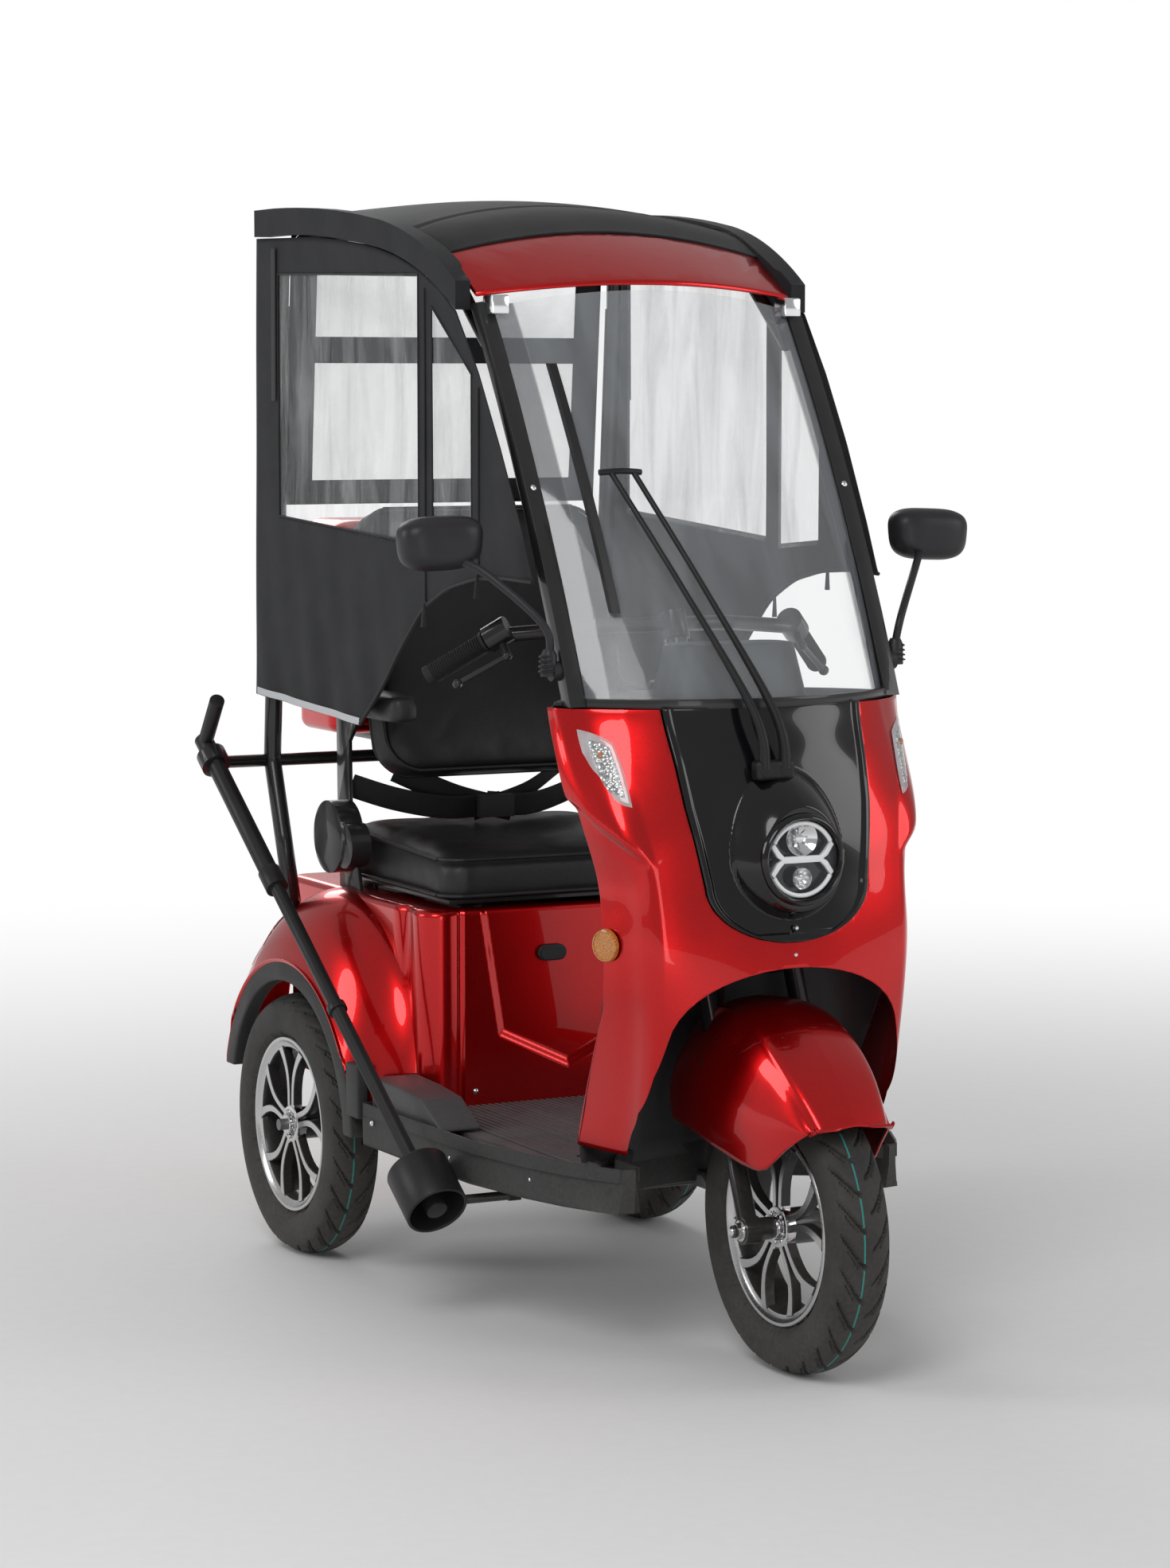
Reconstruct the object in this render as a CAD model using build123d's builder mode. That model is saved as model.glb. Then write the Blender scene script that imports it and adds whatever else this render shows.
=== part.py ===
"""Electric tricycle with a canopy, as separate pieces in one frame.

Millimetres. +X is the rider's left, the vehicle faces -Y, the floor is Z = 0, and the origin lies
on the floor under the middle of the overall box. In comments, nose means towards -Y.
"""
from build123d import *
import os
from math import cos, radians, sin, sqrt, tan

os.makedirs("parts", exist_ok=True)

# Running gear
OVERALL_LENGTH = 1602.0
WHEELBASE = 1050.0
REAR_TRACK = 598.0
TYRE_RADIUS = 208.0
TYRE_HALF_WIDTH = 42.0
RIM_RADIUS = 140.0
RIM_HALF_WIDTH = 33.0
BEAD_RADIUS = 127.0
HUB_RADIUS = 27.0
HUB_HALF_WIDTH = 38.0
AXLE_RADIUS = 9.0
AXLE_CLEARANCE = 0.5
SPOKE_PAIRS = 5
SPOKE_DEPTH = 14.0
SPOKE_FACE_X = 29.0

FRONT_AXLE_Y = TYRE_RADIUS - OVERALL_LENGTH / 2
REAR_AXLE_Y = FRONT_AXLE_Y + WHEELBASE
AXLE_Z = TYRE_RADIUS

# Steering
RAKE = 22.0
FORK_OFFSET = 30.0
STEM_RADIUS = 15.0
HEAD_TUBE_RADIUS = 26.0
STEM_CLEARANCE = 0.5
FORK_LEG_X = 74.0
FORK_LEG_RADIUS = 14.0
YOKE_Z = 545.0
BAR_RADIUS = 11.0
GRIP_RADIUS = 16.0

# Levels and walls of the bodywork
FLOOR_TOP_Z = 270.0
FLOOR_PLATE = 8.0
BELT_Z = 934.0
SEAT_BOX_TOP_Z = 585.0
WALL = 4.0
SEAM = 0.3
PANEL_GAP = 1.0
SKIRT_BOTTOM_Z = 225.0
SKIRT_TOP_Z = 290.0
SKIRT_WALL = 6.0
MAT_THICKNESS = 6.0
WELL_HALF_WIDTH = 228.0
WELL_REAR_Y = -340.0

# Seat box, fenders and trims
SEAT_BOX_FRONT_Y = 125.0
SEAT_BOX_HALF_WIDTH = 244.0
BODY_REAR_Y = 660.0
TRIM_OUTER_RADIUS = 262.0
TRIM_INNER_RADIUS = 230.0
TRIM_OUTER_X = 337.0
TRIM_WIDTH = 26.0

# Seat
CUSHION_HALF_WIDTH = 222.0
CUSHION_FRONT_Y = 98.0
CUSHION_REAR_Y = 520.0
CUSHION_BOTTOM_Z = 600.0
BACK_HALF_WIDTH = 224.2
BACK_LEAN = 17.0
BACK_HEIGHT = 445.0
BACK_THICKNESS = 88.0
BACK_FRONT_Y = 298.0
BACK_BOTTOM_Z = 778.0
BRACKET_X = BACK_HALF_WIDTH + SEAM
BRACKET_THICKNESS = 6.0
HUB_Y = 448.0
HUB_Z = 668.0
ARM_PIVOT_Y = 405.0
ARM_PIVOT_Z = 885.0
ARM_PIN_RADIUS = 6.0

# Canopy
PANE = 4.0
SHEET = 3.0
CLEAR_SHEET = 1.6
ROOF_SKIN = 10.0
RAIL_RADIUS = 11.0
POST_RADIUS = 14.0
POST_X = 297.0
ROOF_REAR_Y = 592.0

# Rear box
BOX_FRONT_Y = 606.0
BOX_REAR_Y = OVERALL_LENGTH / 2
BOX_HALF_WIDTH = 176.0
BOX_BOTTOM_Z = 815.0
BOX_SPLIT_Z = 1045.0
BOX_TOP_Z = 1165.0
BOX_WALL = 4.0
LID_GAP = 1.0


def axis_y(z):
    """Where the raked steering axis is at a height."""
    return FRONT_AXLE_Y + FORK_OFFSET + (z - AXLE_Z) * tan(radians(RAKE))


def leg_y(z):
    """Where the fork legs are at a height: parallel to the steering axis, through the axle."""
    return FRONT_AXLE_Y + (z - AXLE_Z) * tan(radians(RAKE))


def polar(radius, angle):
    """A point by its radius and angle in degrees."""
    return (radius * cos(radians(angle)), radius * sin(radians(angle)))


def block(x, y, z, mode=Mode.ADD):
    """A box between two values on each axis, in the builder that is open."""
    with Locations(((x[0] + x[1]) / 2, (y[0] + y[1]) / 2, (z[0] + z[1]) / 2)):
        Box(x[1] - x[0], y[1] - y[0], z[1] - z[0], mode=mode)


def rod(start, end, radius, mode=Mode.ADD):
    """A round bar between two points, in the builder that is open."""
    run = Vector(*end) - Vector(*start)
    with BuildSketch(Plane(origin=start, z_dir=run)) as disc:
        Circle(radius)
    extrude(disc.sketch, amount=run.length, mode=mode)


def tube(points, radius, bend):
    """A bent bar along the points, with an arc at each corner."""
    with BuildPart() as run:
        with BuildLine() as route:
            FilletPolyline(*points, radius=bend)
        with BuildSketch(Plane(origin=route.line @ 0, z_dir=route.line % 0)):
            Circle(radius)
        sweep()
    return run.part


def mirrored(points, side):
    """The same points on one side of the vehicle."""
    return [(side * x, y, z) for x, y, z in points]


def write(piece, name):
    """Labels a finished piece and writes it."""
    piece.label = name
    export_step(piece, f"parts/{name}.step")


# Wheels: one rim and one tyre about the X axis with the outer face towards +X, placed three times
FLANGE = 4.0
SPOKE_OUTLINE = (
    # radius, angle from the middle of its pair
    (HUB_RADIUS - 6, 4.0),
    (74.0, 5.5),
    (BEAD_RADIUS - 2, 15.0),
    (BEAD_RADIUS - 2, 23.0),
    (78.0, 15.0),
    (HUB_RADIUS - 6, 34.0),
)
with BuildPart() as rim_model:
    with BuildSketch(Plane.XY):
        with BuildLine():
            Polyline(
                (-RIM_HALF_WIDTH, RIM_RADIUS - 10),
                (-RIM_HALF_WIDTH, RIM_RADIUS),
                (-RIM_HALF_WIDTH + FLANGE, RIM_RADIUS),
                (-RIM_HALF_WIDTH + FLANGE + 2, BEAD_RADIUS),
                (RIM_HALF_WIDTH - FLANGE - 2, BEAD_RADIUS),
                (RIM_HALF_WIDTH - FLANGE, RIM_RADIUS),
                (RIM_HALF_WIDTH, RIM_RADIUS),
                (RIM_HALF_WIDTH, RIM_RADIUS - 10),
                (RIM_HALF_WIDTH - 4, BEAD_RADIUS - 6),
                (-RIM_HALF_WIDTH + 4, BEAD_RADIUS - 6),
                close=True,
            )
        make_face()
    revolve(axis=Axis.X)
    with BuildSketch(Plane.YZ.offset(SPOKE_FACE_X - SPOKE_DEPTH)):
        with PolarLocations(0, SPOKE_PAIRS):
            for side in (-1, 1):
                Polygon(*[polar(r, side * a) for r, a in SPOKE_OUTLINE], align=None)
    extrude(amount=SPOKE_DEPTH)
    with BuildSketch(Plane.YZ.offset(-HUB_HALF_WIDTH)):
        Circle(HUB_RADIUS)
    extrude(amount=2 * HUB_HALF_WIDTH)
    with BuildSketch(Plane.YZ.offset(-HUB_HALF_WIDTH)):
        Circle(AXLE_RADIUS + AXLE_CLEARANCE)
    extrude(amount=2 * HUB_HALF_WIDTH, mode=Mode.SUBTRACT)

BEAD_SEAT = BEAD_RADIUS + SEAM
with BuildPart() as tyre_model:
    with BuildSketch(Plane.XY):
        with BuildLine():
            half_bead = RIM_HALF_WIDTH - FLANGE - 2.5
            flank = RIM_HALF_WIDTH + 3
            shoulder_x = TYRE_HALF_WIDTH - 6
            shoulder_r = TYRE_RADIUS - 13
            waist_r = (RIM_RADIUS + TYRE_RADIUS) / 2 - 4
            Polyline((-half_bead, BEAD_SEAT), (half_bead, BEAD_SEAT), (half_bead + 1.5, RIM_RADIUS + 1.5))
            Line((half_bead + 1.5, RIM_RADIUS + 1.5), (flank, RIM_RADIUS + 3))
            ThreePointArc((flank, RIM_RADIUS + 3), (TYRE_HALF_WIDTH, waist_r), (shoulder_x, shoulder_r))
            ThreePointArc((shoulder_x, shoulder_r), (0, TYRE_RADIUS), (-shoulder_x, shoulder_r))
            ThreePointArc((-shoulder_x, shoulder_r), (-TYRE_HALF_WIDTH, waist_r), (-flank, RIM_RADIUS + 3))
            Polyline((-flank, RIM_RADIUS + 3), (-half_bead - 1.5, RIM_RADIUS + 1.5), (-half_bead, BEAD_SEAT))
        make_face()
    revolve(axis=Axis.X)

WHEELS = (
    # name, x, y, turn about Z that points the outer face out
    ("front", 0.0, FRONT_AXLE_Y, 180),
    ("left", REAR_TRACK / 2, REAR_AXLE_Y, 0),
    ("right", -REAR_TRACK / 2, REAR_AXLE_Y, 180),
)
for name, x, y, turn in WHEELS:
    for kind, model in (("rim", rim_model), ("tyre", tyre_model)):
        with BuildPart() as wheel_piece:
            add(model.part.rotate(Axis.Z, turn).moved(Location((x, y, AXLE_Z))))
        write(wheel_piece.part, f"{kind}_{name}")

# Chassis: two rails under the floor that kick up over the rear axle, a head tube and cross members
FRAME_RADIUS = 16.0
FRAME_X = 110.0
FRAME_Z = 231.0
FRAME_FRONT_Y = WELL_REAR_Y + 26
FRAME_REAR_Y = 600.0
KICK_Z = 340.0
KICK_Y = (290.0, 360.0)
ARM_PIVOT_REAR_Y = KICK_Y[0] - 40
HEAD_TUBE_Z = (575.0, 700.0)
DOWN_TUBE_Y = FRONT_AXLE_Y + TYRE_RADIUS + 25
FLOOR_UNDER_Z = FLOOR_TOP_Z - FLOOR_PLATE
rails = [
    tube(
        mirrored(
            (
                (FRAME_X, FRAME_FRONT_Y, FRAME_Z),
                (FRAME_X, KICK_Y[0], FRAME_Z),
                (FRAME_X, KICK_Y[1], KICK_Z),
                (FRAME_X, FRAME_REAR_Y, KICK_Z),
            ),
            side,
        ),
        FRAME_RADIUS,
        50,
    )
    for side in (-1, 1)
]
down_tube = tube(
    (
        (0, axis_y(620) + HEAD_TUBE_RADIUS / 2, 620),
        (0, DOWN_TUBE_Y, 530),
        (0, DOWN_TUBE_Y, FRAME_Z),
    ),
    12,
    40,
)
with BuildPart() as chassis_frame:
    add(rails)
    add(down_tube)
    rod((-FRAME_X, FRAME_FRONT_Y + 2, FRAME_Z), (FRAME_X, FRAME_FRONT_Y + 2, FRAME_Z), FRAME_RADIUS - 3)
    block((-16, 16), (DOWN_TUBE_Y, FRAME_FRONT_Y + 2), (FRAME_Z - 12, FRAME_Z + 12))
    for y in (-172.0, -20.0, 100.0):
        block((-250, 250), (y - 15, y + 15), (FRAME_Z, FLOOR_UNDER_Z - SEAM))
    for y in (KICK_Y[1] + 30, FRAME_REAR_Y - FRAME_RADIUS):
        rod((-FRAME_X, y, KICK_Z), (FRAME_X, y, KICK_Z), FRAME_RADIUS - 3)
    for side in (-1, 1):
        for y in (KICK_Y[1] + 50, FRAME_REAR_Y - 40):
            rod((side * FRAME_X, y, KICK_Z - 5), (side * FRAME_X, y, SEAT_BOX_TOP_Z - WALL - SEAM), 11)
    head_low = (0, axis_y(HEAD_TUBE_Z[0]), HEAD_TUBE_Z[0])
    head_high = (0, axis_y(HEAD_TUBE_Z[1]), HEAD_TUBE_Z[1])
    rod(head_low, head_high, HEAD_TUBE_RADIUS)
    rod(head_low, head_high, STEM_RADIUS + STEM_CLEARANCE, mode=Mode.SUBTRACT)
write(chassis_frame.part, "chassis_frame")

# Battery: one plain block that stands on the floor pan under the seat
BATTERY = (300.0, 100.0, 250.0)
BATTERY_Y = SEAT_BOX_FRONT_Y + WALL + 6
with BuildPart() as battery_pack:
    block(
        (-BATTERY[0] / 2, BATTERY[0] / 2),
        (BATTERY_Y, BATTERY_Y + BATTERY[1]),
        (FLOOR_TOP_Z + SEAM, FLOOR_TOP_Z + SEAM + BATTERY[2]),
    )
write(battery_pack.part, "battery_pack")

# Rear axle: tube, motor with its differential, drums, stub shafts and two trailing arms
AXLE_TUBE_RADIUS = 24.0
MOTOR_RADIUS = 62.0
DRUM_RADIUS = 58.0
ARM_X = 154.0
hub_inner_x = REAR_TRACK / 2 - HUB_HALF_WIDTH
with BuildPart() as rear_axle:
    rod((-hub_inner_x + 26, REAR_AXLE_Y, AXLE_Z), (hub_inner_x - 26, REAR_AXLE_Y, AXLE_Z), AXLE_TUBE_RADIUS)
    rod((20, REAR_AXLE_Y, AXLE_Z), (150, REAR_AXLE_Y, AXLE_Z), MOTOR_RADIUS)
    rod((-30, REAR_AXLE_Y, AXLE_Z), (20, REAR_AXLE_Y, AXLE_Z), MOTOR_RADIUS + 14)
    for side in (-1, 1):
        rod(
            (side * (hub_inner_x - 27), REAR_AXLE_Y, AXLE_Z),
            (side * (hub_inner_x - 2), REAR_AXLE_Y, AXLE_Z),
            DRUM_RADIUS,
        )
        rod(
            (side * (hub_inner_x - 20), REAR_AXLE_Y, AXLE_Z),
            (side * (REAR_TRACK / 2 + HUB_HALF_WIDTH + 12), REAR_AXLE_Y, AXLE_Z),
            AXLE_RADIUS,
        )
        rod((side * ARM_X, ARM_PIVOT_REAR_Y, FRAME_Z), (side * ARM_X, REAR_AXLE_Y, AXLE_Z), 12)
        rod(
            (side * (FRAME_X + FRAME_RADIUS + SEAM), ARM_PIVOT_REAR_Y, FRAME_Z),
            (side * (ARM_X + 14), ARM_PIVOT_REAR_Y, FRAME_Z),
            14,
        )
write(rear_axle.part, "rear_axle")

# Rear shock absorbers: coil units that stand on the axle tube and reach the kicked-up rails
SHOCK_X = 178.0
SHOCK_RADIUS = 22.0
with BuildPart() as rear_shocks:
    for side in (-1, 1):
        low = (side * SHOCK_X, REAR_AXLE_Y, AXLE_Z + AXLE_TUBE_RADIUS + SEAM)
        rod(low, (side * SHOCK_X, REAR_AXLE_Y, KICK_Z - 6), SHOCK_RADIUS)
        block(
            tuple(sorted((side * (FRAME_X + FRAME_RADIUS + SEAM), side * SHOCK_X))),
            (REAR_AXLE_Y - 10, REAR_AXLE_Y + 10),
            (KICK_Z - 8, KICK_Z + 8),
        )
write(rear_shocks.part, "rear_shocks")


def fender_form(inset, inner_x, low):
    """One rear fender on the rider's left, lofted outwards from the seat box down to a height."""
    lip_radius = TRIM_OUTER_RADIUS + WALL + SEAM
    spring = FLOOR_TOP_Z + 12
    lip_reach = sqrt(lip_radius**2 - (spring - AXLE_Z) ** 2)
    rows = (
        # x, front y, top z, rear y
        (inner_x, SEAT_BOX_FRONT_Y + 25, SEAT_BOX_TOP_Z, 700.0),
        (300.0, SEAT_BOX_FRONT_Y + 55, 543.0, 712.0),
        (TRIM_OUTER_X - 3, REAR_AXLE_Y - lip_reach, AXLE_Z + lip_radius, REAR_AXLE_Y + lip_reach),
    )
    with BuildPart() as form:
        for x, front, top, rear in rows:
            with BuildSketch(Plane.YZ.offset(x)):
                with BuildLine():
                    ThreePointArc((front + inset, spring), (REAR_AXLE_Y, top - inset), (rear - inset, spring))
                    Polyline((rear - inset, spring), (rear - inset, low), (front + inset, low), (front + inset, spring))
                make_face()
        loft()
    return form.part


# Rear body: the hollow seat box with both fenders, open below and at the wheels
body_bottom_z = FLOOR_TOP_Z + SEAM
fender_outer = fender_form(0, SEAT_BOX_HALF_WIDTH - 10, body_bottom_z)
fender_inner = fender_form(WALL, SEAT_BOX_HALF_WIDTH, FLOOR_TOP_Z - 20)
with BuildPart() as rear_body:
    block(
        (-SEAT_BOX_HALF_WIDTH, SEAT_BOX_HALF_WIDTH),
        (SEAT_BOX_FRONT_Y, BODY_REAR_Y),
        (body_bottom_z, SEAT_BOX_TOP_Z),
    )
    fillet(rear_body.edges().filter_by(Axis.Z).group_by(Axis.Y)[0], 26)
    add(fender_outer)
    add(mirror(fender_outer, about=Plane.YZ))
    block(
        (-SEAT_BOX_HALF_WIDTH + WALL, SEAT_BOX_HALF_WIDTH - WALL),
        (SEAT_BOX_FRONT_Y + WALL, BODY_REAR_Y - WALL),
        (FLOOR_TOP_Z - 20, SEAT_BOX_TOP_Z - WALL),
        mode=Mode.SUBTRACT,
    )
    add(fender_inner, mode=Mode.SUBTRACT)
    add(mirror(fender_inner, about=Plane.YZ), mode=Mode.SUBTRACT)
    for side in (-1, 1):
        rod(
            (side * SEAT_BOX_HALF_WIDTH, REAR_AXLE_Y, AXLE_Z),
            (side * (TRIM_OUTER_X + 10), REAR_AXLE_Y, AXLE_Z),
            TRIM_OUTER_RADIUS + SEAM,
            mode=Mode.SUBTRACT,
        )
write(rear_body.part, "rear_body")

# Arch trims: the black lips round the rear wheel openings, open below
with BuildPart() as arch_trims:
    for side in (-1, 1):
        inner = (side * (TRIM_OUTER_X - TRIM_WIDTH), REAR_AXLE_Y, AXLE_Z)
        outer = (side * TRIM_OUTER_X, REAR_AXLE_Y, AXLE_Z)
        rod(inner, outer, TRIM_OUTER_RADIUS)
    for side in (-1, 1):
        inner = (side * (TRIM_OUTER_X - TRIM_WIDTH - 1), REAR_AXLE_Y, AXLE_Z)
        outer = (side * (TRIM_OUTER_X + 1), REAR_AXLE_Y, AXLE_Z)
        rod(inner, outer, TRIM_INNER_RADIUS, mode=Mode.SUBTRACT)
    block((-400, 400), (REAR_AXLE_Y - 400, REAR_AXLE_Y), (-100, AXLE_Z + 20), mode=Mode.SUBTRACT)
    block((-400, 400), (REAR_AXLE_Y, REAR_AXLE_Y + 400), (-100, AXLE_Z + 62), mode=Mode.SUBTRACT)
write(arch_trims.part, "arch_trims")

# Floor tub: plate, side skirts and the two prongs that reach under the leg shields
TUB_REAR_Y = SEAT_BOX_FRONT_Y + 45
TUB_PAN_REAR_Y = BATTERY_Y + BATTERY[1] + 10
TUB_FRONT_Y = -604.0
TUB_OUTLINE = (
    # half width, y
    (330.0, TUB_REAR_Y),
    (312.0, -206.0),
    (300.0, -470.0),
    (268.0, TUB_FRONT_Y),
)
with BuildPart() as floor_tub:
    with BuildSketch(Plane.XY.offset(SKIRT_BOTTOM_Z)) as tub_plan:
        Polygon(*TUB_OUTLINE, *[(-x, y) for x, y in reversed(TUB_OUTLINE)], align=None)
        with Locations((0, (TUB_REAR_Y + TUB_PAN_REAR_Y) / 2)):
            Rectangle(2 * SEAT_BOX_HALF_WIDTH - 20, TUB_PAN_REAR_Y - TUB_REAR_Y)
        with BuildLine():
            ThreePointArc((-WELL_HALF_WIDTH, -430), (0, WELL_REAR_Y), (WELL_HALF_WIDTH, -430))
            Polyline(
                (WELL_HALF_WIDTH, -430),
                (WELL_HALF_WIDTH, TUB_FRONT_Y - 10),
                (-WELL_HALF_WIDTH, TUB_FRONT_Y - 10),
                (-WELL_HALF_WIDTH, -430),
            )
        make_face(mode=Mode.SUBTRACT)
    extrude(amount=SKIRT_TOP_Z - SKIRT_BOTTOM_Z)
    with BuildSketch(Plane.XY.offset(FLOOR_TOP_Z)):
        add(tub_plan.sketch)
        offset(amount=-SKIRT_WALL)
    extrude(amount=SKIRT_TOP_Z - FLOOR_TOP_Z, mode=Mode.SUBTRACT)
    with BuildSketch(Plane.XY.offset(SKIRT_BOTTOM_Z)):
        add(tub_plan.sketch)
        offset(amount=-SKIRT_WALL)
    extrude(amount=FLOOR_TOP_Z - FLOOR_PLATE - SKIRT_BOTTOM_Z, mode=Mode.SUBTRACT)
    block((-400, 400), (SEAT_BOX_FRONT_Y - 4, 400), (FLOOR_TOP_Z, 400), mode=Mode.SUBTRACT)
    block((-WELL_HALF_WIDTH - 8, WELL_HALF_WIDTH + 8), (-700, WELL_REAR_Y + 8), (FLOOR_TOP_Z, 400), mode=Mode.SUBTRACT)
    block((-20, 20), (WELL_REAR_Y - 10, WELL_REAR_Y + SKIRT_WALL + 2), (200, FRAME_Z + 15), mode=Mode.SUBTRACT)
    pan_half_width = SEAT_BOX_HALF_WIDTH - 10
    block((-pan_half_width, pan_half_width), (TUB_REAR_Y - SKIRT_WALL, 400), (200, FLOOR_UNDER_Z), mode=Mode.SUBTRACT)
write(floor_tub.part, "floor_tub")

# Floor mat: lies on the plate between the skirts, with long ribs
MAT_RIB_PITCH = 14.0
MAT_RIB_HEIGHT = 1.6
with BuildPart() as floor_mat:
    with BuildSketch(Plane.XY.offset(FLOOR_TOP_Z + SEAM)):
        with BuildLine():
            Polyline((272, -424), (292, SEAT_BOX_FRONT_Y - 5), (-292, SEAT_BOX_FRONT_Y - 5), (-272, -424))
            ThreePointArc((-272, -424), (0, WELL_REAR_Y + 14), (272, -424))
        make_face()
    extrude(amount=MAT_THICKNESS)
    with BuildSketch(Plane.XY.offset(FLOOR_TOP_Z + SEAM + MAT_THICKNESS)):
        with GridLocations(MAT_RIB_PITCH, 0, 27, 1):
            with Locations((0, -95)):
                Rectangle(MAT_RIB_PITCH / 2, 400)
    extrude(amount=MAT_RIB_HEIGHT)
write(floor_mat.part, "floor_mat")

# Front cowl: plan sections of the right and left walls joined over the nose, hollow and open behind
COWL_UPPER = (
    # z, nose y, corner x, corner y, side x, side front y, rear y
    (BELT_Z, -520.0, 215.0, -462.0, 283.0, -400.0, -384.0),
    (850.0, -548.0, 228.0, -500.0, 288.0, -455.0, -425.0),
    (768.0, -566.0, 238.0, -552.0, 292.0, -536.0, -468.0),
)
COWL_LOWER = (
    COWL_UPPER[-1],
    (609.0, -590.0, 232.0, -578.0, 284.0, -560.0, -508.0),
    (450.0, -610.0, 222.0, -578.0, 276.0, -548.0, -488.0),
    (304.0, -575.0, 238.0, -548.0, 268.0, -505.0, -432.0),
)


def cowl_form(rows, inset, rise=0.0, drop=0.0):
    """The cowl's outer form, or the same form inset, run on past its ends and open behind."""
    with BuildPart() as form:
        for number, (z, nose_y, corner_x, corner_y, side_x, side_y, rear_y) in enumerate(rows):
            level = z + (rise if number == 0 else 0) - (drop if number == len(rows) - 1 else 0)
            back = rear_y + (40 if inset > 0 else 0)
            with BuildSketch(Plane.XY.offset(level)):
                with BuildLine():
                    ThreePointArc(
                        (-corner_x + inset, corner_y + inset),
                        (0, nose_y + inset),
                        (corner_x - inset, corner_y + inset),
                    )
                    Polyline(
                        (corner_x - inset, corner_y + inset),
                        (side_x - inset, side_y + inset),
                        (side_x - inset, back),
                        (-side_x + inset, back),
                        (-side_x + inset, side_y + inset),
                        (-corner_x + inset, corner_y + inset),
                    )
                make_face()
        loft()
    return form.part


cowl_upper = cowl_form(COWL_UPPER, 0)
cowl_lower = cowl_form(COWL_LOWER, 0)
cowl_upper_core = cowl_form(COWL_UPPER, WALL, rise=2)
cowl_lower_core = cowl_form(COWL_LOWER, WALL, drop=2)

NOSE_OUTLINE = ((161.0, BELT_Z + 4), (150.0, 800.0), (128.0, 680.0))
NOSE_LOW_Z = 609.0
ARCH_TOP_Z = 572.0


def nose_outline(shrink):
    """The front view of the nose panel, with its bottom as an arc."""
    with BuildSketch(Plane.XZ.offset(300)) as front_view:
        with BuildLine():
            right = [(-x, z) for x, z in reversed(NOSE_OUTLINE)]
            Polyline(*NOSE_OUTLINE)
            ThreePointArc(NOSE_OUTLINE[-1], (0, NOSE_LOW_Z), right[0])
            Polyline(*right)
            Line(right[-1], NOSE_OUTLINE[0])
        make_face()
        if shrink:
            offset(amount=-shrink)
    return front_view.sketch


with BuildPart() as cowl_shell:
    add(cowl_upper)
    add(cowl_lower)
    add(cowl_upper_core, mode=Mode.SUBTRACT)
    add(cowl_lower_core, mode=Mode.SUBTRACT)

with BuildPart() as front_cowl:
    add(cowl_shell.part)
    extrude(nose_outline(0), amount=400, mode=Mode.SUBTRACT)
    with BuildSketch(Plane.XZ.offset(250)):
        with BuildLine():
            Polyline((-178, 505), (-218, 380), (-WELL_HALF_WIDTH, 290), (WELL_HALF_WIDTH, 290), (218, 380), (178, 505))
            ThreePointArc((178, 505), (0, ARCH_TOP_Z), (-178, 505))
        make_face()
    extrude(amount=500, mode=Mode.SUBTRACT)
write(front_cowl.part, "front_cowl")

# Nose panel: fills the opening in the cowl and bulges round the headlamp
LAMP_Z = 728.0
LAMP_FACE_Y = -612.0
LAMP_RADIUS = 60.0
BULGE_RADIUS = 80.0
with BuildPart() as nose_panel:
    add(cowl_shell.part)
    extrude(nose_outline(PANEL_GAP), amount=400, mode=Mode.INTERSECT)
    rod((0, -552, LAMP_Z), (0, LAMP_FACE_Y, LAMP_Z), BULGE_RADIUS)
    fillet(nose_panel.edges().filter_by(GeomType.CIRCLE).group_by(Axis.Y)[0], 9)
    rod((0, LAMP_FACE_Y + 14, LAMP_Z), (0, LAMP_FACE_Y - 1, LAMP_Z), LAMP_RADIUS + 1, mode=Mode.SUBTRACT)
write(nose_panel.part, "nose_panel")

# Headlamp: reflector disc with its cross bars, behind a clear lens
with BuildPart() as headlamp:
    rod((0, LAMP_FACE_Y + 14 - SEAM, LAMP_Z), (0, LAMP_FACE_Y + 8, LAMP_Z), LAMP_RADIUS)
    block((-34, 34), (LAMP_FACE_Y + 4, LAMP_FACE_Y + 8), (LAMP_Z - 5, LAMP_Z + 5))
write(headlamp.part, "headlamp")
with BuildPart() as headlamp_lens:
    rod((0, LAMP_FACE_Y + 3.7, LAMP_Z), (0, LAMP_FACE_Y - 4, LAMP_Z), LAMP_RADIUS)
    fillet(headlamp_lens.edges().filter_by(GeomType.CIRCLE).group_by(Axis.Y)[0], 3)
write(headlamp_lens.part, "headlamp_lens")

# Inner shield: a curved wall behind the front wheel that closes the cowl, one crescent at each level
SHIELD_MIDDLE_Y = (-215.0, -254.0, -292.0, -322.0, -338.0, WELL_REAR_Y + 7)
SHIELD_ROWS = [
    # z, side x, side y, middle rear y
    (z, side_x - WALL - PANEL_GAP, rear_y - 3, middle_y)
    for (z, _, _, _, side_x, _, rear_y), middle_y in zip(COWL_UPPER + COWL_LOWER[1:], SHIELD_MIDDLE_Y)
]
SHIELD_ROWS.append((FLOOR_TOP_Z + SEAM, *SHIELD_ROWS[-1][1:]))
with BuildPart() as inner_shield:
    for z, side_x, side_y, rear_y in SHIELD_ROWS:
        with BuildSketch(Plane.XY.offset(z)):
            with BuildLine():
                ThreePointArc((-side_x, side_y), (0, rear_y), (side_x, side_y))
                Line((side_x, side_y), (side_x - WALL - 2, side_y))
                ThreePointArc((side_x - WALL - 2, side_y), (0, rear_y - WALL), (-side_x + WALL + 2, side_y))
                Line((-side_x + WALL + 2, side_y), (-side_x, side_y))
            make_face()
    loft(ruled=True)
write(inner_shield.part, "inner_shield")

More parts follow.
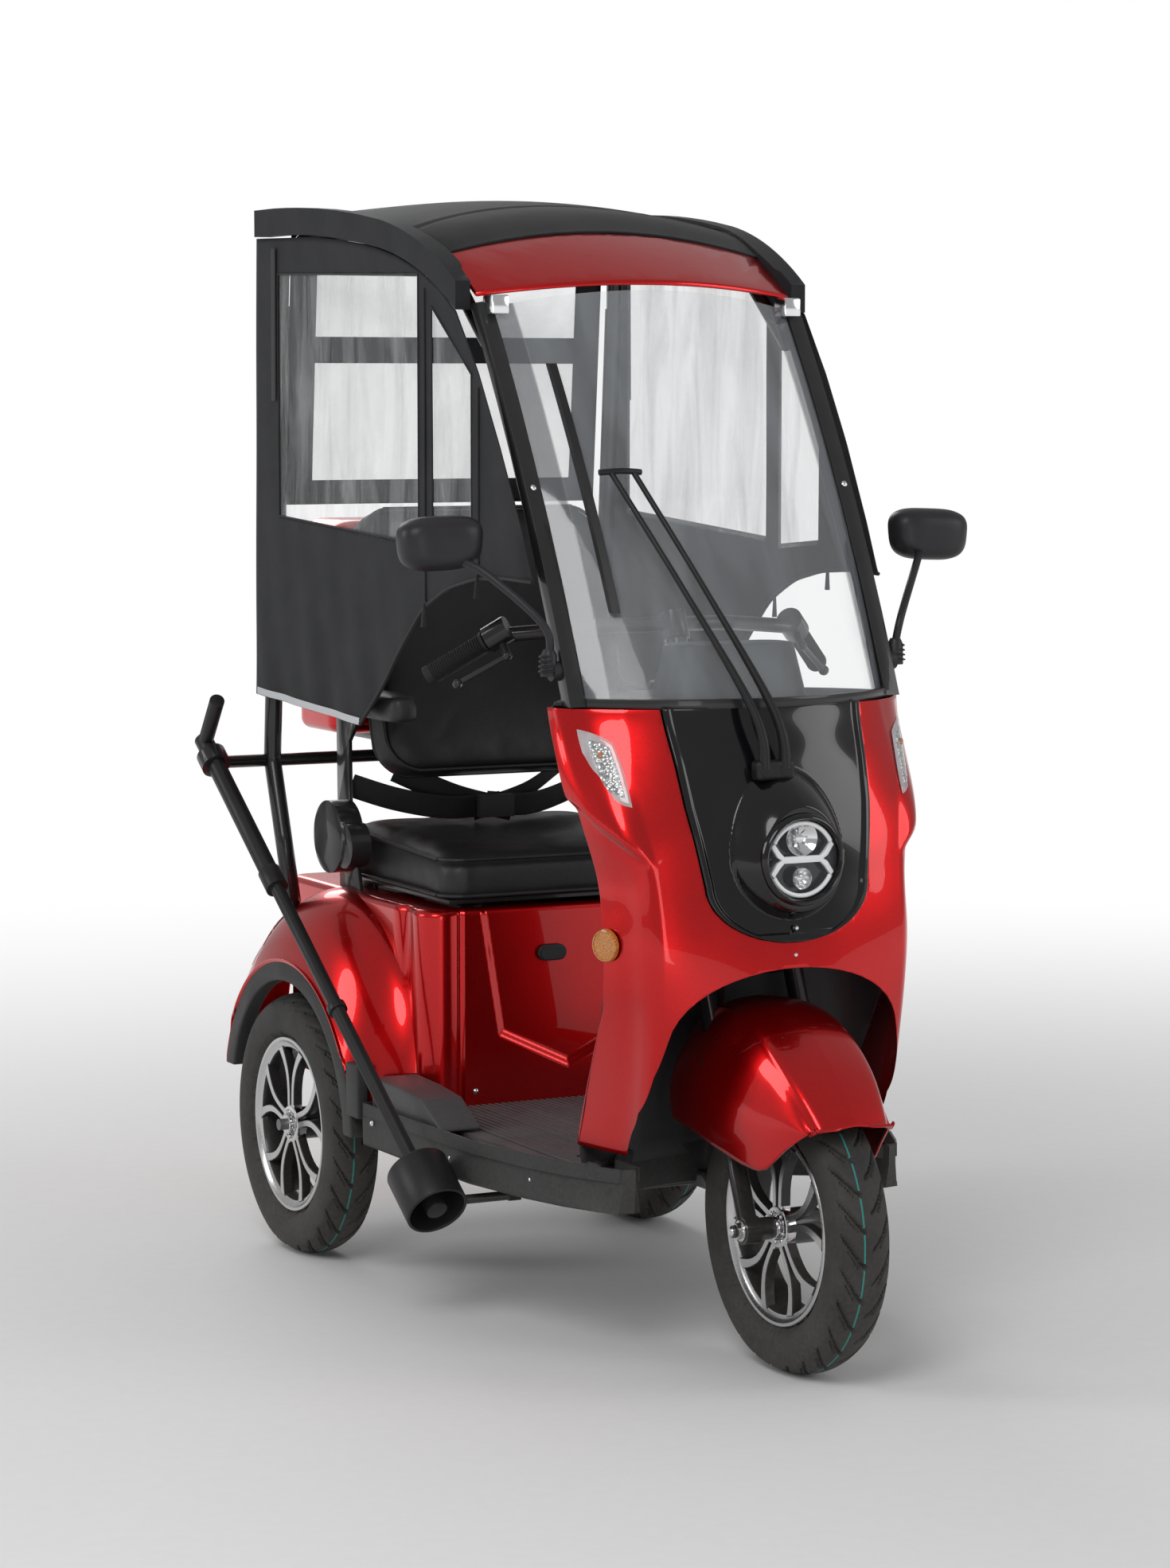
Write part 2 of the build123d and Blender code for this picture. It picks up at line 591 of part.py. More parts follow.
# Dashboard: a cover over the cowl with a rounded hood for the display and a hole for the stem
DASH_THICKNESS = 6.0
with BuildPart() as dashboard:
    with BuildSketch(Plane.XY.offset(BELT_Z + SEAM)):
        with BuildLine():
            ThreePointArc((-228, -400), (0, -490), (228, -400))
            Line((228, -400), (277, -386))
            ThreePointArc((277, -386), (0, -218), (-277, -386))
            Line((-277, -386), (-228, -400))
        make_face()
    extrude(amount=DASH_THICKNESS)
    with BuildSketch(Plane.XY.offset(BELT_Z + SEAM + DASH_THICKNESS)):
        with Locations((0, -395)):
            RectangleRounded(230, 120, 50)
    extrude(amount=78, taper=14)
    hole_low = (0, axis_y(BELT_Z - 60), BELT_Z - 60)
    hole_high = (0, axis_y(BELT_Z + 60), BELT_Z + 60)
    rod(hole_low, hole_high, STEM_RADIUS + 8, mode=Mode.SUBTRACT)
write(dashboard.part, "dashboard")

# Windscreen: one curved pane between the gasket and the visor, bowed in plan and in profile
GLASS_ROWS = (
    # z, nose y in the middle, edge y, half width
    (BELT_Z + 2, -516.0, -421.0, 240.0),
    (1240.0, -352.0, -279.0, 243.0),
    (1556.0, -130.0, -82.0, 241.0),
)
GLASS_TOP_Z = (1494.0, 1524.0)


def bowed_strip(rows, thickness, widen=0.0, forward=0.0):
    """A sheet lofted through bowed strips, one at each level."""
    with BuildPart() as sheet:
        for z, middle_y, edge_y, half in rows:
            with BuildSketch(Plane.XY.offset(z)):
                with BuildLine():
                    edge = half + widen
                    front = (middle_y - forward, edge_y - forward)
                    ThreePointArc((-edge, front[1]), (0, front[0]), (edge, front[1]))
                    Line((edge, front[1]), (edge, front[1] + thickness))
                    ThreePointArc(
                        (edge, front[1] + thickness),
                        (0, front[0] + thickness),
                        (-edge, front[1] + thickness),
                    )
                    Line((-edge, front[1] + thickness), (-edge, front[1]))
                make_face()
        loft()
    return sheet.part


def crown_cut(edge_z, middle_z, half, top):
    """What lies over a crowned line in front view."""
    with BuildSketch(Plane.XZ.offset(-200)) as over:
        with BuildLine():
            ThreePointArc((-half, edge_z), (0, middle_z), (half, edge_z))
            Polyline((half, edge_z), (half, top), (-half, top), (-half, edge_z))
        make_face()
    return over.sketch


glass = bowed_strip(GLASS_ROWS, PANE)
with BuildPart() as windscreen:
    add(glass)
    extrude(crown_cut(GLASS_TOP_Z[0], GLASS_TOP_Z[1], 260, 1700), amount=500, mode=Mode.SUBTRACT)
write(windscreen.part, "windscreen")

# Windscreen frame: the two pillars beside the pane and the gasket that it stands in
PILLAR_WIDTH = 24.0
PILLAR_DEPTH = 26.0
PILLAR_GAP = 1.0
PILLAR_OUTER_X = GLASS_ROWS[1][3] + PILLAR_GAP + PILLAR_WIDTH
GASKET_HEIGHT = 13.0


def pillar_form(extra):
    """Both pillars in side view, or the same form deepened to the rear."""
    with BuildPart() as form:
        for side in (-1, 1):
            with BuildSketch(Plane.YZ.offset(side * (PILLAR_OUTER_X - PILLAR_WIDTH / 2) - PILLAR_WIDTH / 2)):
                with BuildLine():
                    front = [(edge_y - 3, z) for z, _, edge_y, _ in GLASS_ROWS]
                    rear = [(y + PILLAR_DEPTH + extra, z) for y, z in front]
                    ThreePointArc(*front)
                    Line(front[-1], rear[-1])
                    ThreePointArc(*reversed(rear))
                    Line(rear[0], front[0])
                make_face()
            extrude(amount=PILLAR_WIDTH)
    return form.part


with BuildPart() as windscreen_frame:
    add(pillar_form(0))
    with BuildSketch(Plane.XY.offset(BELT_Z + SEAM)):
        with BuildLine():
            half = GLASS_ROWS[0][3] + 4
            middle_y, edge_y = GLASS_ROWS[0][1] - 6, GLASS_ROWS[0][2] - 6
            ThreePointArc((-half, edge_y), (0, middle_y), (half, edge_y))
            Line((half, edge_y), (half, edge_y + 14))
            ThreePointArc((half, edge_y + 14), (0, middle_y + 14), (-half, edge_y + 14))
            Line((-half, edge_y + 14), (-half, edge_y))
        make_face()
    extrude(amount=GASKET_HEIGHT)
    add(bowed_strip(GLASS_ROWS, PANE + 2, widen=0.8, forward=1.0), mode=Mode.SUBTRACT)
    extrude(crown_cut(GLASS_TOP_Z[0], GLASS_TOP_Z[1], 320, 1700), amount=500, mode=Mode.SUBTRACT)
write(windscreen_frame.part, "windscreen_frame")


def crowned_skin(rows, thickness):
    """A roof skin lofted through crowned sections, one at each y."""
    with BuildPart() as skin:
        for y, half, edge_z, crown_z in rows:
            with BuildSketch(Plane.XZ.offset(-y)):
                with BuildLine():
                    ThreePointArc((-half, edge_z), (0, crown_z), (half, edge_z))
                    Line((half, edge_z), (half, edge_z - thickness))
                    ThreePointArc((half, edge_z - thickness), (0, crown_z - thickness), (-half, edge_z - thickness))
                    Line((-half, edge_z - thickness), (-half, edge_z))
                make_face()
        loft()
    return skin.part


# Roof: a red visor over the windscreen, then the fabric top on its bows
VISOR_ROWS = (
    # y, half width, edge z, crown z
    (-152.0, 262.0, 1488.0, 1537.0),
    (-80.0, 262.0, 1534.0, 1578.0),
    (-6.0, 262.0, 1578.0, 1612.0),
)
ROOF_ROWS = (
    (VISOR_ROWS[-1][0] + SEAM, 262.0, 1580.0, 1615.0),
    (106.0, 274.0, 1618.0, 1651.0),
    (324.0, 284.0, 1642.0, 1673.0),
    (ROOF_REAR_Y, 295.0, 1648.0, 1668.0),
)
visor_skin = crowned_skin(VISOR_ROWS, 8)
with BuildPart() as roof_visor:
    add(visor_skin)
    with BuildSketch(Plane.XY.offset(1300)):
        with BuildLine():
            ThreePointArc((-270, -100), (0, -150), (270, -100))
            Polyline((270, -100), (270, -300), (-270, -300), (-270, -100))
        make_face()
    extrude(amount=500, mode=Mode.SUBTRACT)
write(roof_visor.part, "roof_visor")
roof_skin = crowned_skin(ROOF_ROWS, ROOF_SKIN)
with BuildPart() as roof_cover:
    add(roof_skin)
write(roof_cover.part, "roof_cover")

# Roof lips: flared side strips that follow the roof line down to the pillars
LIP_TOP = (((-100, 1536), (22, 1598), (170, 1636)), ((170, 1636), (380, 1658), (ROOF_REAR_Y, 1662)))
LIP_HEIGHT = 42.0
with BuildPart() as roof_lips:
    for side in (-1, 1):
        with BuildSketch(Plane.YZ.offset(side * 300 - 45)):
            with BuildLine():
                low = [[(y, z - LIP_HEIGHT) for y, z in arc] for arc in LIP_TOP]
                ThreePointArc(*LIP_TOP[0])
                ThreePointArc(*LIP_TOP[1])
                Line(LIP_TOP[1][2], low[1][2])
                ThreePointArc(*reversed(low[1]))
                ThreePointArc(*reversed(low[0]))
                Line(low[0][0], LIP_TOP[0][0])
            make_face()
        extrude(amount=90)
    with BuildSketch(Plane.XY.offset(1400)):
        for side in (-1, 1):
            inner = [(side * (half + 0.6), y) for y, half, _, _ in reversed(ROOF_ROWS)]
            pillar_clear = side * (PILLAR_OUTER_X + 0.6)
            Polygon(
                (side * 292, -110), (side * 324, 600), (inner[0][0], 600), *inner,
                (side * (VISOR_ROWS[-1][1] + 0.6), -58), (pillar_clear, -66), (pillar_clear, -110),
                align=None,
            )
    extrude(amount=400, mode=Mode.INTERSECT)
    add(roof_skin, mode=Mode.SUBTRACT)
write(roof_lips.part, "roof_lips")

# Canopy frame: a bent rail and rear post on each side, roof bows and the bar behind the seat
BAR_Y = 597.0
BAR_Z = 780.0
POST_HEAD = (540.0, 1560.0)
POST_START_Z = 1510.0
post_slope = (BAR_Y - POST_HEAD[0]) / (POST_HEAD[1] - BAR_Z)
RAIL_POINTS = (
    (250, -122, 1444),
    (250, 4, 1552),
    (261, 106, 1594),
    (271, 324, 1616),
    (278, 500, 1616),
    (POST_X, *POST_HEAD),
    (POST_X, POST_HEAD[0] + 90 * post_slope, POST_HEAD[1] - 90),
)
POST_POINTS = (
    (POST_X, POST_HEAD[0] + (POST_HEAD[1] - POST_START_Z) * post_slope, POST_START_Z),
    (POST_X, BAR_Y, BAR_Z),
    (POST_X, 552, 655),
    (282, 534, 500),
)
canopy_sides = [tube(mirrored(RAIL_POINTS, side), RAIL_RADIUS, 24) for side in (-1, 1)]
canopy_posts = [tube(mirrored(POST_POINTS, side), POST_RADIUS, 40) for side in (-1, 1)]
BOW_RADIUS = 8.0
ROOF_BOWS = (
    # y, end x, end z, crown z
    (8.0, 250.0, 1568.5, 1600.8),
    (ROOF_ROWS[2][0], 271.0, 1627.0, ROOF_ROWS[2][3] - ROOF_SKIN - BOW_RADIUS + 0.4),
    (490.0, 277.0, 1630.0, 1652.5),
)
roof_clear = crowned_skin([(y, half, edge - SEAM, crown - SEAM) for y, half, edge, crown in ROOF_ROWS], ROOF_SKIN)
roof_bows = []
for y, half, end_z, crown_z in ROOF_BOWS:
    with BuildPart() as bow:
        with BuildLine() as route:
            ThreePointArc((-half, y, end_z), (0, y, crown_z), (half, y, end_z))
        with BuildSketch(Plane(origin=route.line @ 0, z_dir=route.line % 0)):
            Circle(BOW_RADIUS)
        sweep()
    roof_bows.append(bow.part)
post_seat = fender_form(-SEAM, SEAT_BOX_HALF_WIDTH - 10, body_bottom_z)
with BuildPart() as canopy_frame:
    add(canopy_sides)
    add(canopy_posts)
    add(roof_bows)
    add(roof_clear, mode=Mode.SUBTRACT)
    add(pillar_form(SEAM), mode=Mode.SUBTRACT)
    rod((-POST_X, BAR_Y, BAR_Z), (POST_X, BAR_Y, BAR_Z), 10)
    add(post_seat, mode=Mode.SUBTRACT)
    add(mirror(post_seat, about=Plane.YZ), mode=Mode.SUBTRACT)
write(canopy_frame.part, "canopy_frame")

# Side curtains: slanted sheets from the roof rail to below the armrest, with an arched front cut-out
CURTAIN_FRONT = (282.0, -366.0)
CURTAIN_REAR = (316.0, 622.0)
CURTAIN_PANES = (
    # rear pane, then front pane: four corners as y, z
    ((520, 1560), (520, 1178), (22, 1150), (22, 1548)),
    ((-22, 1500), (-22, 1140), (-150, 1150), (-150, 1400)),
)


def slanted(thickness, side, lift=0.0):
    """The plan of a sheet that runs along the curtain line on one side."""
    with BuildSketch(Plane.XY.offset(700)) as plan:
        inner, outer = CURTAIN_FRONT[0] + lift, CURTAIN_REAR[0] + lift
        Polygon(
            (side * inner, CURTAIN_FRONT[1]),
            (side * (inner + thickness), CURTAIN_FRONT[1]),
            (side * (outer + thickness), CURTAIN_REAR[1]),
            (side * outer, CURTAIN_REAR[1]),
            align=None,
        )
    return plan.sketch


def curtain_outline():
    """The side view of a curtain, top edge under the lip and an arch over the rider's arm."""
    with BuildSketch(Plane.YZ.offset(-400)) as view:
        with BuildLine():
            front_arc, rear_arc = [
                [(y, z - LIP_HEIGHT - SEAM) for y, z in arc] for arc in LIP_TOP
            ]
            Polyline(rear_arc[2], (CURTAIN_REAR[1] - 8, 888), (228, 864))
            ThreePointArc((228, 864), (10, 1050), (-150, 1102))
            Line((-150, 1102), (-338, 1106))
            ThreePointArc((-338, 1106), (-236, 1300), front_arc[0])
            ThreePointArc(*front_arc)
            ThreePointArc(*rear_arc)
        make_face()
    return view.sketch


def pane_outline(shrink):
    """The side view of the clear panes, or of the slightly larger openings for them."""
    with BuildSketch(Plane.YZ.offset(-400)) as view:
        for corners in CURTAIN_PANES:
            Polygon(*corners, align=None)
        if shrink:
            offset(amount=-shrink)
    return view.sketch


for name, side in (("left", 1), ("right", -1)):
    with BuildPart() as curtain:
        extrude(slanted(SHEET, side), amount=1000)
        extrude(curtain_outline(), amount=800, mode=Mode.INTERSECT)
        extrude(pane_outline(0), amount=800, mode=Mode.SUBTRACT)
    write(curtain.part, f"curtain_{name}")

# Rear curtain: a sheet behind the rear posts with two wide openings
REAR_SHEET = ((583.0, 1193.0), (545.0, 1665.0))
REAR_PANES = (
    # half width, low z, high z
    (232.0, 1232.0, 1420.0),
    (232.0, 1462.0, 1560.0),
)


def rear_band(thickness):
    """The side view of a sheet that leans with the rear posts."""
    with BuildSketch(Plane.YZ.offset(-300)) as view:
        Polygon(
            *REAR_SHEET,
            (REAR_SHEET[1][0] + thickness, REAR_SHEET[1][1]),
            (REAR_SHEET[0][0] + thickness, REAR_SHEET[0][1]),
            align=None,
        )
    return view.sketch


def rear_panes(shrink):
    """The front view of the rear panes."""
    with BuildSketch(Plane.XZ.offset(-700)) as view:
        for half, low, high in REAR_PANES:
            with Locations((0, (low + high) / 2)):
                Rectangle(2 * half - 2 * shrink, high - low - 2 * shrink)
    return view.sketch


with BuildPart() as rear_curtain:
    extrude(rear_band(SHEET), amount=600)
    with BuildSketch(Plane.XZ.offset(-700)):
        with BuildLine():
            ThreePointArc((-278, 1642), (0, 1662), (278, 1642))
            Polyline((278, 1642), (278, 1100), (-278, 1100), (-278, 1642))
        make_face()
    extrude(amount=300, mode=Mode.INTERSECT)
    add(roof_clear, mode=Mode.SUBTRACT)
    extrude(rear_panes(0), amount=300, mode=Mode.SUBTRACT)
write(rear_curtain.part, "rear_curtain")

# Clear panes of the side and rear curtains, each just inside its opening
with BuildPart() as side_panes:
    for side in (-1, 1):
        extrude(slanted(CLEAR_SHEET, side, lift=0.7), amount=1000)
    extrude(pane_outline(SEAM), amount=800, mode=Mode.INTERSECT)
with BuildPart() as back_panes:
    extrude(rear_band(CLEAR_SHEET), amount=600)
    extrude(rear_panes(SEAM), amount=300, mode=Mode.INTERSECT)
with BuildPart() as clear_windows:
    add(side_panes.part)
    add(back_panes.part)
write(clear_windows.part, "clear_windows")

# Lamps and reflectors on the cowl: sheets that follow the outer form, on the front corners
SIGNAL_OUTLINE = ((272, 906), (228, 914), (196, 812), (238, 800))
SIGNAL_THICKNESS = 5.0
signal_outer = cowl_form(COWL_UPPER, -SIGNAL_THICKNESS)
with BuildPart() as front_signals:
    add(signal_outer)
    add(cowl_upper, mode=Mode.SUBTRACT)
    with BuildSketch(Plane.XZ.offset(380)):
        for side in (-1, 1):
            Polygon(*[(side * x, z) for x, z in SIGNAL_OUTLINE], align=None)
    extrude(amount=300, mode=Mode.INTERSECT)
write(front_signals.part, "front_signals")
REFLECTOR_Y = -534.0
REFLECTOR_Z = 604.0
with BuildPart() as side_reflectors:
    for side in (-1, 1):
        rod((side * 285.2, REFLECTOR_Y, REFLECTOR_Z), (side * 292, REFLECTOR_Y, REFLECTOR_Z), 23)
write(side_reflectors.part, "side_reflectors")

# Wiper: pivot block on the nose panel, two parallel arms and a blade that follows the pane
WIPER_X = -20.0
WIPER_ARM_RADIUS = 5.0
WIPER_HEIGHT_Z = 1262.0
BLADE_X = -190.0
BLADE_Z = (1066.0, 1416.0)
BLADE_DEPTH = 12.0


def glass_y(x, z):
    """Where the front of the pane is: a parabola through its three rows, bowed across."""
    (z0, m0, e0, half), (z1, m1, e1, _), (z2, m2, e2, _) = GLASS_ROWS
    shares = (
        (z - z1) * (z - z2) / ((z0 - z1) * (z0 - z2)),
        (z - z0) * (z - z2) / ((z1 - z0) * (z1 - z2)),
        (z - z0) * (z - z1) / ((z2 - z0) * (z2 - z1)),
    )
    middle = shares[0] * m0 + shares[1] * m1 + shares[2] * m2
    edge = shares[0] * e0 + shares[1] * e1 + shares[2] * e2
    return middle + (edge - middle) * (x / half) ** 2


wiper_tops = [(x, glass_y(x, WIPER_HEIGHT_Z) - BLADE_DEPTH - 11, WIPER_HEIGHT_Z) for x in (-176, -140)]
wiper_links = []
for low_x, top in zip((WIPER_X - 16, WIPER_X + 16), wiper_tops):
    route = ((low_x, -561, 851), (low_x - 8, -548, BELT_Z - 6), top)
    wiper_links.append(tube(route, WIPER_ARM_RADIUS, 60))
with BuildPart() as wiper_arms:
    block((WIPER_X - 26, WIPER_X + 26), (-572, -552), (840, 862))
    add(wiper_links)
    rod(
        (BLADE_X - 2, glass_y(BLADE_X, WIPER_HEIGHT_Z) - BLADE_DEPTH - 11.2, WIPER_HEIGHT_Z - 4),
        (-128, glass_y(-128, WIPER_HEIGHT_Z) - BLADE_DEPTH - 11.2, WIPER_HEIGHT_Z + 4),
        WIPER_ARM_RADIUS,
    )
write(wiper_arms.part, "wiper_arms")
with BuildPart() as wiper_blade:
    add(bowed_strip(GLASS_ROWS, BLADE_DEPTH, forward=BLADE_DEPTH + SEAM))
    block((BLADE_X - 5, BLADE_X + 5), (-600, 0), BLADE_Z, mode=Mode.INTERSECT)
write(wiper_blade.part, "wiper_blade")

# Mirrors: a boot on the pillar, a bent stem and a flat housing
MIRROR = (-289.0, 1163.0)
MIRROR_X = 402.0
for name, side in (("left", 1), ("right", -1)):
    stem = tube(
        mirrored(((282, -386, 1004), (292, -388, 1050), (352, -330, 1120), (MIRROR_X - 20, MIRROR[0] + 14, 1140)), side),
        6,
        14,
    )
    with BuildPart() as mirror_piece:
        with Locations((side * MIRROR_X, MIRROR[0], MIRROR[1])):
            Box(126, 42, 78)
        fillet(mirror_piece.edges().filter_by(Axis.Y), 26)
        fillet(mirror_piece.faces().sort_by(Axis.Y)[0].edges(), 14)
        add(stem)
        rod((side * (PILLAR_OUTER_X + SEAM), -386, 985), (side * 290, -386, 985), 14)
        rod((side * 283, -386, 978), (side * 283, -386, 1016), 12)
    write(mirror_piece.part, f"mirror_{name}")

# Seat base: pan on the seat box with two slide rails
with BuildPart() as seat_base:
    block((-205, 205), (CUSHION_FRONT_Y + 20, CUSHION_REAR_Y), (SEAT_BOX_TOP_Z + 8, CUSHION_BOTTOM_Z - SEAM))
    for side in (-1, 1):
        block(
            (side * 150 - 18, side * 150 + 18),
            (SEAT_BOX_FRONT_Y + 30, CUSHION_REAR_Y - 20),
            (SEAT_BOX_TOP_Z + SEAM, SEAT_BOX_TOP_Z + 8),
        )
        block(
            (side * (BRACKET_X - 22) - 4, side * (BRACKET_X - 22) + 4),
            (HUB_Y - 50, HUB_Y + 30),
            (SEAT_BOX_TOP_Z + SEAM, SEAT_BOX_TOP_Z + 9),
        )
write(seat_base.part, "seat_base")

# Cushion: a wedge with rounded edges
with BuildPart() as seat_cushion:
    with BuildSketch(Plane.YZ.offset(-CUSHION_HALF_WIDTH)):
        Polygon(
            (CUSHION_FRONT_Y, CUSHION_BOTTOM_Z),
            (CUSHION_REAR_Y, CUSHION_BOTTOM_Z),
            (CUSHION_REAR_Y, CUSHION_BOTTOM_Z + 84),
            (CUSHION_FRONT_Y + 60, CUSHION_BOTTOM_Z + 66),
            (CUSHION_FRONT_Y, CUSHION_BOTTOM_Z + 56),
            align=None,
        )
    extrude(amount=2 * CUSHION_HALF_WIDTH)
    fillet(seat_cushion.edges().filter_by(Axis.X).group_by(Axis.Y)[0], 16)
write(seat_cushion.part, "seat_cushion")

# Backrest: a leaning pad, and the brackets that carry it
back_plane = Plane(
    origin=(0, BACK_FRONT_Y, BACK_BOTTOM_Z),
    x_dir=(1, 0, 0),
    z_dir=(0, sin(radians(BACK_LEAN)), cos(radians(BACK_LEAN))),
)
with BuildPart() as seat_back:
    with BuildSketch(back_plane):
        with Locations((0, BACK_THICKNESS / 2)):
            Rectangle(2 * BACK_HALF_WIDTH, BACK_THICKNESS)
    extrude(amount=BACK_HEIGHT)
    fillet(seat_back.edges().group_by(Axis.Z)[-1].filter_by(Axis.X), 20)
write(seat_back.part, "seat_back")
with BuildPart() as recliner_brackets:
    for side in (-1, 1):
        plate_x = side * (BRACKET_X + BRACKET_THICKNESS / 2)
        with BuildSketch(Plane.YZ.offset(plate_x - BRACKET_THICKNESS / 2)):
            Polygon(
                (HUB_Y - 50, SEAT_BOX_TOP_Z + SEAM),
                (HUB_Y + 30, SEAT_BOX_TOP_Z + SEAM),
                (HUB_Y + 38, 720),
                (HUB_Y + 44, 990),
                (HUB_Y - 4, 990),
                (ARM_PIVOT_Y - 16, ARM_PIVOT_Z + 10),
                (ARM_PIVOT_Y - 16, ARM_PIVOT_Z - 14),
                (HUB_Y - 8, 820),
                (HUB_Y - 10, 720),
                align=None,
            )
        extrude(amount=BRACKET_THICKNESS)
        rod((side * (BRACKET_X + 2), HUB_Y, HUB_Z), (side * 264, HUB_Y, HUB_Z), 58)
        rod((side * (BRACKET_X + 2), HUB_Y - 52, HUB_Z - 10), (side * 260, HUB_Y - 52, HUB_Z - 10), 36)
        rod(
            (side * (BRACKET_X + 2), ARM_PIVOT_Y, ARM_PIVOT_Z),
            (side * (BRACKET_X + 26), ARM_PIVOT_Y, ARM_PIVOT_Z),
            ARM_PIN_RADIUS,
        )
    rod((-BRACKET_X - 2, HUB_Y + 26, 968), (BRACKET_X + 2, HUB_Y + 26, 968), 9)
write(recliner_brackets.part, "recliner_brackets")

# Armrests: a pad on a plate that turns on the bracket's pin
for name, side in (("left", 1), ("right", -1)):
    with BuildPart() as armrest:
        inner = BRACKET_X + BRACKET_THICKNESS + 1.5
        block(
            tuple(sorted((side * inner, side * (inner + 8)))),
            (ARM_PIVOT_Y - 90, ARM_PIVOT_Y + 14),
            (ARM_PIVOT_Z - 14, ARM_PIVOT_Z + 14),
        )
        block(
            tuple(sorted((side * (inner + 1), side * (inner + 53)))),
            (146, ARM_PIVOT_Y - 80),
            (ARM_PIVOT_Z - 16, ARM_PIVOT_Z + 32),
        )
        fillet(armrest.edges().filter_by(Axis.Y).group_by(Axis.Z)[-1], 12)
        rod(
            (side * (inner - 2), ARM_PIVOT_Y, ARM_PIVOT_Z),
            (side * (inner + 12), ARM_PIVOT_Y, ARM_PIVOT_Z),
            ARM_PIN_RADIUS + AXLE_CLEARANCE,
            mode=Mode.SUBTRACT,
        )
    write(armrest.part, f"armrest_{name}")

# Seat belt: two straps that cross behind the cushion, with a buckle
with BuildPart() as seat_belt:
    rod((-BRACKET_X + 2.8, 454, 745), (10, 398, 712), 9)
    rod((BRACKET_X - 2.8, 454, 745), (-10, 388, 722), 9)
write(seat_belt.part, "seat_belt")

# Rear box: a deep case on its rack and a domed lid hinged at the front edge
HINGE_RADIUS = 5.0
HINGE_Y = BOX_FRONT_Y - HINGE_RADIUS - 0.5
HINGE_Z = BOX_SPLIT_Z + LID_GAP / 2
BOX_CORNER = 48.0
BOX_FLOOR_ROUND = 18.0
LID_ROUND = 40.0


def box_form(inset, low, high, low_round, high_round):
    """The rounded outline of the rear box, inset and between two heights, with its ends rounded."""
    with BuildPart() as form:
        with BuildSketch(Plane.XY.offset(low)):
            with Locations((0, (BOX_FRONT_Y + BOX_REAR_Y) / 2)):
                depth = BOX_REAR_Y - BOX_FRONT_Y
                RectangleRounded(2 * BOX_HALF_WIDTH - 2 * inset, depth - 2 * inset, BOX_CORNER - inset)
        extrude(amount=high - low)
        if low_round:
            fillet(form.faces().sort_by(Axis.Z)[0].edges(), low_round)
        if high_round:
            fillet(form.faces().sort_by(Axis.Z)[-1].edges(), high_round)
    return form.part


with BuildPart() as storage_box:
    add(box_form(0, BOX_BOTTOM_Z, BOX_SPLIT_Z, BOX_FLOOR_ROUND, 0))
    add(
        box_form(BOX_WALL, BOX_BOTTOM_Z + BOX_WALL, BOX_SPLIT_Z + 1, BOX_FLOOR_ROUND - BOX_WALL, 0),
        mode=Mode.SUBTRACT,
    )
    for x in (-85, 40):
        block((x, x + 45), (HINGE_Y, BOX_FRONT_Y + BOX_WALL), (HINGE_Z - HINGE_RADIUS, HINGE_Z - LID_GAP / 2))
        rod((x, HINGE_Y, HINGE_Z), (x + 45, HINGE_Y, HINGE_Z), HINGE_RADIUS)
write(storage_box.part, "storage_box")
with BuildPart() as storage_lid:
    add(box_form(0, BOX_SPLIT_Z + LID_GAP, BOX_TOP_Z, 0, LID_ROUND))
    add(
        box_form(BOX_WALL, BOX_SPLIT_Z, BOX_TOP_Z - BOX_WALL, 0, LID_ROUND - BOX_WALL),
        mode=Mode.SUBTRACT,
    )
    block((-38, 38), (HINGE_Y, BOX_FRONT_Y + BOX_WALL), (HINGE_Z + LID_GAP / 2, HINGE_Z + HINGE_RADIUS))
    rod((-38, HINGE_Y, HINGE_Z), (38, HINGE_Y, HINGE_Z), HINGE_RADIUS)
write(storage_lid.part, "storage_lid")
RACK_X = 90.0
RACK_BAR = 14.0
with BuildPart() as storage_rack:
    rack_top = BOX_BOTTOM_Z - SEAM
    for side in (-1, 1):
        across = (side * RACK_X - RACK_BAR / 2, side * RACK_X + RACK_BAR / 2)
        block(across, (BAR_Y - 12, BOX_REAR_Y - 20), (rack_top - RACK_BAR, rack_top))
        block(across, (BAR_Y - 12, BAR_Y + 12), (BAR_Z + 10 + SEAM, rack_top))
    for y in (BOX_FRONT_Y + 20, BOX_REAR_Y - 34):
        block((-RACK_X, RACK_X), (y, y + RACK_BAR), (rack_top - RACK_BAR, rack_top))
write(storage_rack.part, "storage_rack")

